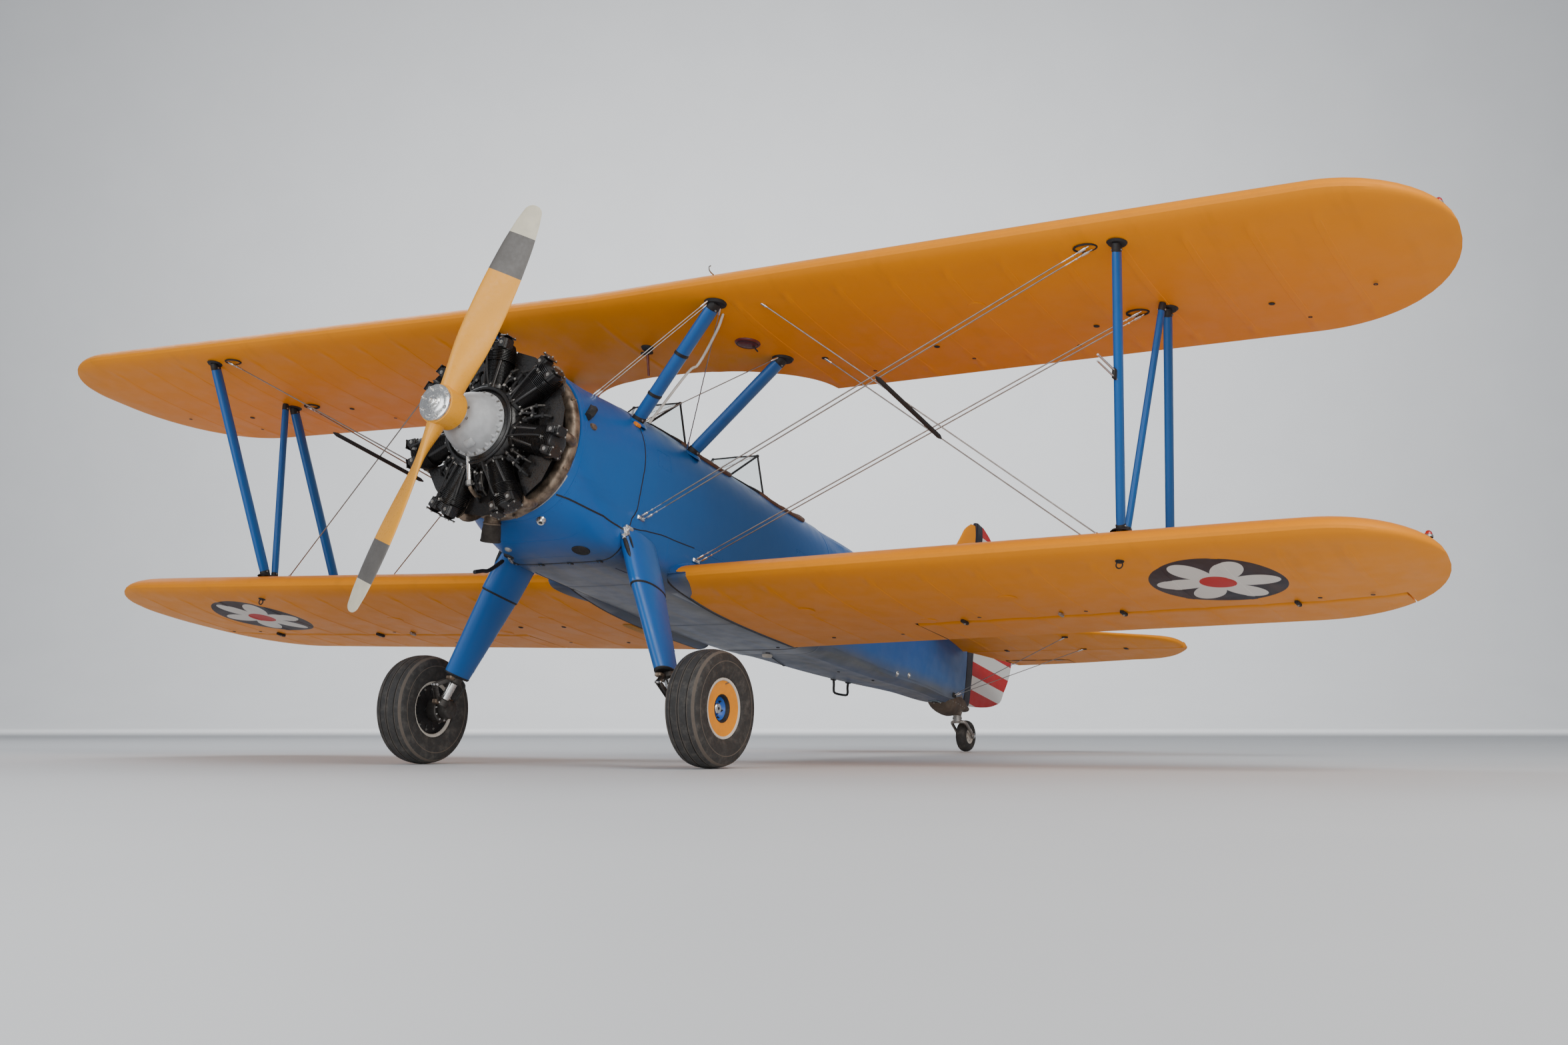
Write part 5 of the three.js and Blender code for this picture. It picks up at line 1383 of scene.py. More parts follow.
def cockpit_controls(label, seat, panel):
    controls = Shape()
    foot, head = vec(0, seat - 0.280, FLOOR + 0.004), vec(0, seat - 0.330, FLOOR + 0.480)
    knee = foot + (head - foot) * 0.35 + vec(0, -0.004, 0)
    controls.tube([foot, knee, foot + (head - foot) * 0.7, head], 0.011, 16, 1)
    grip = (head - foot) / np.linalg.norm(head - foot)
    rows = [(0.014, -0.13), (0.018, -0.12), (0.0155, -0.10), (0.019, -0.08), (0.016, -0.06),
            (0.0195, -0.04), (0.018, -0.012), (0.012, 0.0), (0, 0.002)]
    controls.turned(rows, grip, head, 18, 0)
    controls.turned([(0.050, 0.0), (0.046, 0.02), (0.030, 0.05), (0.018, 0.09), (0.013, 0.095)], UP, foot,
                    20, 0)
    for side in (-1, 1):
        pedal = vec(side * 0.13, panel - 0.02 + 0.02 * side, FLOOR + 0.02)
        controls.rod(pedal, pedal + vec(0, 0.02, 0.14), 0.009, paint=1)
        controls.block(pedal + vec(0, 0.024, 0.15), (0.085, 0.012, 0.07), 0.003, None, 1)
    controls.block(vec(0.335, seat - 0.30, 0.02), (0.020, 0.12, 0.05), 0.004, None, 0)
    for k in range(2):
        base = vec(0.326, seat - 0.33 + k * 0.035, 0.04)
        controls.rod(base, base + vec(-0.008, -0.03, 0.075), 0.004, paint=1)
        controls.turned([(0, -0.012), (0.009, -0.009), (0.012, 0), (0.009, 0.009), (0, 0.012)], AFT,
                        base + vec(-0.008, -0.03, 0.082), 14, 0)
    controls.made(f"{label}_controls", "airframe", [MATT_BLACK, STEEL], "steel", ())


def cockpit_floor():
    shape = Shape()
    edges = list(np.arange(1.855, 3.63, 0.1475)) + [3.625]
    for a, b in zip(edges, edges[1:]):
        half = section((a + b) / 2)[0] - 0.045
        shape.block(vec(0, (a + b) / 2, FLOOR - 0.006), (2 * half, b - a - 0.003, 0.0118), 0.0015)
    for x in (-0.1, 0.1):
        shape.block(vec(x, 2.74, FLOOR - 0.034), (0.03, 1.7, 0.044), 0.003)
    for b in edges[1:-1]:
        for x in (-0.3, -0.1, 0.1, 0.3):
            shape.rivet(vec(x, b - 0.02, FLOOR), UP, 0.0035)
    shape.made("cockpit_floor_boards", "airframe", GREEN, "cockpit_green", ["cockpit_floor"])


def windscreen(label, pit):
    """Three flat panes in a dark metal frame, bent over the deck in front of the cockpit."""
    foot_y = pit["start"] - 0.245
    at_deck = lambda x, y, lift: vec(x, y, deck_height(x, y) + lift)
    foot = [at_deck(s * 0.150, foot_y, 0.002) for s in (1, -1)]
    top = [vec(s * 0.175, foot_y + 0.27, deck_height(0, foot_y) + 0.200) for s in (1, -1)]
    rear = [at_deck(s * 0.235, foot_y + 0.30, 0.002) for s in (1, -1)]
    middle = at_deck(0, foot_y - 0.012, 0.003)
    panes, bars = Shape(), Shape()

    def pane(corners):
        corners = [np.array(c) for c in corners]
        n = unit(np.cross(corners[1] - corners[0], corners[-1] - corners[0])) * 0.0025
        centre = sum(corners) / len(corners)
        inset = [c + unit(centre - c) * 0.003 for c in corners]
        panes.loft([np.array([c - n for c in inset]), np.array([c + n for c in inset])])

    pane([foot[0], middle, top[0]])
    pane([middle, top[1], top[0]])
    pane([middle, foot[1], top[1]])
    pane([foot[0], rear[0], top[0]])
    pane([foot[1], top[1], rear[1]])
    for k in (0, 1):
        bars.tube([foot[k], top[k]], 0.0075, 8)
        bars.tube([rear[k], top[k]], 0.0075, 8)
        bars.tube([foot[k] + vec(0, -0.004, 0), (foot[k] + middle) / 2 + vec(0, -0.003, 0.004), middle],
                  0.009, 8)
        run = rear[k][0] - foot[k][0]
        line = [at_deck(foot[k][0] + run * t, foot_y + 0.30 * t, 0.004) for t in np.linspace(0, 1, 7)]
        bars.tube(line, 0.009, 8)
        for p in (foot[k], rear[k]):
            bars.turned([(0, 0.006), (0.016, 0.005), (0.018, -0.004)], UP, p, 14)
    bars.tube([top[0], (top[0] + top[1]) / 2 + vec(0, 0, 0.003), top[1]], 0.0075, 8)
    for k in (0, 1):
        bars.turned([(0, 0.011), (0.009, 0.008), (0.011, 0), (0.009, -0.008), (0, -0.011)], (1, 0, 0),
                    top[k], 12)
    panes.made(f"{label}_windscreen_panes", "airframe", GLASS, "glass", [f"{label}_windscreen"])
    bars.made(f"{label}_windscreen_frame", "airframe", MATT_BLACK, "steel")


# Engine
CYLINDERS = 7
ENGINE_Y = 0.500
COLLECTOR_Y, COLLECTOR_RADIUS = 0.699, 0.420
# Pipes between two cylinders: offset across and aft, outer end, radius, paint
GAP_PIPES = ((-0.026, -0.030, 0.372, 0.0075, 3), (0.020, -0.012, 0.396, 0.0095, 1),
             (0.004, -0.055, 0.330, 0.0055, 1))


def cylinder_frame(k):
    a = k * 2 * math.pi / CYLINDERS
    out, across = vec(math.sin(a), 0, math.cos(a)), vec(math.cos(a), 0, -math.sin(a))
    return out, across, lambda r, aft=0.0, side=0.0: vec(0, ENGINE_Y + aft, 0) + out * r + across * side


def fin_rows(shape, place, axis, start, end, pitch, radius, core):
    """Thin cooling fins on a core; radius is a function of the distance."""
    d = start
    rows = [(core, start - 0.002)]
    while d < end:
        r = radius(d)
        rows += [(core, d), (r, d + pitch * 0.20), (r, d + pitch * 0.45), (core, d + pitch * 0.65)]
        d += pitch
    rows.append((core, end + 0.002))
    shape.turned(rows, axis, place, 30)


def crankcase():
    case = Shape()
    rows = [(0.0, 0.3952), (0.176, 0.3952), (0.182, 0.400), (0.200, 0.408), (0.222, 0.425), (0.232, 0.440),
            (0.234, 0.470), (0.236, 0.530), (0.234, 0.572), (0.222, 0.592), (0.206, 0.610), (0.2055, 0.66),
            (0.214, 0.664), (0.214, 0.676), (0.205, 0.680), (0.205, 0.7394), (0.0, 0.7394)]
    case.turned(rows, AFT, vec(0, 0, 0), 56)
    for d in spokes(CYLINDERS * 2, 0.5):
        case.bolt(d * 0.212 + vec(0, 0.4145, 0), unit(vec(0, -0.8, 0) + d * 0.55), 0.007, 0.006)
        case.bolt(d * 0.2265 + vec(0, 0.583, 0), unit(vec(0, 0.7, 0) + d), 0.007, 0.006)
    # the ignition ring in front and the sump between the two lowest cylinders
    case.tube(loop(vec(0, 0.408, 0), UP * 0.216, PORT * 0.216, 56), 0.0115, 10, 0, False)
    sump = [(0.215, 0.040), (0.265, 0.052), (0.33, 0.050), (0.352, 0.040)]
    case.loft([np.array([vec(c * half * 0.8, 0.545 + s * half * 1.5, -r) for c,
                         s in squared_circle(24, 0.6)])
               for r, half in sump])
    case.made("engine_crankcase", "airframe", BLACK, "engine_black", ["engine"])


def cylinders(half, group):
    """Finned cylinders of half the engine, with their plugs, leads and pipes."""
    barrels = Shape()
    extras = Shape()
    for k in group:
        out, across, at = cylinder_frame(k)
        base = at(0)
        barrels.turned([(0.0, 0.225), (0.088, 0.225), (0.088, 0.243), (0.078, 0.247), (0.064, 0.247)], out,
                       base, 30)
        for t in range(10):
            a = t * math.pi / 5
            spot = at(0.243, 0.080 * math.sin(a), 0.080 * math.cos(a))
            extras.bolt(spot, out, 0.006, 0.006, 0)
        fin_rows(barrels, base, out, 0.250, 0.388, 0.0076, lambda d: 0.0755, 0.064)
        head = lambda d: 0.090 if d < 0.452 else 0.090 - (d - 0.452) * 0.30
        fin_rows(barrels, base, out, 0.392, 0.502, 0.0092, head, 0.068)
        barrels.turned([(0.070, 0.500), (0.066, 0.507), (0.045, 0.514), (0.0, 0.518)], out, base, 24)
        for s in (-1, 1):
            centre = at(0.492, -0.030, s * 0.056)
            tip = unit(out + across * s * 0.10)
            wide = unit(across - tip * across.dot(tip))
            axes = [wide, AFT, tip]
            barrels.block(centre, (0.050, 0.078, 0.080), 0.012, axes)
            barrels.block(centre + tip * 0.043, (0.056, 0.084, 0.007), 0.003, axes)
            barrels.block(centre + vec(0, -0.043, 0), (0.040, 0.010, 0.056), 0.003, axes)
            for u in (-1, 1):
                for v in (-1, 1):
                    corner = centre + tip * 0.0465 + wide * u * 0.021 + AFT * v * 0.034
                    extras.bolt(corner, tip, 0.0045, 0.004, 0)
            extras.bolt(centre + vec(0, -0.048, 0), -AFT, 0.008, 0.006, 0)
            # pushrod tube with a gland at each end
            low, high = at(0.222, -0.066, s * 0.030), at(0.458, -0.040, s * 0.056)
            barrels.rod(low, high, 0.0115, sides=16)
            reach = unit(high - low)
            barrels.turned([(0.0115, 0), (0.019, 0.002), (0.019, 0.020), (0.0115, 0.024)], reach, low, 16)
            barrels.turned([(0.0115, -0.034), (0.017, -0.030), (0.017, -0.010), (0.0115, -0.004)], reach,
                           high, 16)
        # plugs, front and rear, with their leads
        for aft, way in ((-0.070, -1), (0.066, 1)):
            plug = at(0.452, aft, 0.0)
            lean = unit(vec(0, way, 0) + out * 0.35)
            extras.turned([(0.012, 0), (0.012, 0.014), (0.009, 0.016), (0.009, 0.034), (0.006, 0.038),
                           (0.0, 0.038)],
                          lean, plug, 6, 0)
            tip = plug + lean * 0.036
            if way < 0:
                ring_at = unit(out + across * 0.16) * 0.220 + vec(0, 0.404, 0)
                path = bent([tip, tip + lean * 0.018 - out * 0.02, at(0.35, -0.118, 0.012),
                             at(0.27, -0.112, 0.026), ring_at])
            else:
                path = bent([tip, tip + lean * 0.016 - out * 0.02, at(0.36, 0.120, 0.012),
                             at(0.26, 0.112, 0.02), at(0.22, 0.11, 0.02)])
            extras.tube(path, 0.0050, 8, 1)
        # intake pipe behind, and the exhaust stub that runs back to the collector
        intake = bent([at(0.200, 0.115, 0.050), at(0.26, 0.120, 0.056), at(0.36, 0.112, 0.062),
                       at(0.44, 0.098, 0.058), at(0.470, 0.060, 0.050)])
        barrels.tube(intake, 0.021, 14)
        stub = bent([at(0.475, 0.045, -0.052), at(0.485, 0.085, -0.060), at(0.470, 0.135, -0.058),
                     at(0.432, 0.188, -0.050)])
        extras.tube(stub, 0.027, 16, 2)
        extras.turned([(0.027, 0), (0.036, 0.001), (0.036, 0.007), (0.027, 0.008)], unit(stub[1] - stub[0]),
                      stub[0], 18, 2)
        # pipes, clips and unions in the gap to the next cylinder
        half_turn = math.pi / CYLINDERS
        gap_out = unit(out * math.cos(half_turn) + across * math.sin(half_turn))
        gap_side = np.cross(AFT, gap_out)
        gap = lambda d, aft, wide: gap_out * d + gap_side * wide + vec(0, 0.505 + aft, 0)
        for wide, aft, far, r, paint in GAP_PIPES:
            run = bent([gap(0.232, aft, wide * 0.6), gap(0.27, aft - 0.012, wide),
                        gap(far - 0.03, aft + 0.004, wide * 1.3), gap(far, aft + 0.040, wide * 1.5)])
            extras.tube(run, r, 10, paint)
            for t in (4, 10):
                extras.turned([(r, -0.007), (r * 1.7, -0.006), (r * 1.7, 0.006), (r, 0.007)],
                              unit(run[t + 1] - run[t]), run[t], 6, 0 if t == 4 else 1)
        extras.block(gap(0.318, -0.030, 0.0), (0.060, 0.020, 0.012), 0.003, [gap_side, AFT, gap_out], 1)
        for wide in (-0.022, 0.022):
            extras.bolt(gap(0.318, -0.040, wide), -AFT, 0.0055, 0.005, 0)
        extras.block(gap(0.262, -0.020, 0.026), (0.026, 0.034, 0.030), 0.006, [gap_side, AFT, gap_out], 1)
        # baffle plate to the next cylinder
        nxt_at = cylinder_frame(k + 1)[2]
        edge = [at(0.30, 0.050, 0.078), at(0.47, 0.040, 0.085), nxt_at(0.47, 0.040, -0.085),
                nxt_at(0.30, 0.050, -0.078)]
        mid_out, mid_in = (edge[1] + edge[2]) / 2 * vec(1.04, 1, 1.04), (edge[0] + edge[3]) / 2
        mid_out[1] = edge[1][1] + 0.012
        plan = np.array([edge[0], edge[1], mid_out, edge[2], edge[3], mid_in])
        barrels.loft([plan - vec(0, 0.001, 0), plan + vec(0, 0.001, 0)])
    barrels.made(f"engine_cylinders_{half}", "airframe", BLACK, "engine_black", (), 34)
    extras.made(f"engine_small_parts_{half}", "airframe", [STEEL, MATT_BLACK, BRONZE, STEEL_DARK], "steel",
                (), 34)


def bent(points, steps=5):
    """A smooth line through the points."""
    points = [np.array(p, float) for p in points]
    ends = [2 * points[0] - points[1]] + points + [2 * points[-1] - points[-2]]
    line = []
    for a, b, c, d in zip(ends, ends[1:], ends[2:], ends[3:]):
        for t in np.linspace(0, 1, steps, endpoint=False):
            curve = (2 * a - 5 * b + 4 * c - d) * t**2 + (3 * b - a - 3 * c + d) * t**3
            line.append(0.5 * (2 * b + (c - a) * t + curve))
    line.append(points[-1])
    return line


def nose_case():
    shape = Shape()
    rows = [(0.0395, 0.2056), (0.060, 0.2056), (0.066, 0.208), (0.070, 0.220), (0.090, 0.224),
            (0.104, 0.232), (0.122, 0.247), (0.140, 0.270), (0.153, 0.293), (0.163, 0.322), (0.170, 0.350),
            (0.173, 0.376), (0.184, 0.380), (0.186, 0.384), (0.186, 0.3942), (0.0395, 0.3942),
            (0.0395, 0.2056)]
    shape.turned(rows, AFT, vec(0, 0, 0), 64)
    for d in spokes(18):
        rib = [d * 0.158 + vec(0, 0.330, 0), d * 0.176 + vec(0, 0.378, 0)]
        shape.tube([rib[0] - d * 0.006, (rib[0] + rib[1]) / 2 - d * 0.004, rib[1] - d * 0.002],
                   [0.006, 0.008, 0.011], 8)
    shape.block(vec(0.05, 0.300, -0.137), (0.060, 0.050, 0.050), 0.008,
                [vec(1, 0, 0.3), vec(0, 1, -0.6), vec(-0.3, 0.6, 1)])
    shape.made("engine_nose_case_cast", "airframe", GREY_CASE, "engine_grey", ["engine_nose_case"])
    small = Shape()
    for d in spokes(18, 0.5):
        small.bolt(d * 0.1795 + vec(0, 0.381, 0), -AFT, 0.0062, 0.008)
    for d in spokes(8, 0.5):
        small.bolt(d * 0.080 + vec(0, 0.2222, 0), -AFT, 0.006, 0.005)
    # the polished oil pipe in front, with unions at both ends
    a, b = vec(-0.045, 0.400, -0.133), vec(-0.013, 0.420, -0.336)
    small.rod(a, b, 0.014, sides=20, paint=1)
    along = unit(b - a)
    small.turned([(0.0, -0.01), (0.020, -0.008), (0.020, 0.014), (0.014, 0.018)], along, a, 6, 0)
    small.turned([(0.014, -0.024), (0.021, -0.020), (0.021, 0.004), (0.010, 0.012), (0, 0.014)], along, b,
                 6, 0)
    small.tube(bent([b + along * 0.01, b + along * 0.03 + vec(0, 0.02, 0), vec(-0.03, 0.52, -0.375),
                     vec(-0.04, 0.60, -0.345)]), 0.011, 12, 2)
    small.turned([(0.012, 0), (0.034, 0.01), (0.038, 0.05), (0.022, 0.075), (0, 0.078)], (0, 0.5, 1),
                 vec(-0.04, 0.60, -0.345), 20, 2)
    small.made("engine_nose_fittings", "airframe", [STEEL, POLISHED, BRONZE], "steel")


def collector():
    """The ring behind the cylinders, made in clamped lengths, with its outlet below."""
    shape = Shape()
    turns = 112
    middle = vec(0, COLLECTOR_Y, 0)
    rings = []
    for k in range(turns + 1):
        t = 2 * math.pi * k / turns
        d = vec(math.sin(t), 0, math.cos(t))
        near = min(abs((t * CYLINDERS / (2 * math.pi) + 0.28) % 1.0 - 0.5), 1)
        thick = 0.0385 * (1.05 if near < 0.035 else 1.0)
        rings.append(np.array([middle + d * (COLLECTOR_RADIUS + c * thick) + AFT * s * thick for c,
                               s in squared_circle(20, 0.72)]))
    shape.loft(rings, 0, False)
    for d in spokes(CYLINDERS, 0.22):
        for aft in (-0.026, 0.0):
            shape.bolt(middle + d * 0.4605 + AFT * aft, d, 0.007, 0.006)
    a, b = vec(-0.058, 0.700, -0.405), vec(-0.092, 0.752, -0.565)
    length = np.linalg.norm(b - a)
    rows = [(0.034, 0.03), (0.046, 0.03), (0.048, 0.06), (0.052, 0.062), (0.052, 0.070), (0.049, 0.072),
            (0.054, 0.110), (0.056, length - 0.014), (0.0585, length - 0.010), (0.0585, length - 0.002),
            (0.056, length), (0.0520, length), (0.0508, length - 0.006), (0.0480, 0.11), (0.0420, 0.05),
            (0.0, 0.05)]
    shape.turned(rows, b - a, a, 32, lambda r, i: 1 if 5 <= r < 11 else 0)
    shape.made("exhaust_collector_ring", "airframe", [BRONZE, SOOTY], "exhaust", ["exhaust_collector"])


# Propeller
BLADE = np.array([
    (0.060, 0.128, 0.112, 62), (0.190, 0.150, 0.074, 50), (0.370, 0.192, 0.042, 34),
                  (0.600, 0.212, 0.030, 24),
    (0.830, 0.204, 0.022, 18), (1.025, 0.168, 0.015, 15), (1.145, 0.116, 0.010, 13),
                  (1.198, 0.054, 0.006, 12),
])
LEAN = math.radians(21)


def propeller():
    shape = Shape()
    hub = vec(0, HUB_BLADE_Y, 0)
    for turn in (0, math.pi):
        spin_turn = np.array(Matrix.Rotation(LEAN + turn, 3, "Y"))
        edges = [0.790, 0.7905, 1.020, 1.0205, 1.165, 1.178, 1.188, 1.195, 1.1985]
        radii = sorted(list(np.linspace(0.03, 1.15, 40)) + edges)
        rings = []
        for r in radii:
            key = max(r, 0.06)
            chord, thick, pitch = (eased(BLADE, key, c) for c in (1, 2, 3))
            if r > 1.145:
                share = (r - 1.145) / (1.1995 - 1.145)
                chord = 0.116 * math.sqrt(max(0.0, 1 - share**2.2)) + 0.004
                thick = 0.010 * (1 - 0.5 * share)
            a = np.arange(32) * 2 * math.pi / 32
            x = chord / 2 * np.cos(a)
            belly = min(1.0, max(0.0, (r - 0.16) / 0.2))
            lift = np.where(np.sin(a) < 0, 1.0, 1 - 0.45 * belly)
            # the front face is cambered and the fuller half lies towards the leading edge
            y = thick / 2 * np.sin(a) * lift * (1 - 0.22 * belly * np.cos(a))
            c, s = math.cos(math.radians(pitch)), math.sin(math.radians(pitch))
            ring = np.stack([x * c - y * s, x * s + y * c, np.full_like(x, r)], 1)
            rings.append(np.clip(ring, (-9, -0.0655, -9), (9, 0.0655, 9)) @ spin_turn.T + hub)
        paint = lambda k, i: 0 if radii[k] < 0.7901 else (1 if radii[k] < 1.0201 else 2)
        shape.loft(rings, paint)
    boss = [(0.0385, -0.0658), (0.100, -0.0658), (0.110, -0.062), (0.112, -0.050), (0.112, 0.050),
            (0.110, 0.062), (0.100, 0.0658), (0.0385, 0.0658)]
    shape.turned(boss, AFT, hub, 56)
    shape.made("propeller_blades_carved", "propeller", [BLADE_YELLOW, BLADE_GREY, BLADE_TIP],
               "propeller_paint", ["propeller_blades"], 50)
    metal = Shape()
    plate = -0.0664
    rows = [(0.0, -0.1120), (0.016, -0.1120), (0.017, -0.108), (0.024, -0.107), (0.027, -0.104),
            (0.027, -0.094), (0.040, -0.092), (0.044, -0.086), (0.070, -0.0845), (0.074, -0.081),
            (0.098, -0.0805), (0.103, -0.0785), (0.104, -0.074), (0.104, plate), (0.038, plate),
            (0.038, 0.250), (0.0, 0.250)]
    metal.turned(rows, AFT, hub, 48)
    for d in spokes(8, 0.5):
        metal.bolt(hub + d * 0.087 + vec(0, -0.0800, 0), -AFT, 0.0085, 0.009)
    for d in spokes(6):
        metal.bolt(hub + d * 0.033 + vec(0, -0.0925, 0), -AFT, 0.004, 0.003)
    metal.turned([(0, 0.016), (0.012, 0.014), (0.016, 0.0)], -AFT, hub + vec(0, -0.1085, 0), 6)
    metal.made("propeller_hub_plate", "propeller", POLISHED, "steel", ["propeller_hub"])


# Landing gear
LEG_TOP, AXLE_END = vec(0.385, 1.449, -0.330), vec(0.828, 1.392, -1.338)
LEG_FOOT = LEG_TOP + (AXLE_END - LEG_TOP) * 0.845
LEG_COLLAR = 0.416


def teardrop(shape, stations, paint=0, count=32):
    """A streamlined bar through (centre, chord, thickness) stations, its chord fore and aft."""
    along = unit(stations[-1][0] - stations[0][0])
    aft = unit(AFT - along * along[1])
    across = np.cross(along, aft)
    a = np.arange(count) * 2 * math.pi / count
    rings = []
    for centre, chord, thick in stations:
        wide = np.sin(a) * (1 - 0.25 * np.cos(a))
        rings.append(centre + np.outer(np.cos(a) * chord / 2, aft) + np.outer(wide * thick / 2, across))
    shape.loft(rings, paint)


def gear(side, label):
    top, foot, end = (mirrored(p, side) for p in (LEG_TOP, LEG_FOOT, AXLE_END))
    along = unit(foot - top)
    lerp = lambda t: top + (foot - top) * t
    shape = Shape()
    share = lambda t: (t - LEG_COLLAR) / (1 - LEG_COLLAR)
    above = lambda t: (0.342 - 0.014 * t / LEG_COLLAR, 0.108 - 0.004 * t / LEG_COLLAR)
    below = lambda t: (0.314 - 0.105 * share(t), 0.096 - 0.010 * share(t))
    upper = [(lerp(0.040), 0.300, 0.078), (lerp(0.046), 0.322, 0.094), (lerp(0.056), 0.336, 0.104)]
    upper += [(lerp(t), *above(t)) for t in (0.07, 0.14, 0.22, 0.30, 0.39)]
    upper += [(lerp(0.408), 0.328, 0.104), (lerp(0.414), 0.323, 0.100), (lerp(0.416), 0.308, 0.092)]
    lower = [(lerp(t), *below(t)) for t in (0.38, 0.421, 0.5, 0.65, 0.8, 0.93)]
    lower += [(lerp(0.985), 0.210, 0.086), (lerp(0.997), 0.206, 0.082), (lerp(1.0), 0.194, 0.072)]
    teardrop(shape, upper)
    teardrop(shape, lower)
    shape.made(f"gear_leg_skin_{label}", "airframe", BLUE_METAL, "blue_metal", [f"gear_leg_{label}"], 40)
    leg_trim(side, label, lerp, along, above, below)
    oleo_parts(side, label, foot, end)
    wheel(side, label)


def leg_trim(side, label, lerp, along, above, below):
    """Rivets, collars and the fitting at the top of a leg."""
    trim = Shape()
    if side < 0:
        # the thin rod that runs forward from the starboard leg
        rod = [vec(-0.44, 1.054, -0.642), vec(-0.44, 1.12, -0.617), vec(-0.44, 1.187, -0.592),
               lerp(0.16) + vec(0, -0.10, 0)]
        trim.tube(bent(rod), 0.012, 12, 0)
    teardrop(trim,
             [(lerp(0.412), 0.3250, 0.1030), (lerp(0.419), 0.3252, 0.1032), (lerp(0.425), 0.3120, 0.0960)],
             0)
    teardrop(trim,
             [(lerp(0.986), 0.2130, 0.0885), (lerp(0.994), 0.2130, 0.0885), (lerp(1.002), 0.1980, 0.0740)],
             0)
    for t in (0.10, 0.20, 0.30, 0.46, 0.58, 0.70, 0.82, 0.93):
        wide = above(t) if t < LEG_COLLAR else below(t)
        across = np.cross(along, AFT)
        for a in (0.5, -0.5):
            c, s = math.cos(a), math.sin(a)
            spot = lerp(t) + AFT * c * wide[0] / 2 + across * s * (1 - 0.25 * c) * wide[1] / 2
            trim.rivet(spot, unit(across * s * 2 + AFT * 0.4), 0.0045, 0.002, 6, 1)
    # the fitting at the leg's top in front: polished lugs, a bolt, and black strips of painted shade down
    # the fairing's nose where a slit runs
    aft, across = unit(AFT - along * along[1]), unit(np.cross(along, AFT))
    across = across if across[0] * side > 0 else -across
    nose = lambda t, out, wide: lerp(t) - aft * (above(t)[0] / 2 - out) + across * wide
    axes = [across, aft, along]
    trim.block(nose(0.075, 0.010, 0.018), (0.044, 0.052, 0.060), 0.010, axes, 2)
    trim.block(nose(0.050, 0.030, 0.034), (0.030, 0.070, 0.030), 0.006, axes, 2)
    trim.block(nose(0.098, 0.004, 0.010), (0.026, 0.030, 0.050), 0.008, axes, 2)
    trim.bolt(nose(0.070, 0.006, 0.040), across, 0.011, 0.008, 2)
    trim.bolt(nose(0.100, 0.002, 0.022), across, 0.008, 0.006, 2)
    # black tubes on the fairing's nose: painted shade standing for the slit
    slit = [nose(t, -0.001 + 0.012 * (t - 0.10) / 0.16,
                 0.012 + 0.030 * (t - 0.10)) for t in np.linspace(0.105, 0.250, 8)]
    trim.tube(slit, [0.004, 0.011, 0.013, 0.013, 0.012, 0.011, 0.009, 0.004], 10, 0)
    trim.tube([q + aft * 0.022 + across * 0.024 for q in slit[:5]], [0.003, 0.006, 0.006, 0.005, 0.003], 8,
              0)
    trim.made(f"gear_leg_trim_{label}", "airframe", [MATT_BLACK, BLUE_METAL, POLISHED], "steel", (), 35)


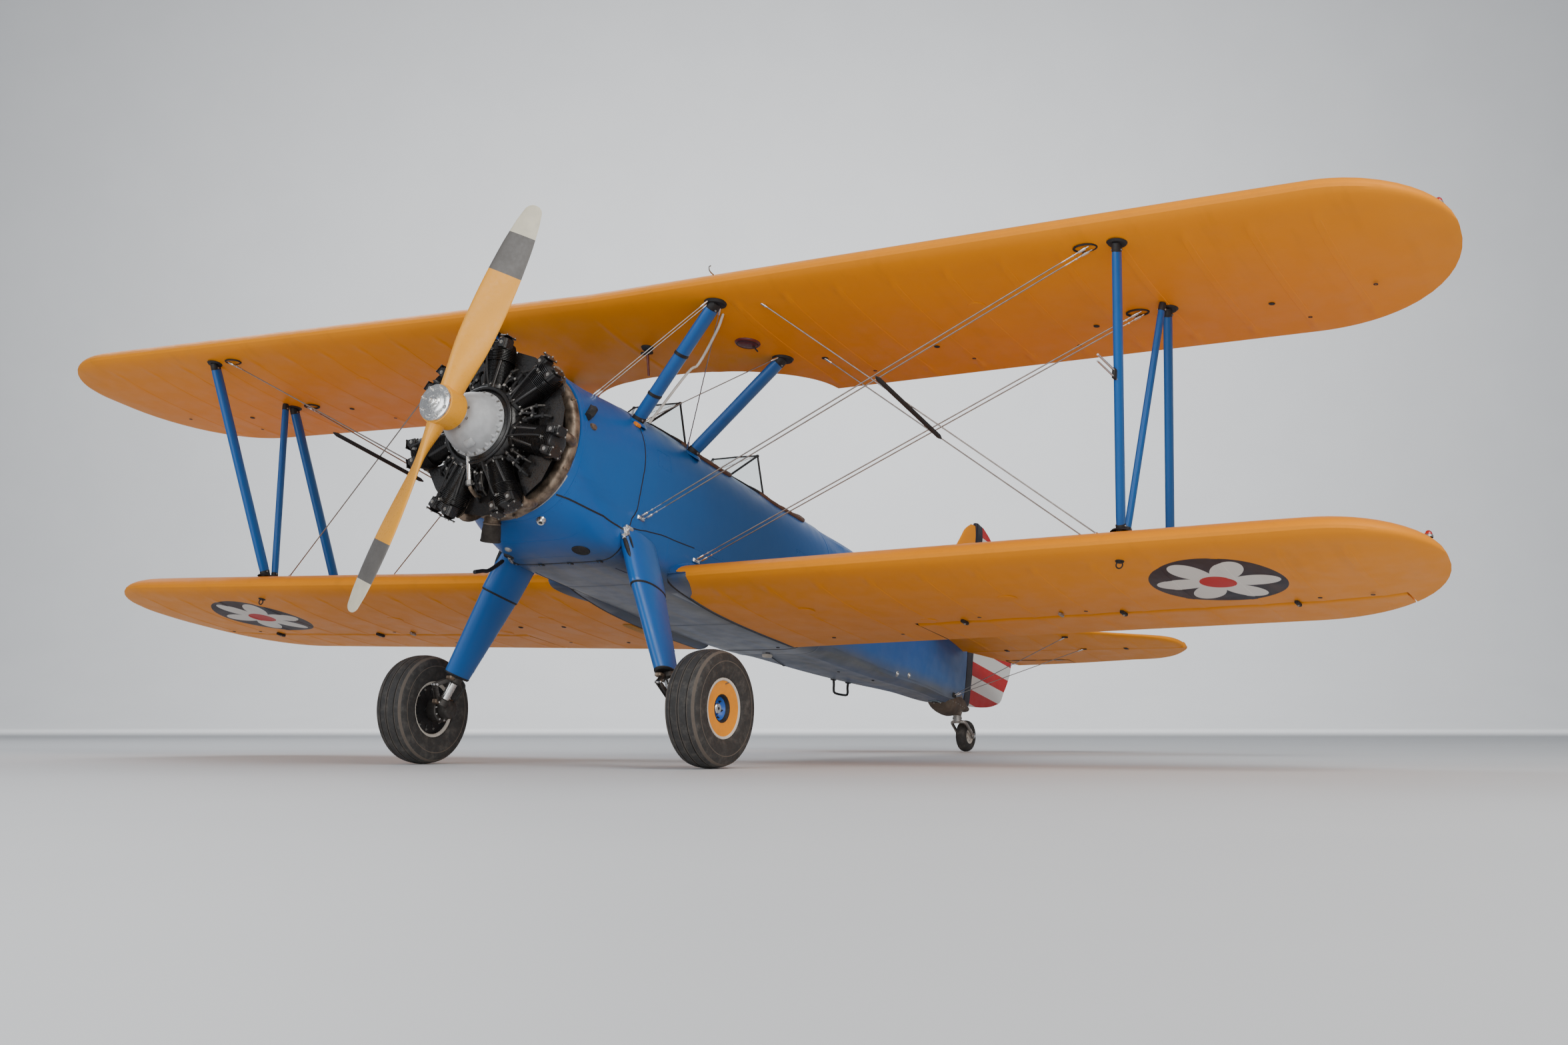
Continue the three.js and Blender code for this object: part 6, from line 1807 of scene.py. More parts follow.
def oleo_parts(side, label, foot, end):
    """The sliding piston, its knuckle and axle, the torque link and the brake line."""
    oleo = Shape()
    drop = unit(end - foot)
    start = foot + drop * 0.0006
    stop = end + drop * 0.026
    length = np.linalg.norm(stop - start)
    rows = [(0, 0), (0.040, 0.0), (0.042, 0.004), (0.042, 0.030), (0.037, 0.036), (0.0325, 0.040)]
    oleo.turned(rows + [(0.028, 0.042), (0, 0.042)], drop, start, 26, 1)
    oleo.turned([(0.0265, 0.03), (0.0265, length - 0.03), (0.0, length - 0.03)], drop, start, 26, 0)
    oleo.turned([(0.030, length - 0.050), (0.036, length - 0.044), (0.038, length - 0.01), (0.030, length),
                 (0, length)], drop, start, 26, 1)
    # the forged knuckle between the piston's end and the axle, and a bronze pin bracket in front
    hull = [stop + drop * -0.045, vec(side * 0.838, 1.415, -1.352), vec(side * 0.842, 1.440, -1.362)]
    oleo.tube(hull, [0.033, 0.040, 0.050], 18, 1)
    oleo.block(start + vec(-side * 0.010, -0.062, -0.018), (0.040, 0.046, 0.026), 0.006, None, 3)
    oleo.block(stop + vec(0, -0.048, 0.020), (0.036, 0.040, 0.030), 0.006, None, 3)
    hub = lambda x: vec(side * x, WHEEL.y, WHEEL.z)
    way = vec(side, 0, 0)
    oleo.turned([(0, 0.806), (0.046, 0.806), (0.054, 0.812), (0.058, 0.822), (0.058, 0.860), (0.052, 0.872),
                 (0, 0.874)], way,
                vec(0, WHEEL.y, WHEEL.z), 28, 1)
    oleo.turned([(0.03, 0.872), (0.072, 0.8745), (0.078, 0.880), (0.078, 0.940), (0.074, 0.9455),
                 (0.03, 0.946)], way,
                vec(0, WHEEL.y, WHEEL.z), 40, 1)
    for d in wheel_spokes(10):
        oleo.bolt(hub(0.8745) + d * 0.066, -way, 0.005, 0.005, 0)
    oleo.rod(hub(0.82), hub(1.086), 0.0296, sides=28)
    oleo.turned([(0.0, 0.012), (0.010, 0.011), (0.022, 0.006), (0.026, 0.0)], way, hub(1.075), 6, 1)
    # torque link in front of the piston: two pressed arms with a pin
    a, b = start + vec(0, -0.032, -0.012), stop + vec(0, -0.034, 0.018)
    knee = (a + b) / 2 + vec(0, -0.095, 0.012)
    for p, q in ((a, knee), (knee, b)):
        axis = unit(q - p)
        wide = vec(side, 0, 0)
        flat = np.cross(axis, wide)
        for s in (-1, 1):
            oleo.block((p + q) / 2 + wide * s * 0.012, (0.006, 0.024, np.linalg.norm(q - p) + 0.014), 0.002,
                       [wide, flat, axis], 1)
        oleo.block((p + q) / 2, (0.024, 0.008, np.linalg.norm(q - p) * 0.6), 0.002, [wide, flat, axis], 1)
    for p in (a, knee, b):
        oleo.rod(p - vec(0.022, 0, 0), p + vec(0.022, 0, 0), 0.008, sides=14, paint=0)
    # brake line from the leg's foot to the brake plate
    hose = bent([start + vec(0, 0.035, -0.002), start + vec(-side * 0.02, 0.062, -0.05),
                 stop + vec(-side * 0.045, 0.066, 0.05), hub(0.872) + vec(0, 0.05, 0.03)])
    oleo.tube(hose, 0.006, 10, 2)
    oleo.made(f"gear_oleo_parts_{label}", "airframe", [POLISHED, STEEL_DARK, RUBBER_BLACK, BRONZE], "steel",
              [f"gear_oleo_{label}"])


def wheel(side, label):
    centre = vec(side * WHEEL.x, WHEEL.y, WHEEL.z)
    body = f"main_wheel_{label}"
    way = vec(side, 0, 0)
    half = [(0.1690, -0.0800), (0.1700, -0.0880), (0.1760, -0.0935), (0.1900, -0.0975), (0.2150, -0.1025),
            (0.2400, -0.1050), (0.2560, -0.1056), (0.2575, -0.1046), (0.2600, -0.1046), (0.2615, -0.1056),
            (0.2760, -0.1046), (0.2920, -0.1000), (0.3020, -0.0945), (0.3090, -0.0872), (0.3130, -0.0800),
            (0.3180, -0.0640), (0.3196, -0.0575), (0.3200, -0.0550), (0.3150, -0.0538), (0.3150, -0.0486),
            (0.3214, -0.0474), (0.3248, -0.0250), (0.3253, -0.0080), (0.3254, -0.0052), (0.3204, -0.0040),
            (0.3204, 0.0)]
    full = half + [(r, -d) for r, d in half[-2::-1]]
    worn = {6, 7, 8, 12, 13, 16, 22}
    shape = Shape()
    shape.turned(full + [full[0]], way, centre, 112, lambda r,
                 i: 1 if min(r, len(full) - 2 - r) in worn else 0)
    shape.made(f"tyre_rubber_{label}", body, [TYRE, TYRE_WORN], "tyre", [f"tyre_{label}"], 30)
    disc = Shape()
    face = [(0.0310, 0.020), (0.0350, 0.022), (0.0500, 0.034), (0.0640, 0.056), (0.0700, 0.072),
            (0.0730, 0.0755), (0.0790, 0.0755), (0.0820, 0.0745), (0.1000, 0.0760), (0.1300, 0.0790),
            (0.1480, 0.0810), (0.1520, 0.0825), (0.1540, 0.0860), (0.1600, 0.0885), (0.1660, 0.0880),
            (0.1682, 0.0850), (0.1682, 0.030)]
    bands = [2 if r < 0.0635 else 3 if r < 0.0735 else 0 if r < 0.1515 else 1 for r, _ in face]
    disc.turned(face, way, centre, 72, lambda r, i: bands[r])
    back = [(0.1682, 0.030), (0.1682, -0.0780), (0.1660, -0.0810), (0.1600, -0.0820), (0.1540, -0.0790),
            (0.1480, -0.0700), (0.1440, -0.0560), (0.1380, -0.0470), (0.0980, -0.0440), (0.0310, -0.0440),
            (0.0310, 0.020)]
    back_bands = [1, 1, 1, 1, 1, 3, 3, 3, 3, 3]
    disc.turned(back, way, centre, 72, lambda r, i: back_bands[r])
    for d in wheel_spokes(12):
        disc.bolt(centre + d * 0.122 - way * 0.0455, -way, 0.006, 0.006, 4)
        disc.block(centre + d * 0.104 - way * 0.0475, (0.006, 0.014, 0.026), 0.002,
                   [way, np.cross(way, d), d], 3)
    for d in wheel_spokes(6):
        disc.bolt(centre + d * 0.052 + way * 0.037, way, 0.006, 0.006, 3)
    valve = centre + vec(0, 0, 0.136) + way * 0.078
    disc.rod(valve, valve + way * 0.022 + vec(0, 0, 0.008), 0.004, paint=4)
    disc.made(f"wheel_disc_{label}", body, [WHEEL_YELLOW, WHEEL_WHITE, HUB_BLUE, MATT_BLACK, STEEL],
              "wheel_paint", [f"wheel_{label}"], 35)


# Tail wheel
def tailwheel_housing(up, pivot):
    rows = [(-0.150, 6.440, 0.146, 0.062), (-0.200, 6.455, 0.130, 0.060), (-0.262, 6.470, 0.128, 0.060),
            (-0.305, 6.488, 0.115, 0.057), (-0.330, 6.506, 0.096, 0.053), (-0.346, 6.520, 0.076, 0.047),
            (-0.3555, 6.530, 0.056, 0.040)]
    shape = Shape()
    rings = []
    for z, y, long, wide in rows:
        a = np.arange(36) * 2 * math.pi / 36
        rings.append(np.stack([wide * np.sin(a), y + long * np.cos(a) * (1 + 0.06 * np.cos(a)),
                               np.full(36, z)], 1))
    shape.loft(rings)
    shape.turned([(0.0, 0.085), (0.034, 0.085), (0.034, 0.022), (0.037, 0.020), (0.037, 0.002),
                  (0.034, 0.0), (0.0, 0.0)], up, pivot, 28, 1)
    for z, y, long, wide in rows[1:4]:
        for a in (0.6, 1.3, 2.0, 2.6):
            for s in (-1, 1):
                c, q = math.cos(a), math.sin(a)
                place = vec(s * wide * q, y + long * c * (1 + 0.06 * c), z)
                shape.rivet(place, (s * q, c * 0.4, 0), 0.004, 0.002, 6, 0)
    for k in range(6):
        a = k * math.pi / 3
        d = PORT * math.cos(a) + np.cross(up, PORT) * math.sin(a)
        shape.bolt(pivot + up * 0.010 + d * 0.036, d, 0.005, 0.004, 1)
    shape.made("tailwheel_housing_skin", "airframe", [BARE, STEEL], "steel", ["tailwheel_housing"], 40)


def tailwheel_fairing():
    """The creased canvas fairing in front of the housing: rows of y, half width, top and bottom."""
    fairing = Shape()
    rows = [(6.150, 0.050, -0.316, -0.322), (6.170, 0.074, -0.290, -0.340), (6.210, 0.088, -0.262, -0.362),
            (6.270, 0.096, -0.232, -0.382), (6.340, 0.096, -0.212, -0.392), (6.410, 0.090, -0.202, -0.390),
            (6.470, 0.083, -0.200, -0.366), (6.520, 0.078, -0.204, -0.340), (6.560, 0.074, -0.216, -0.322),
            (6.585, 0.070, -0.234, -0.316), (6.602, 0.067, -0.250, -0.312), (6.650, 0.058, -0.251, -0.306),
            (6.690, 0.044, -0.253, -0.300), (6.715, 0.026, -0.258, -0.290), (6.722, 0.012, -0.266, -0.280)]
    fine = np.linspace(rows[0][0], rows[-1][0], 46)
    rings = []
    for y in fine:
        half, high, low = (np.interp(y, [r[0] for r in rows], [r[k] for r in rows]) for k in (1, 2, 3))
        ring = []
        for a in np.linspace(0, 2 * math.pi, 40, endpoint=False):
            c, n = math.cos(a), math.sin(a)
            crease = 1 + 0.022 * math.sin(a * 5 + y * 46) * math.sin(y * 31)
            rise = signed_power(n, 0.85) * (high - low) / 2 * min(1, crease)
            ring.append(vec(signed_power(c, 0.85) * half * crease, y, (high + low) / 2 + rise))
        rings.append(np.array(ring))
    fairing.loft(rings)
    for side in (-1, 1):
        for k in range(7):
            y = 6.23 + k * 0.05
            half = np.interp(y, [r[0] for r in rows], [r[1] for r in rows])
            fairing.rivet(vec(side * (half + 0.0004), y, -0.296), (side, 0, 0), 0.005, 0.002, 6, 1)
    fairing.made("tailwheel_fairing", "airframe", [TAUPE, STEEL], "steel", (), 40)


def belly_plate():
    plate = Shape()
    spot, n = on_belly(0.035, 6.085)
    across = unit(np.cross(n, AFT))
    plate.block(spot + n * 0.001, (0.074, 0.104, 0.006), 0.002, [across, np.cross(n, across), n])
    plate.turned([(0.0, 0.0046), (0.017, 0.0046), (0.018, 0.008), (0.024, 0.008), (0.026, 0.003)], n, spot,
                 24, 1)
    for u, v in ((-0.028, -0.040), (0.028, -0.040), (-0.028, 0.040), (0.028, 0.040)):
        plate.bolt(spot + across * u + vec(0, v, 0) + n * 0.004, n, 0.005, 0.003, 2)
    plate.made("belly_plate_rear", "airframe", [PALE_PLATE, MATT_BLACK, STEEL], "blue_metal", (), 35)


def tail_fork(up, pivot):
    fork = Shape()
    fork.turned([(0.0, -0.0005), (0.034, -0.0005), (0.036, -0.004), (0.036, -0.012), (0.033, -0.016),
                 (0.030, -0.030), (0.0, -0.030)], up, pivot, 28)
    hub = lambda x: vec(x, TAIL_WHEEL.y, TAIL_WHEEL.z)
    for s in (-1, 1):
        shoulder = pivot + vec(s * 0.020, 0.004, -0.016)
        elbow = pivot + vec(s * 0.058, 0.030, -0.020)
        path = bent([shoulder, elbow, (elbow + hub(s * 0.062)) / 2 + vec(s * 0.002, -0.006, 0.006),
                     hub(s * 0.062)], 6)
        fork.tube(path, [0.014 - 0.003 * t for t in np.linspace(0, 1, len(path))], 14)
        fork.turned([(0, -0.012), (0.020, -0.012), (0.0225, -0.009), (0.0225, 0.009), (0.020, 0.012),
                     (0, 0.012)], (1, 0, 0), hub(s * 0.064), 24)
        fork.turned([(0.014, 0), (0.014, 0.008), (0.0, 0.010)], (s, 0, 0), hub(s * 0.074), 6, 1)
    fork.rod(hub(-0.074), hub(0.074), 0.0088, sides=20, paint=1)
    fork.made("tailwheel_fork_parts", "tail_fork", [STEEL, POLISHED], "steel", ["tailwheel_fork"])


def tailwheel():
    hub = lambda x: vec(x, TAIL_WHEEL.y, TAIL_WHEEL.z)
    tyre_shape = Shape()
    rows = [(0.0100, -0.0340), (0.0200, -0.0345), (0.0240, -0.0300), (0.0480, -0.0280), (0.0560, -0.0340),
            (0.0620, -0.0355)]
    rubber_rows = [(0.0620, -0.0355), (0.0700, -0.0400), (0.0860, -0.0430), (0.1020, -0.0410),
                   (0.1140, -0.0340), (0.1215, -0.0230), (0.1250, -0.0120), (0.1262, 0.0)]
    half = rows + rubber_rows[1:]
    full = half + [(r, -d) for r, d in half[-2::-1]]
    paints = [1 if (full[i][0] + full[i + 1][0]) / 2 < 0.0615 else 0 for i in range(len(full) - 1)]
    tyre_shape.turned(full + [full[0]], (1, 0, 0), hub(0), 80, lambda r, i: (paints + [1])[r])
    for s in (-1, 1):
        for d in wheel_spokes(5):
            tyre_shape.bolt(hub(s * 0.0286) + d * 0.036, (s, 0, 0), 0.004, 0.004, 2)
    tyre_shape.made("tailwheel_tyre", "tail_wheel", [TYRE, WHEEL_WHITE, STEEL], "tyre", ["tailwheel"], 30)


# Wing cell
STRUT_TOP_X, STRUT_FOOT_X, WIRE_TOP_X, CABANE_TOP_X = 3.290, 3.140, 3.145, 0.835


def spar_point(wing, x, aft, surface, lift=0.0):
    top, bottom = airfoil(np.array([aft / CHORD]))
    y = wing["lead"] + aft
    z = chord_plane(wing, x, y) + (top[0] if surface == "top" else bottom[0]) * CHORD
    return vec(x, y, z + lift)


# A strut's dark cuff: distance along it, chord and thickness as shares of the strut's
CUFF = ((-0.016, 0.86, 1.00), (0, 0.92, 1.10), (0.026, 0.96, 1.08), (0.030, 0.94, 1.00))


def strut(shape, a, b, chord, thick):
    """A faired strut whose ends narrow slightly and carry a dark cuff with a bolt through it."""
    a, b = np.array(a), np.array(b)
    lerp = lambda t: a + (b - a) * t
    length = np.linalg.norm(b - a)
    e = 0.05 / length
    ends = [(0, 0.80, 0.72), (e * 0.4, 0.90, 0.86), (e, 0.97, 0.96)]
    rows = ends + [(t, 1, 1) for t in (e * 1.8, 0.3, 0.5, 0.7, 1 - e * 1.8)]
    rows += [(1 - t, c, k) for t, c, k in reversed(ends)]
    teardrop(shape, [(lerp(t), chord * c, thick * k) for t, c, k in rows], 0, 28)
    along = unit(b - a)
    aft = unit(AFT - along * along[1])
    across = np.cross(along, aft)
    for end, way in ((a, along), (b, -along)):
        foot = end + way * 0.012
        cuff = [(foot + way * d, chord * c, thick * k) for d, c, k in CUFF]
        teardrop(shape, cuff if way is along else cuff[::-1], 1, 28)
        pin = end + way * 0.032 - aft * chord * 0.06
        shape.rod(pin - across * (thick * 0.72), pin + across * (thick * 0.72), 0.006, sides=10, paint=2)


def wire_pair(shape, a, b):
    """Two streamlined wires side by side, with a fork and a threaded end at each end."""
    a, b = np.array(a), np.array(b)
    along = unit(b - a)
    wire = 0.0042
    across = unit(AFT - along * along[1]) * 0.022
    for k in (-1, 1):
        p, q = a + across * k, b + across * k
        start, stop = p + along * 0.16, q - along * 0.16
        teardrop(shape, [(start, wire * 1.6, wire * 1.6), (start + along * 0.05, wire * 2.6, wire * 1.5),
                         (stop - along * 0.05, wire * 2.6, wire * 1.5), (stop, wire * 1.6, wire * 1.6)], 0,
                 10)
        for end, way in ((p, along), (q, -along)):
            shape.rod(end, end + way * 0.17, 0.0036, sides=10, paint=1)
            shape.turned([(0, 0.020), (0.0085, 0.021), (0.0085, 0.060), (0.0036, 0.066)], way, end, 10, 1)
            shape.turned([(0.0036, 0.090), (0.0068, 0.091), (0.0068, 0.100), (0.0036, 0.101)], way, end, 6,
                         1)


def lone_wire(shape, a, b, wire):
    a, b = np.array(a, float), np.array(b, float)
    along = unit(b - a)
    shape.rod(a, b, wire, sides=8)
    for end, way in ((a, along), (b, -along)):
        shape.turned([(0, 0.0), (wire * 1.7, 0.001), (wire * 2.1, 0.010), (wire * 2.1, 0.044),
                      (wire, 0.055)], way, end, 10, 1)


def at_spar(wing, x, aft, surface, side, lift=0.0):
    return mirrored(spar_point(wing, x, aft, surface, lift), side)


def interplane_struts(side, label):
    struts = Shape()
    tops = [at_spar(UPPER, STRUT_TOP_X, a, "bottom", side, -0.002) for a in (FRONT_SPAR, REAR_SPAR)]
    feet = [at_spar(LOWER, STRUT_FOOT_X, a, "top", side, 0.002) for a in (FRONT_SPAR, REAR_SPAR)]
    strut(struts, feet[0], tops[0], 0.088, 0.042)
    strut(struts, feet[1], tops[1], 0.088, 0.042)
    strut(struts, feet[0] + vec(0, 0.082, 0.004), tops[1] + vec(0, -0.082, -0.004), 0.060, 0.034)
    for p in feet:
        struts.turned([(0, 0.008), (0.050, 0.007), (0.060, -0.004)], UP, p, 26, 1)
    for p in tops:
        struts.turned([(0, 0.008), (0.046, 0.007), (0.056, -0.004)], -UP, p, 26, 1)
    names = [f"interplane_strut_{n}_{label}" for n in ("front", "rear", "diagonal")]
    struts.made(f"interplane_struts_{label}", "airframe", [BLUE_METAL, MATT_BLACK, STEEL], "blue_metal",
                names, 40)


def cabane_struts(side, label):
    """The four struts below the centre section; returns their feet and tops."""
    cabane = Shape()
    names = []
    ends = {}
    for place, foot, aft in (("front", (0.300, 1.430), FRONT_SPAR), ("rear", (0.300, 2.020), REAR_SPAR)):
        foot = vec(foot[0] * side, foot[1], deck_height(foot[0], foot[1]) - 0.004)
        top = at_spar(UPPER, CABANE_TOP_X, aft, "bottom", side, -0.001)
        ends[place] = (foot, top)
        strut(cabane, foot, top, 0.108, 0.054)
        cabane.turned([(0, 0.010), (0.055, 0.008), (0.072, -0.006)], (0.62 * side, 0, 1),
                      foot + vec(0, 0, 0.002), 26, 0)
        cabane.turned([(0, 0.012), (0.060, 0.010), (0.070, -0.006)], -UP, top, 26, 1)
        names.append(f"cabane_strut_{place}_{label}")
    foot, top = ends["front"]
    along = unit(top - foot)
    for t in (0.22, 0.56):
        c = foot + (top - foot) * t
        band = [(0, 0.104, 0.052), (0.003, 0.114, 0.060), (0.019, 0.114, 0.060), (0.022, 0.104, 0.052)]
        teardrop(cabane, [(c + along * d, chord, thick) for d, chord, thick in band], 1, 28)
    cabane.made(f"cabane_struts_{label}", "airframe", [BLUE_METAL, MATT_BLACK, STEEL], "blue_metal", names,
                40)
    return ends


def wing_wires(side, label, ends):
    """Flying, landing and cabane wires of one side; ends holds the feet and tops of its cabane struts."""
    wires = Shape()
    names = []
    for place, foot, aft in (("front", (0.408, 1.436, -0.250), FRONT_SPAR),
                             ("rear", (0.404, 2.050, -0.335), REAR_SPAR)):
        low = mirrored(foot, side) + vec(side * 0.010, 0, 0)
        high = at_spar(UPPER, WIRE_TOP_X, aft, "bottom", side, -0.004)
        wire_pair(wires, low, high)
        # oval cup where the pair enters the wing, and the lug they are pinned to
        cup = at_spar(UPPER, WIRE_TOP_X, aft, "bottom", side)
        oval = loop(cup + vec(side * -0.030, 0, -0.001), vec(0.062, 0, 0.0035 * side), AFT * 0.040)
        wires.tube(oval, 0.006, 8, 2, False)
        wires.block(low + vec(side * -0.012, 0, 0), (0.030, 0.070, 0.030), 0.005, None, 1)
        names.append(f"flying_wires_{place}_{label}")
    for place, aft in (("front", FRONT_SPAR), ("rear", REAR_SPAR)):
        high = at_spar(UPPER, 1.090, aft, "bottom", side, 0.004) + vec(0, 0.075, 0)
        low = at_spar(LOWER, STRUT_FOOT_X - 0.130, aft, "top", side, -0.004) + vec(0, 0.075, 0)
        lone_wire(wires, low, high, 0.0042)
        names.append(f"landing_wire_{place}_{label}")
        for p, n in ((high, -UP), (low, UP)):
            wires.turned([(0, 0.004), (0.020, 0.003), (0.024, -0.004)], n, p, 16, 2)
    # cabane bracing, crossed fore and aft, and one wire across
    front, rear = ends["front"], ends["rear"]
    lone_wire(wires, front[0] + vec(0, 0.05, 0.02), rear[1] + vec(0, -0.05, -0.006), 0.0032)
    lone_wire(wires, rear[0] + vec(0, -0.05, 0.02), front[1] + vec(0, 0.05, -0.006), 0.0032)
    nose_foot = mirrored((0.235, 1.08, deck_height(0.235, 1.08)), side)
    for dy in (-0.012, 0.012):
        lone_wire(wires, nose_foot + vec(0, dy, 0), front[1] + vec(-side * 0.02, -0.045 + dy, -0.004),
                  0.0030)
    # the javelin that keeps the flying wires apart
    a, b = vec(1.98 * side, 1.26, 0.407), vec(1.956 * side, 2.123, 0.35)
    wires.tube([a + (b - a) * t for t in (0, 0.04, 0.96, 1)], [0.005, 0.0135, 0.0135, 0.005], 14, 2)
    wires.made(f"wires_{label}", "airframe", [STEEL, POLISHED, MATT_BLACK], "steel", names, 40)


def below_wing(wing, x, aft, side):
    """A place on the underside of a wing, and its normal."""
    p, q = spar_point(wing, x, aft, "bottom"), spar_point(wing, x, aft + 0.01, "bottom")
    n = unit(np.cross(vec(1, 0, math.tan(math.radians(wing["dihedral"]))), q - p))
    return mirrored(p, side), mirrored(n if n[2] < 0 else -n, side)


def wing_fittings(side, label):
    """Drain rings, inspection spots, patches and hinge brackets below one side's wings."""
    patch = Shape()
    under = lambda wing, x, aft: below_wing(wing, x, aft, side)
    for wing, xs in ((UPPER, (1.29, 1.96, 2.63, 3.97, 4.40)),
                     (LOWER, (0.80, 1.29, 1.96, 2.63, 3.97, 4.25))):
        for x in xs:
            aft = 1.30 if x < 4.3 and not (wing is LOWER and x > 1.4) else 0.98
            p, n = under(wing, x, aft)
            patch.turned([(0.004, 0.0012), (0.005, 0.0022), (0.012, 0.0018), (0.013, -0.0005)], n, p, 16, 0)
    if side < 0:
        # two sewn patches and two inspection spots below the starboard wing
        for x, aft, long, wide, paint in ((0.434, 0.904, 0.150, 0.045, 3), (2.30, 1.381, 0.045, 0.080, 4)):
            rows = []
            for grow, lift in ((1.03, -0.0006), (1.0, 0.0012), (0.93, 0.0020)):
                ring = []
                for c, q in squared_circle(40, 0.5):
                    p, n = under(LOWER, x + q * wide * grow, aft + c * long * grow)
                    ring.append(p + n * lift)
                rows.append(np.array(ring))
            patch.loft(rows, paint)
        for x, aft in ((0.988, 0.819), (1.364, 0.834)):
            p, n = under(LOWER, x, aft)
            patch.turned([(0, 0.003), (0.012, 0.003), (0.016, 0.001), (0.018, -0.002)], n, p, 18, 0)
    for wing, x, aft, r in ((LOWER, 0.98, 0.62, 0.055), (LOWER, 2.30, 0.62, 0.055),
                            (UPPER, 2.30, 0.60, 0.05), (LOWER, 1.62, 1.0, 0.05)):
        p, n = under(wing, x, aft)
        patch.turned([(0, 0.0016), (r, 0.0014), (r + 0.003, -0.001)], n, p, 32, 2)
        patch.turned([(0, 0.0026), (r * 0.8, 0.0022), (r * 0.83, 0.0005)], n, p, 32, 2)
    # aileron hinge brackets below, and the gap seal fairings
    for reach in (0.33, 1.33, 2.33):
        x = AILERON["inner"] + reach
        p, n = under(LOWER, x, AILERON["hinge"] - LOWER["lead"] - 0.055)
        patch.block(p + n * 0.006, (0.022, 0.080, 0.020), 0.004, None, 0)
        patch.bolt(p + n * 0.014, n, 0.007, 0.006, 1)
        p, n = under(UPPER, x, 1.06)
        patch.turned([(0, 0.002), (0.016, 0.0015), (0.018, -0.001)], n, p, 18, 0)
    # control rod fairing between the wing cells' rear spar and the aileron
    p, n = under(LOWER, 2.47, 1.00)
    patch.block(p + n * 0.008, (0.018, 0.060, 0.020), 0.005, None, 1)
    # tie-down ring below the front strut foot
    p, n = under(LOWER, STRUT_FOOT_X, FRONT_SPAR)
    patch.tube(loop(p + n * 0.022, PORT * 0.018, UP * 0.018, 20), 0.004, 8, 0, False)
    patch.turned([(0, 0.006), (0.022, 0.005), (0.026, -0.003)], n, p, 20, 0)
    patch.made(f"wing_small_fittings_{label}", "airframe",
               [MATT_BLACK, STEEL, YELLOW_FABRIC, TAN_PATCH, GREY_PATCH], "wing_fabric", (), 35)


def wing_root_collar(side, label):
    """A metal fillet where the lower wing meets the fuselage, with a black strip of painted shade along its
    underside for the gap there.
    """
    collar = Shape()
    rings = []
    for share in [-0.010] + list(0.5 - 0.5 * np.cos(np.linspace(0, math.pi, 34))):
        y = LOWER["lead"] + CHORD * share
        top, bottom = airfoil(np.array([min(max(share, 0.0), 1.0)]))
        top, bottom = top[0] * CHORD + 0.0016, bottom[0] * CHORD
        under = lambda x: chord_plane(LOWER, x, y) + bottom
        over = lambda x: chord_plane(LOWER, x, y) + top
        half, wide, _, down, _, square = section(y)
        belly = lambda x: wide - down * (1 - (x / half) ** square) ** (1 / square)
        fat = math.sin(math.pi * min(max(share, 0.0), 1.0)) ** 0.5
        side_x = abs(skin_at(y, over(0.40) + 0.030)[0]) + 0.0012
        outer = 0.380 + 0.130 * max(0.0, min(1.0, (2.06 - y) / 0.20)) ** 0.6
        ring = [(outer, under(outer) + 0.0030), (outer - 0.005, under(outer) - 0.0016),
                (0.376, under(0.376) - 0.0018), (0.374, under(0.374) - 0.0012),
                (0.362, under(0.362) - 0.0012), (0.360, under(0.360) - 0.0018),
                (0.300, belly(0.300) - 0.0014), (0.290, belly(0.290) + 0.010), (0.350, under(0.350) + 0.05),
                (side_x - 0.02, over(0.4) + 0.012), (side_x, over(0.4) + 0.030 * fat),
                (max(side_x, 0.409), over(0.41) + 0.012 * fat), (0.428, over(0.428) + 0.0014),
                (0.436, over(0.436) - 0.0022)]
        rings.append(np.array([(x * side, y, z) for x, z in ring]))
    # the black faces under the root are painted shade standing for the gap between wing and belly
    collar.loft(rings, lambda r, i: 1 if i in (2, 3, 4) else 0)
    collar.made(f"wing_root_collar_{label}", "airframe", [BLUE_HULL, MATT_BLACK], "blue_metal", (), 40)


def wingtip_lamps(side, label):
    lamps = Shape()
    for wing, x, y in ((UPPER, 4.83, 1.60), (LOWER, 4.655, 2.25)):
        z = chord_plane(wing, x, y) + 0.004
        lead, trail = planform(wing, x)
        share = (y - lead) / (trail - lead)
        top, _ = airfoil(np.array([max(share, 0.02)]))
        spot = vec(x * side, y, z + top[0] * (trail - lead))
        lamps.turned([(0.024, -0.006), (0.024, 0.004), (0.021, 0.008)], UP, spot, 20, 1)
        rows = [(0.0205, 0.005), (0.020, 0.014), (0.015, 0.024), (0.007, 0.030), (0, 0.031)]
        lamps.turned(rows, UP, spot, 20, 0)
    lamps.made(f"wingtip_lamps_{label}", "airframe", [RED_GLASS if side > 0 else GREEN_GLASS, STEEL],
               "glass")


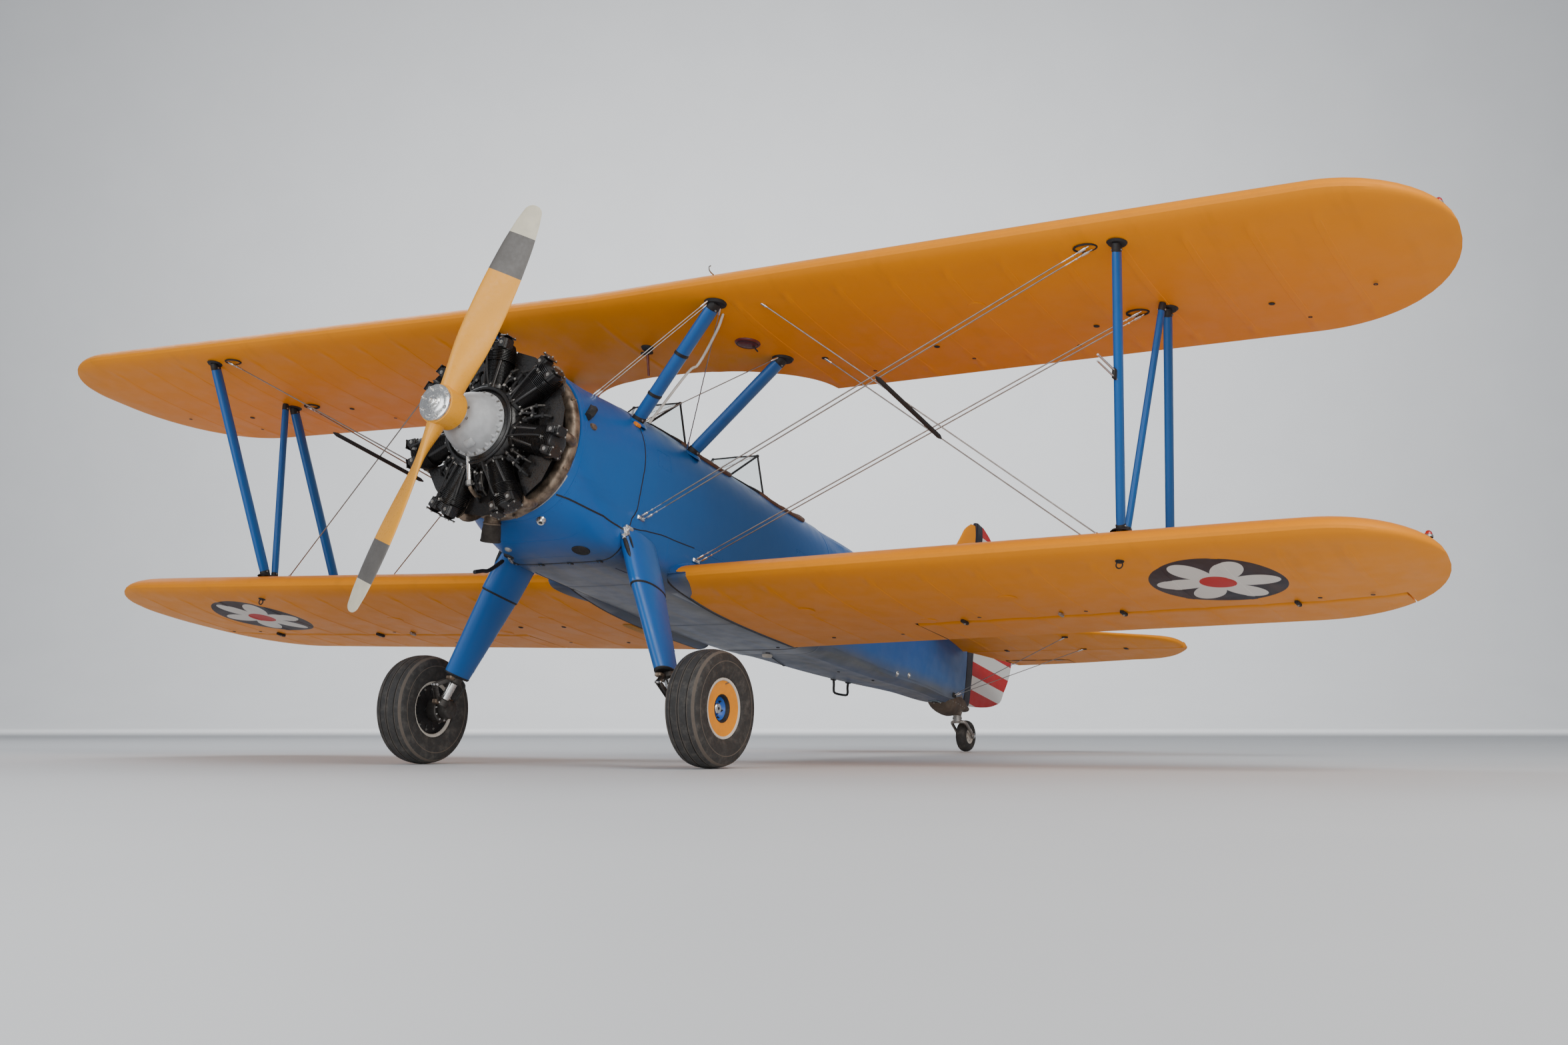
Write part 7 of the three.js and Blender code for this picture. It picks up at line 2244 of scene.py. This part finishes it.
def center_details():
    """The fuel gauge, drain and other small things under the centre section."""
    shape = Shape()
    spot = lambda x, aft: spar_point(UPPER, x, aft, "bottom")
    gauge = spot(0.755, 0.665)
    shape.turned([(0, 0.012), (0.060, 0.012), (0.072, 0.009), (0.078, 0.002), (0.079, -0.004)], -UP, gauge,
                 40, 2)
    shape.turned([(0.060, 0.010), (0.064, 0.0135), (0.068, 0.010)], -UP, gauge, 40, 0)
    shape.rod(gauge + vec(0.02, 0.03, -0.010), gauge + vec(0.045, 0.055, -0.040), 0.005, sides=8, paint=0)
    # a drain cock: a round base, a cross handle and a dark red rod that hangs from it
    drain = spot(0.101, 0.549)
    shape.turned([(0, 0.026), (0.016, 0.024), (0.030, 0.014), (0.038, 0.004), (0.042, -0.004)], -UP, drain,
                 26, 0)
    shape.rod(drain + vec(0, 0, -0.010), vec(0.105, 1.745, 0.775), 0.0085, 0.007, 14, 2)
    shape.rod(drain + vec(-0.040, 0, -0.034), drain + vec(0.040, 0, -0.034), 0.012, sides=14, paint=0)
    hook = vec(0.905, UPPER["lead"] + 0.004, chord_plane(UPPER, 0.905, UPPER["lead"]) + 0.035)
    shape.tube(bent([hook + vec(0, 0.01, 0), hook + vec(0, -0.030, 0.006), hook + vec(0, -0.044, 0.026),
                     hook + vec(0, -0.030, 0.040)]), 0.004, 8, 1)
    filler_y = UPPER["lead"] + 0.45
    filler = vec(0.0, filler_y, chord_plane(UPPER, 0, filler_y) + airfoil(np.array([0.3]))[0][0] * CHORD)
    shape.turned([(0, 0.020), (0.026, 0.018), (0.034, 0.010), (0.036, 0.004), (0.050, 0.002),
                  (0.052, -0.004)], UP, filler, 28, 1)
    # white fuel hose down the port front cabane strut
    a = vec(0.815, UPPER["lead"] + FRONT_SPAR + 0.10,
            spar_point(UPPER, 0.8, FRONT_SPAR, "bottom")[2] - 0.003)
    b = vec(0.335, 1.505, deck_height(0.30, 1.50) + 0.015)
    middle = (a + b) / 2
    hose = [a + vec(0.0, 0.02, 0.0), a + vec(-0.05, 0.045, -0.10), middle + vec(0.05, 0.06, 0.04),
            middle + vec(0.005, 0.02, -0.03), b]
    shape.tube(bent(hose), 0.008, 12, 3)
    mark = vec(0.338, 1.385, deck_height(0.338, 1.385) + 0.010)
    shape.block(mark, (0.034, 0.050, 0.024), 0.006, [vec(1, 0, -0.8), AFT, vec(0.8, 0, 1)], 4)
    shape.made("center_section_fittings", "airframe",
               [MATT_BLACK, STEEL, DARK_RED, WHEEL_WHITE, ORANGE_MARK], "steel", (), 38)
    pitot = Shape()
    above = spar_point(UPPER, STRUT_TOP_X, FRONT_SPAR, "bottom")
    base = above * 0.55 + spar_point(LOWER, STRUT_FOOT_X, FRONT_SPAR, "top") * 0.45
    pitot.rod(base + vec(0, -0.02, 0), base + vec(0, -0.30, 0), 0.007, 0.006, 14, 0)
    pitot.rod(base + vec(0, -0.02, -0.035), base + vec(0, -0.30, -0.035), 0.006, 0.005, 14, 0)
    pitot.block(base + vec(0, -0.062, -0.017), (0.016, 0.040, 0.060), 0.004, None, 1)
    pitot.made("pitot_heads", "airframe", [POLISHED, MATT_BLACK], "steel")


# Tail rigging and fittings
def tail_details():
    shape = Shape()
    for side in (1, -1):
        low = mirrored((0.10, 6.27, -0.250), side)
        low[0] = side * (abs(skin_at(6.27, -0.250)[0]) + 0.004)
        for x, y in ((1.107, 6.055), (1.106, 6.439)):
            lone_wire(shape, mirrored((x, y, TAIL_Z - 0.026), side), low + vec(0, (y - 6.25) * 0.05, 0),
                      0.0032)
        for y in (6.055, 6.439):
            spot = mirrored((1.107, y, TAIL_Z - 0.027), side)
            shape.block(spot, (0.050, 0.016, 0.010), 0.003, None, 2)
            on_fin = mirrored((0.021, 6.28 if y < 6.2 else 6.44, 0.80), side)
            lone_wire(shape, on_fin, mirrored((1.107, y, TAIL_Z + 0.026), side), 0.0030)
            shape.block(on_fin, (0.010, 0.030, 0.022), 0.003, None, 2)
        shape.block(low, (0.014, 0.060, 0.036), 0.004, None, 2)
        shape.bolt(low + vec(side * 0.007, 0, 0), (side, 0, 0), 0.007, 0.006, 2)
        for x in (0.45, 1.45):
            for s in (-1, 1):
                shape.block(vec(side * x, TAIL_HINGE - 0.030, TAIL_Z + s * 0.0265), (0.030, 0.050, 0.006),
                            0.002, None, 2)
    shape.made("tail_bracing", "airframe", [STEEL, POLISHED, MATT_BLACK], "steel", (), 38)

    tabs = Shape()
    xs = np.linspace(TAB["inner"], TAB["outer"], 9)
    for side in (1, -1):
        line = [mirrored((x, TAB["front"], TAIL_Z), side) for x in xs]
        trail = [mirrored((x, eased(TAIL_OUTLINE, x, 2) - 0.012, TAIL_Z), side) for x in xs]
        for s in (-1, 1):
            lift = 0.024 * (1 - 0.8 * (TAB["front"] - TAIL_HINGE) / 0.56) + 0.0006
            tabs.tube([p + UP * s * lift for p in line], 0.0022, 6, 0)
            for k in (0, -1):
                tabs.tube([line[k] + UP * s * lift, trail[k] + UP * s * 0.0052], 0.0018, 6, 0)
        for x in (0.34, 0.73):
            ends = [mirrored((x + dx, TAB["front"], TAIL_Z - 0.012), side) for dx in (-0.03, 0.03)]
            tabs.rod(*ends, 0.005, sides=10, paint=1)
    tabs.made("trim_tab_lines", "elevators", [MATT_BLACK, STEEL], "steel")


for side_name, side_sign in SIDES:
    upper_wing(side_sign, side_name)
    lower_wing(side_sign, side_name)
    aileron(side_sign, side_name)
    stabilizer(side_sign, side_name)
    elevator(side_sign, side_name)
    gear(side_sign, side_name)
    interplane_struts(side_sign, side_name)
    wing_wires(side_sign, side_name, cabane_struts(side_sign, side_name))
    wing_fittings(side_sign, side_name)
    wing_root_collar(side_sign, side_name)
    wingtip_lamps(side_sign, side_name)
center_section()
center_details()
fin()
rudder()
nose_cowl()
forward_fuselage()
rear_fuselage()
fuselage_details()
for pit_name, pit_sizes in COCKPITS.items():
    coaming(pit_name, pit_sizes)
    cockpit_seat(pit_name, pit_sizes["seat"])
    cockpit_panel(pit_name, pit_sizes["panel"])
    cockpit_controls(pit_name, pit_sizes["seat"], pit_sizes["panel"])
    windscreen(pit_name, pit_sizes)
cockpit_floor()
crankcase()
cylinders("upper", (0, 1, 6, 2))
cylinders("lower", (3, 4, 5))
nose_case()
collector()
propeller()
post, swivel = unit(TURN_NP.T @ UP), vec(*TAIL_PIVOT)
tailwheel_housing(post, swivel)
tailwheel_fairing()
belly_plate()
tail_fork(post, swivel)
tailwheel()
tail_details()


# Floor and backdrop, soft lights and camera
AZIMUTH, DISTANCE, EYE = 31.0, 13.2, 0.28
FLOOR_GREY = (0.62, 0.63, 0.64)


def stage():
    """A floor that bends up into a backdrop, beyond the places where a camera may stand."""
    near, edge, bend, top, half = -48, 34, 9, 34, 62
    angles = np.radians(np.linspace(10, 90, 9))
    curve = [(edge + bend * math.sin(t), bend - bend * math.cos(t)) for t in angles]
    profile = [(near, 0), (edge, 0)] + curve + [(edge + bend, top)]
    turn = Matrix.Rotation(math.radians(AZIMUTH), 3, "Z")
    bm = bmesh.new()
    rows = [[bm.verts.new(turn @ Vector((x, y, z - 0.001))) for x in (-half, half)] for y, z in profile]
    for a, b in zip(rows, rows[1:]):
        bm.faces.new((a[0], a[1], b[1], b[0])).smooth = True
    floor = Paint("studio_floor", FLOOR_GREY, 0.6)
    shade = floor.spread(floor.noise(0.6, 3), 0.3, 0.7, 0, 0.25)
    floor.set_color(floor.mix(shade, FLOOR_GREY, (0.56, 0.57, 0.585)))
    obj = linked("studio_floor", bm, [floor.material])


def light(name, place, aim, size, power, color=(1, 1, 1)):
    data = bpy.data.lights.new(name, "AREA")
    data.shape, data.size, data.size_y = "RECTANGLE", size[0], size[1]
    data.energy, data.color = power, color
    obj = bpy.data.objects.new(name, data)
    obj.location = place
    obj.rotation_euler = (Vector(aim) - Vector(place)).to_track_quat("-Z", "Y").to_euler()
    bpy.context.scene.collection.objects.link(obj)


stage()
scene = bpy.context.scene
world = bpy.data.worlds.new("studio")
world.use_nodes = True
world.node_tree.nodes["Background"].inputs["Color"].default_value = (0.84, 0.88, 0.95, 1)
world.node_tree.nodes["Background"].inputs["Strength"].default_value = 0.42
scene.world = world

to_eye = Vector((math.sin(math.radians(AZIMUTH)), -math.cos(math.radians(AZIMUTH)), 0))
right = Vector((math.cos(math.radians(AZIMUTH)), math.sin(math.radians(AZIMUTH)), 0))
light("key", to_eye * 11 + right * 7 + Vector((0, 0, 10)), (0, 0, 1.2), (8, 8), 1250, (1, 0.97, 0.92))
light("fill", to_eye * 12 - right * 10 + Vector((0, 0, 6)), (0, 0, 1.0), (9, 7), 700, (0.94, 0.97, 1))
light("front", to_eye * 19 + Vector((0, 0, 3.2)), (0, 0, 1.3), (14, 5), 900, (1, 0.98, 0.95))
light("back", to_eye * -8 - right * 7 + Vector((0, 0, 11)), (0, 0, 1.5), (9, 6), 800, (0.95, 0.97, 1))
light("backdrop", to_eye * -22 + Vector((0, 0, 15)), to_eye * -42 + Vector((0, 0, 5)), (34, 8), 9000)

lens = bpy.data.cameras.new("camera")
lens.sensor_width, lens.lens = 36.0, 44.0
lens.clip_start, lens.clip_end = 0.1, 200.0
eye = bpy.data.objects.new("camera", lens)
eye.location = to_eye * DISTANCE + Vector((0, 0, EYE))
eye.rotation_euler = (Vector((0, 0, 1.62)) - eye.location).to_track_quat("-Z", "Y").to_euler()
scene.collection.objects.link(eye)
scene.camera = eye

bpy.context.view_layer.update()
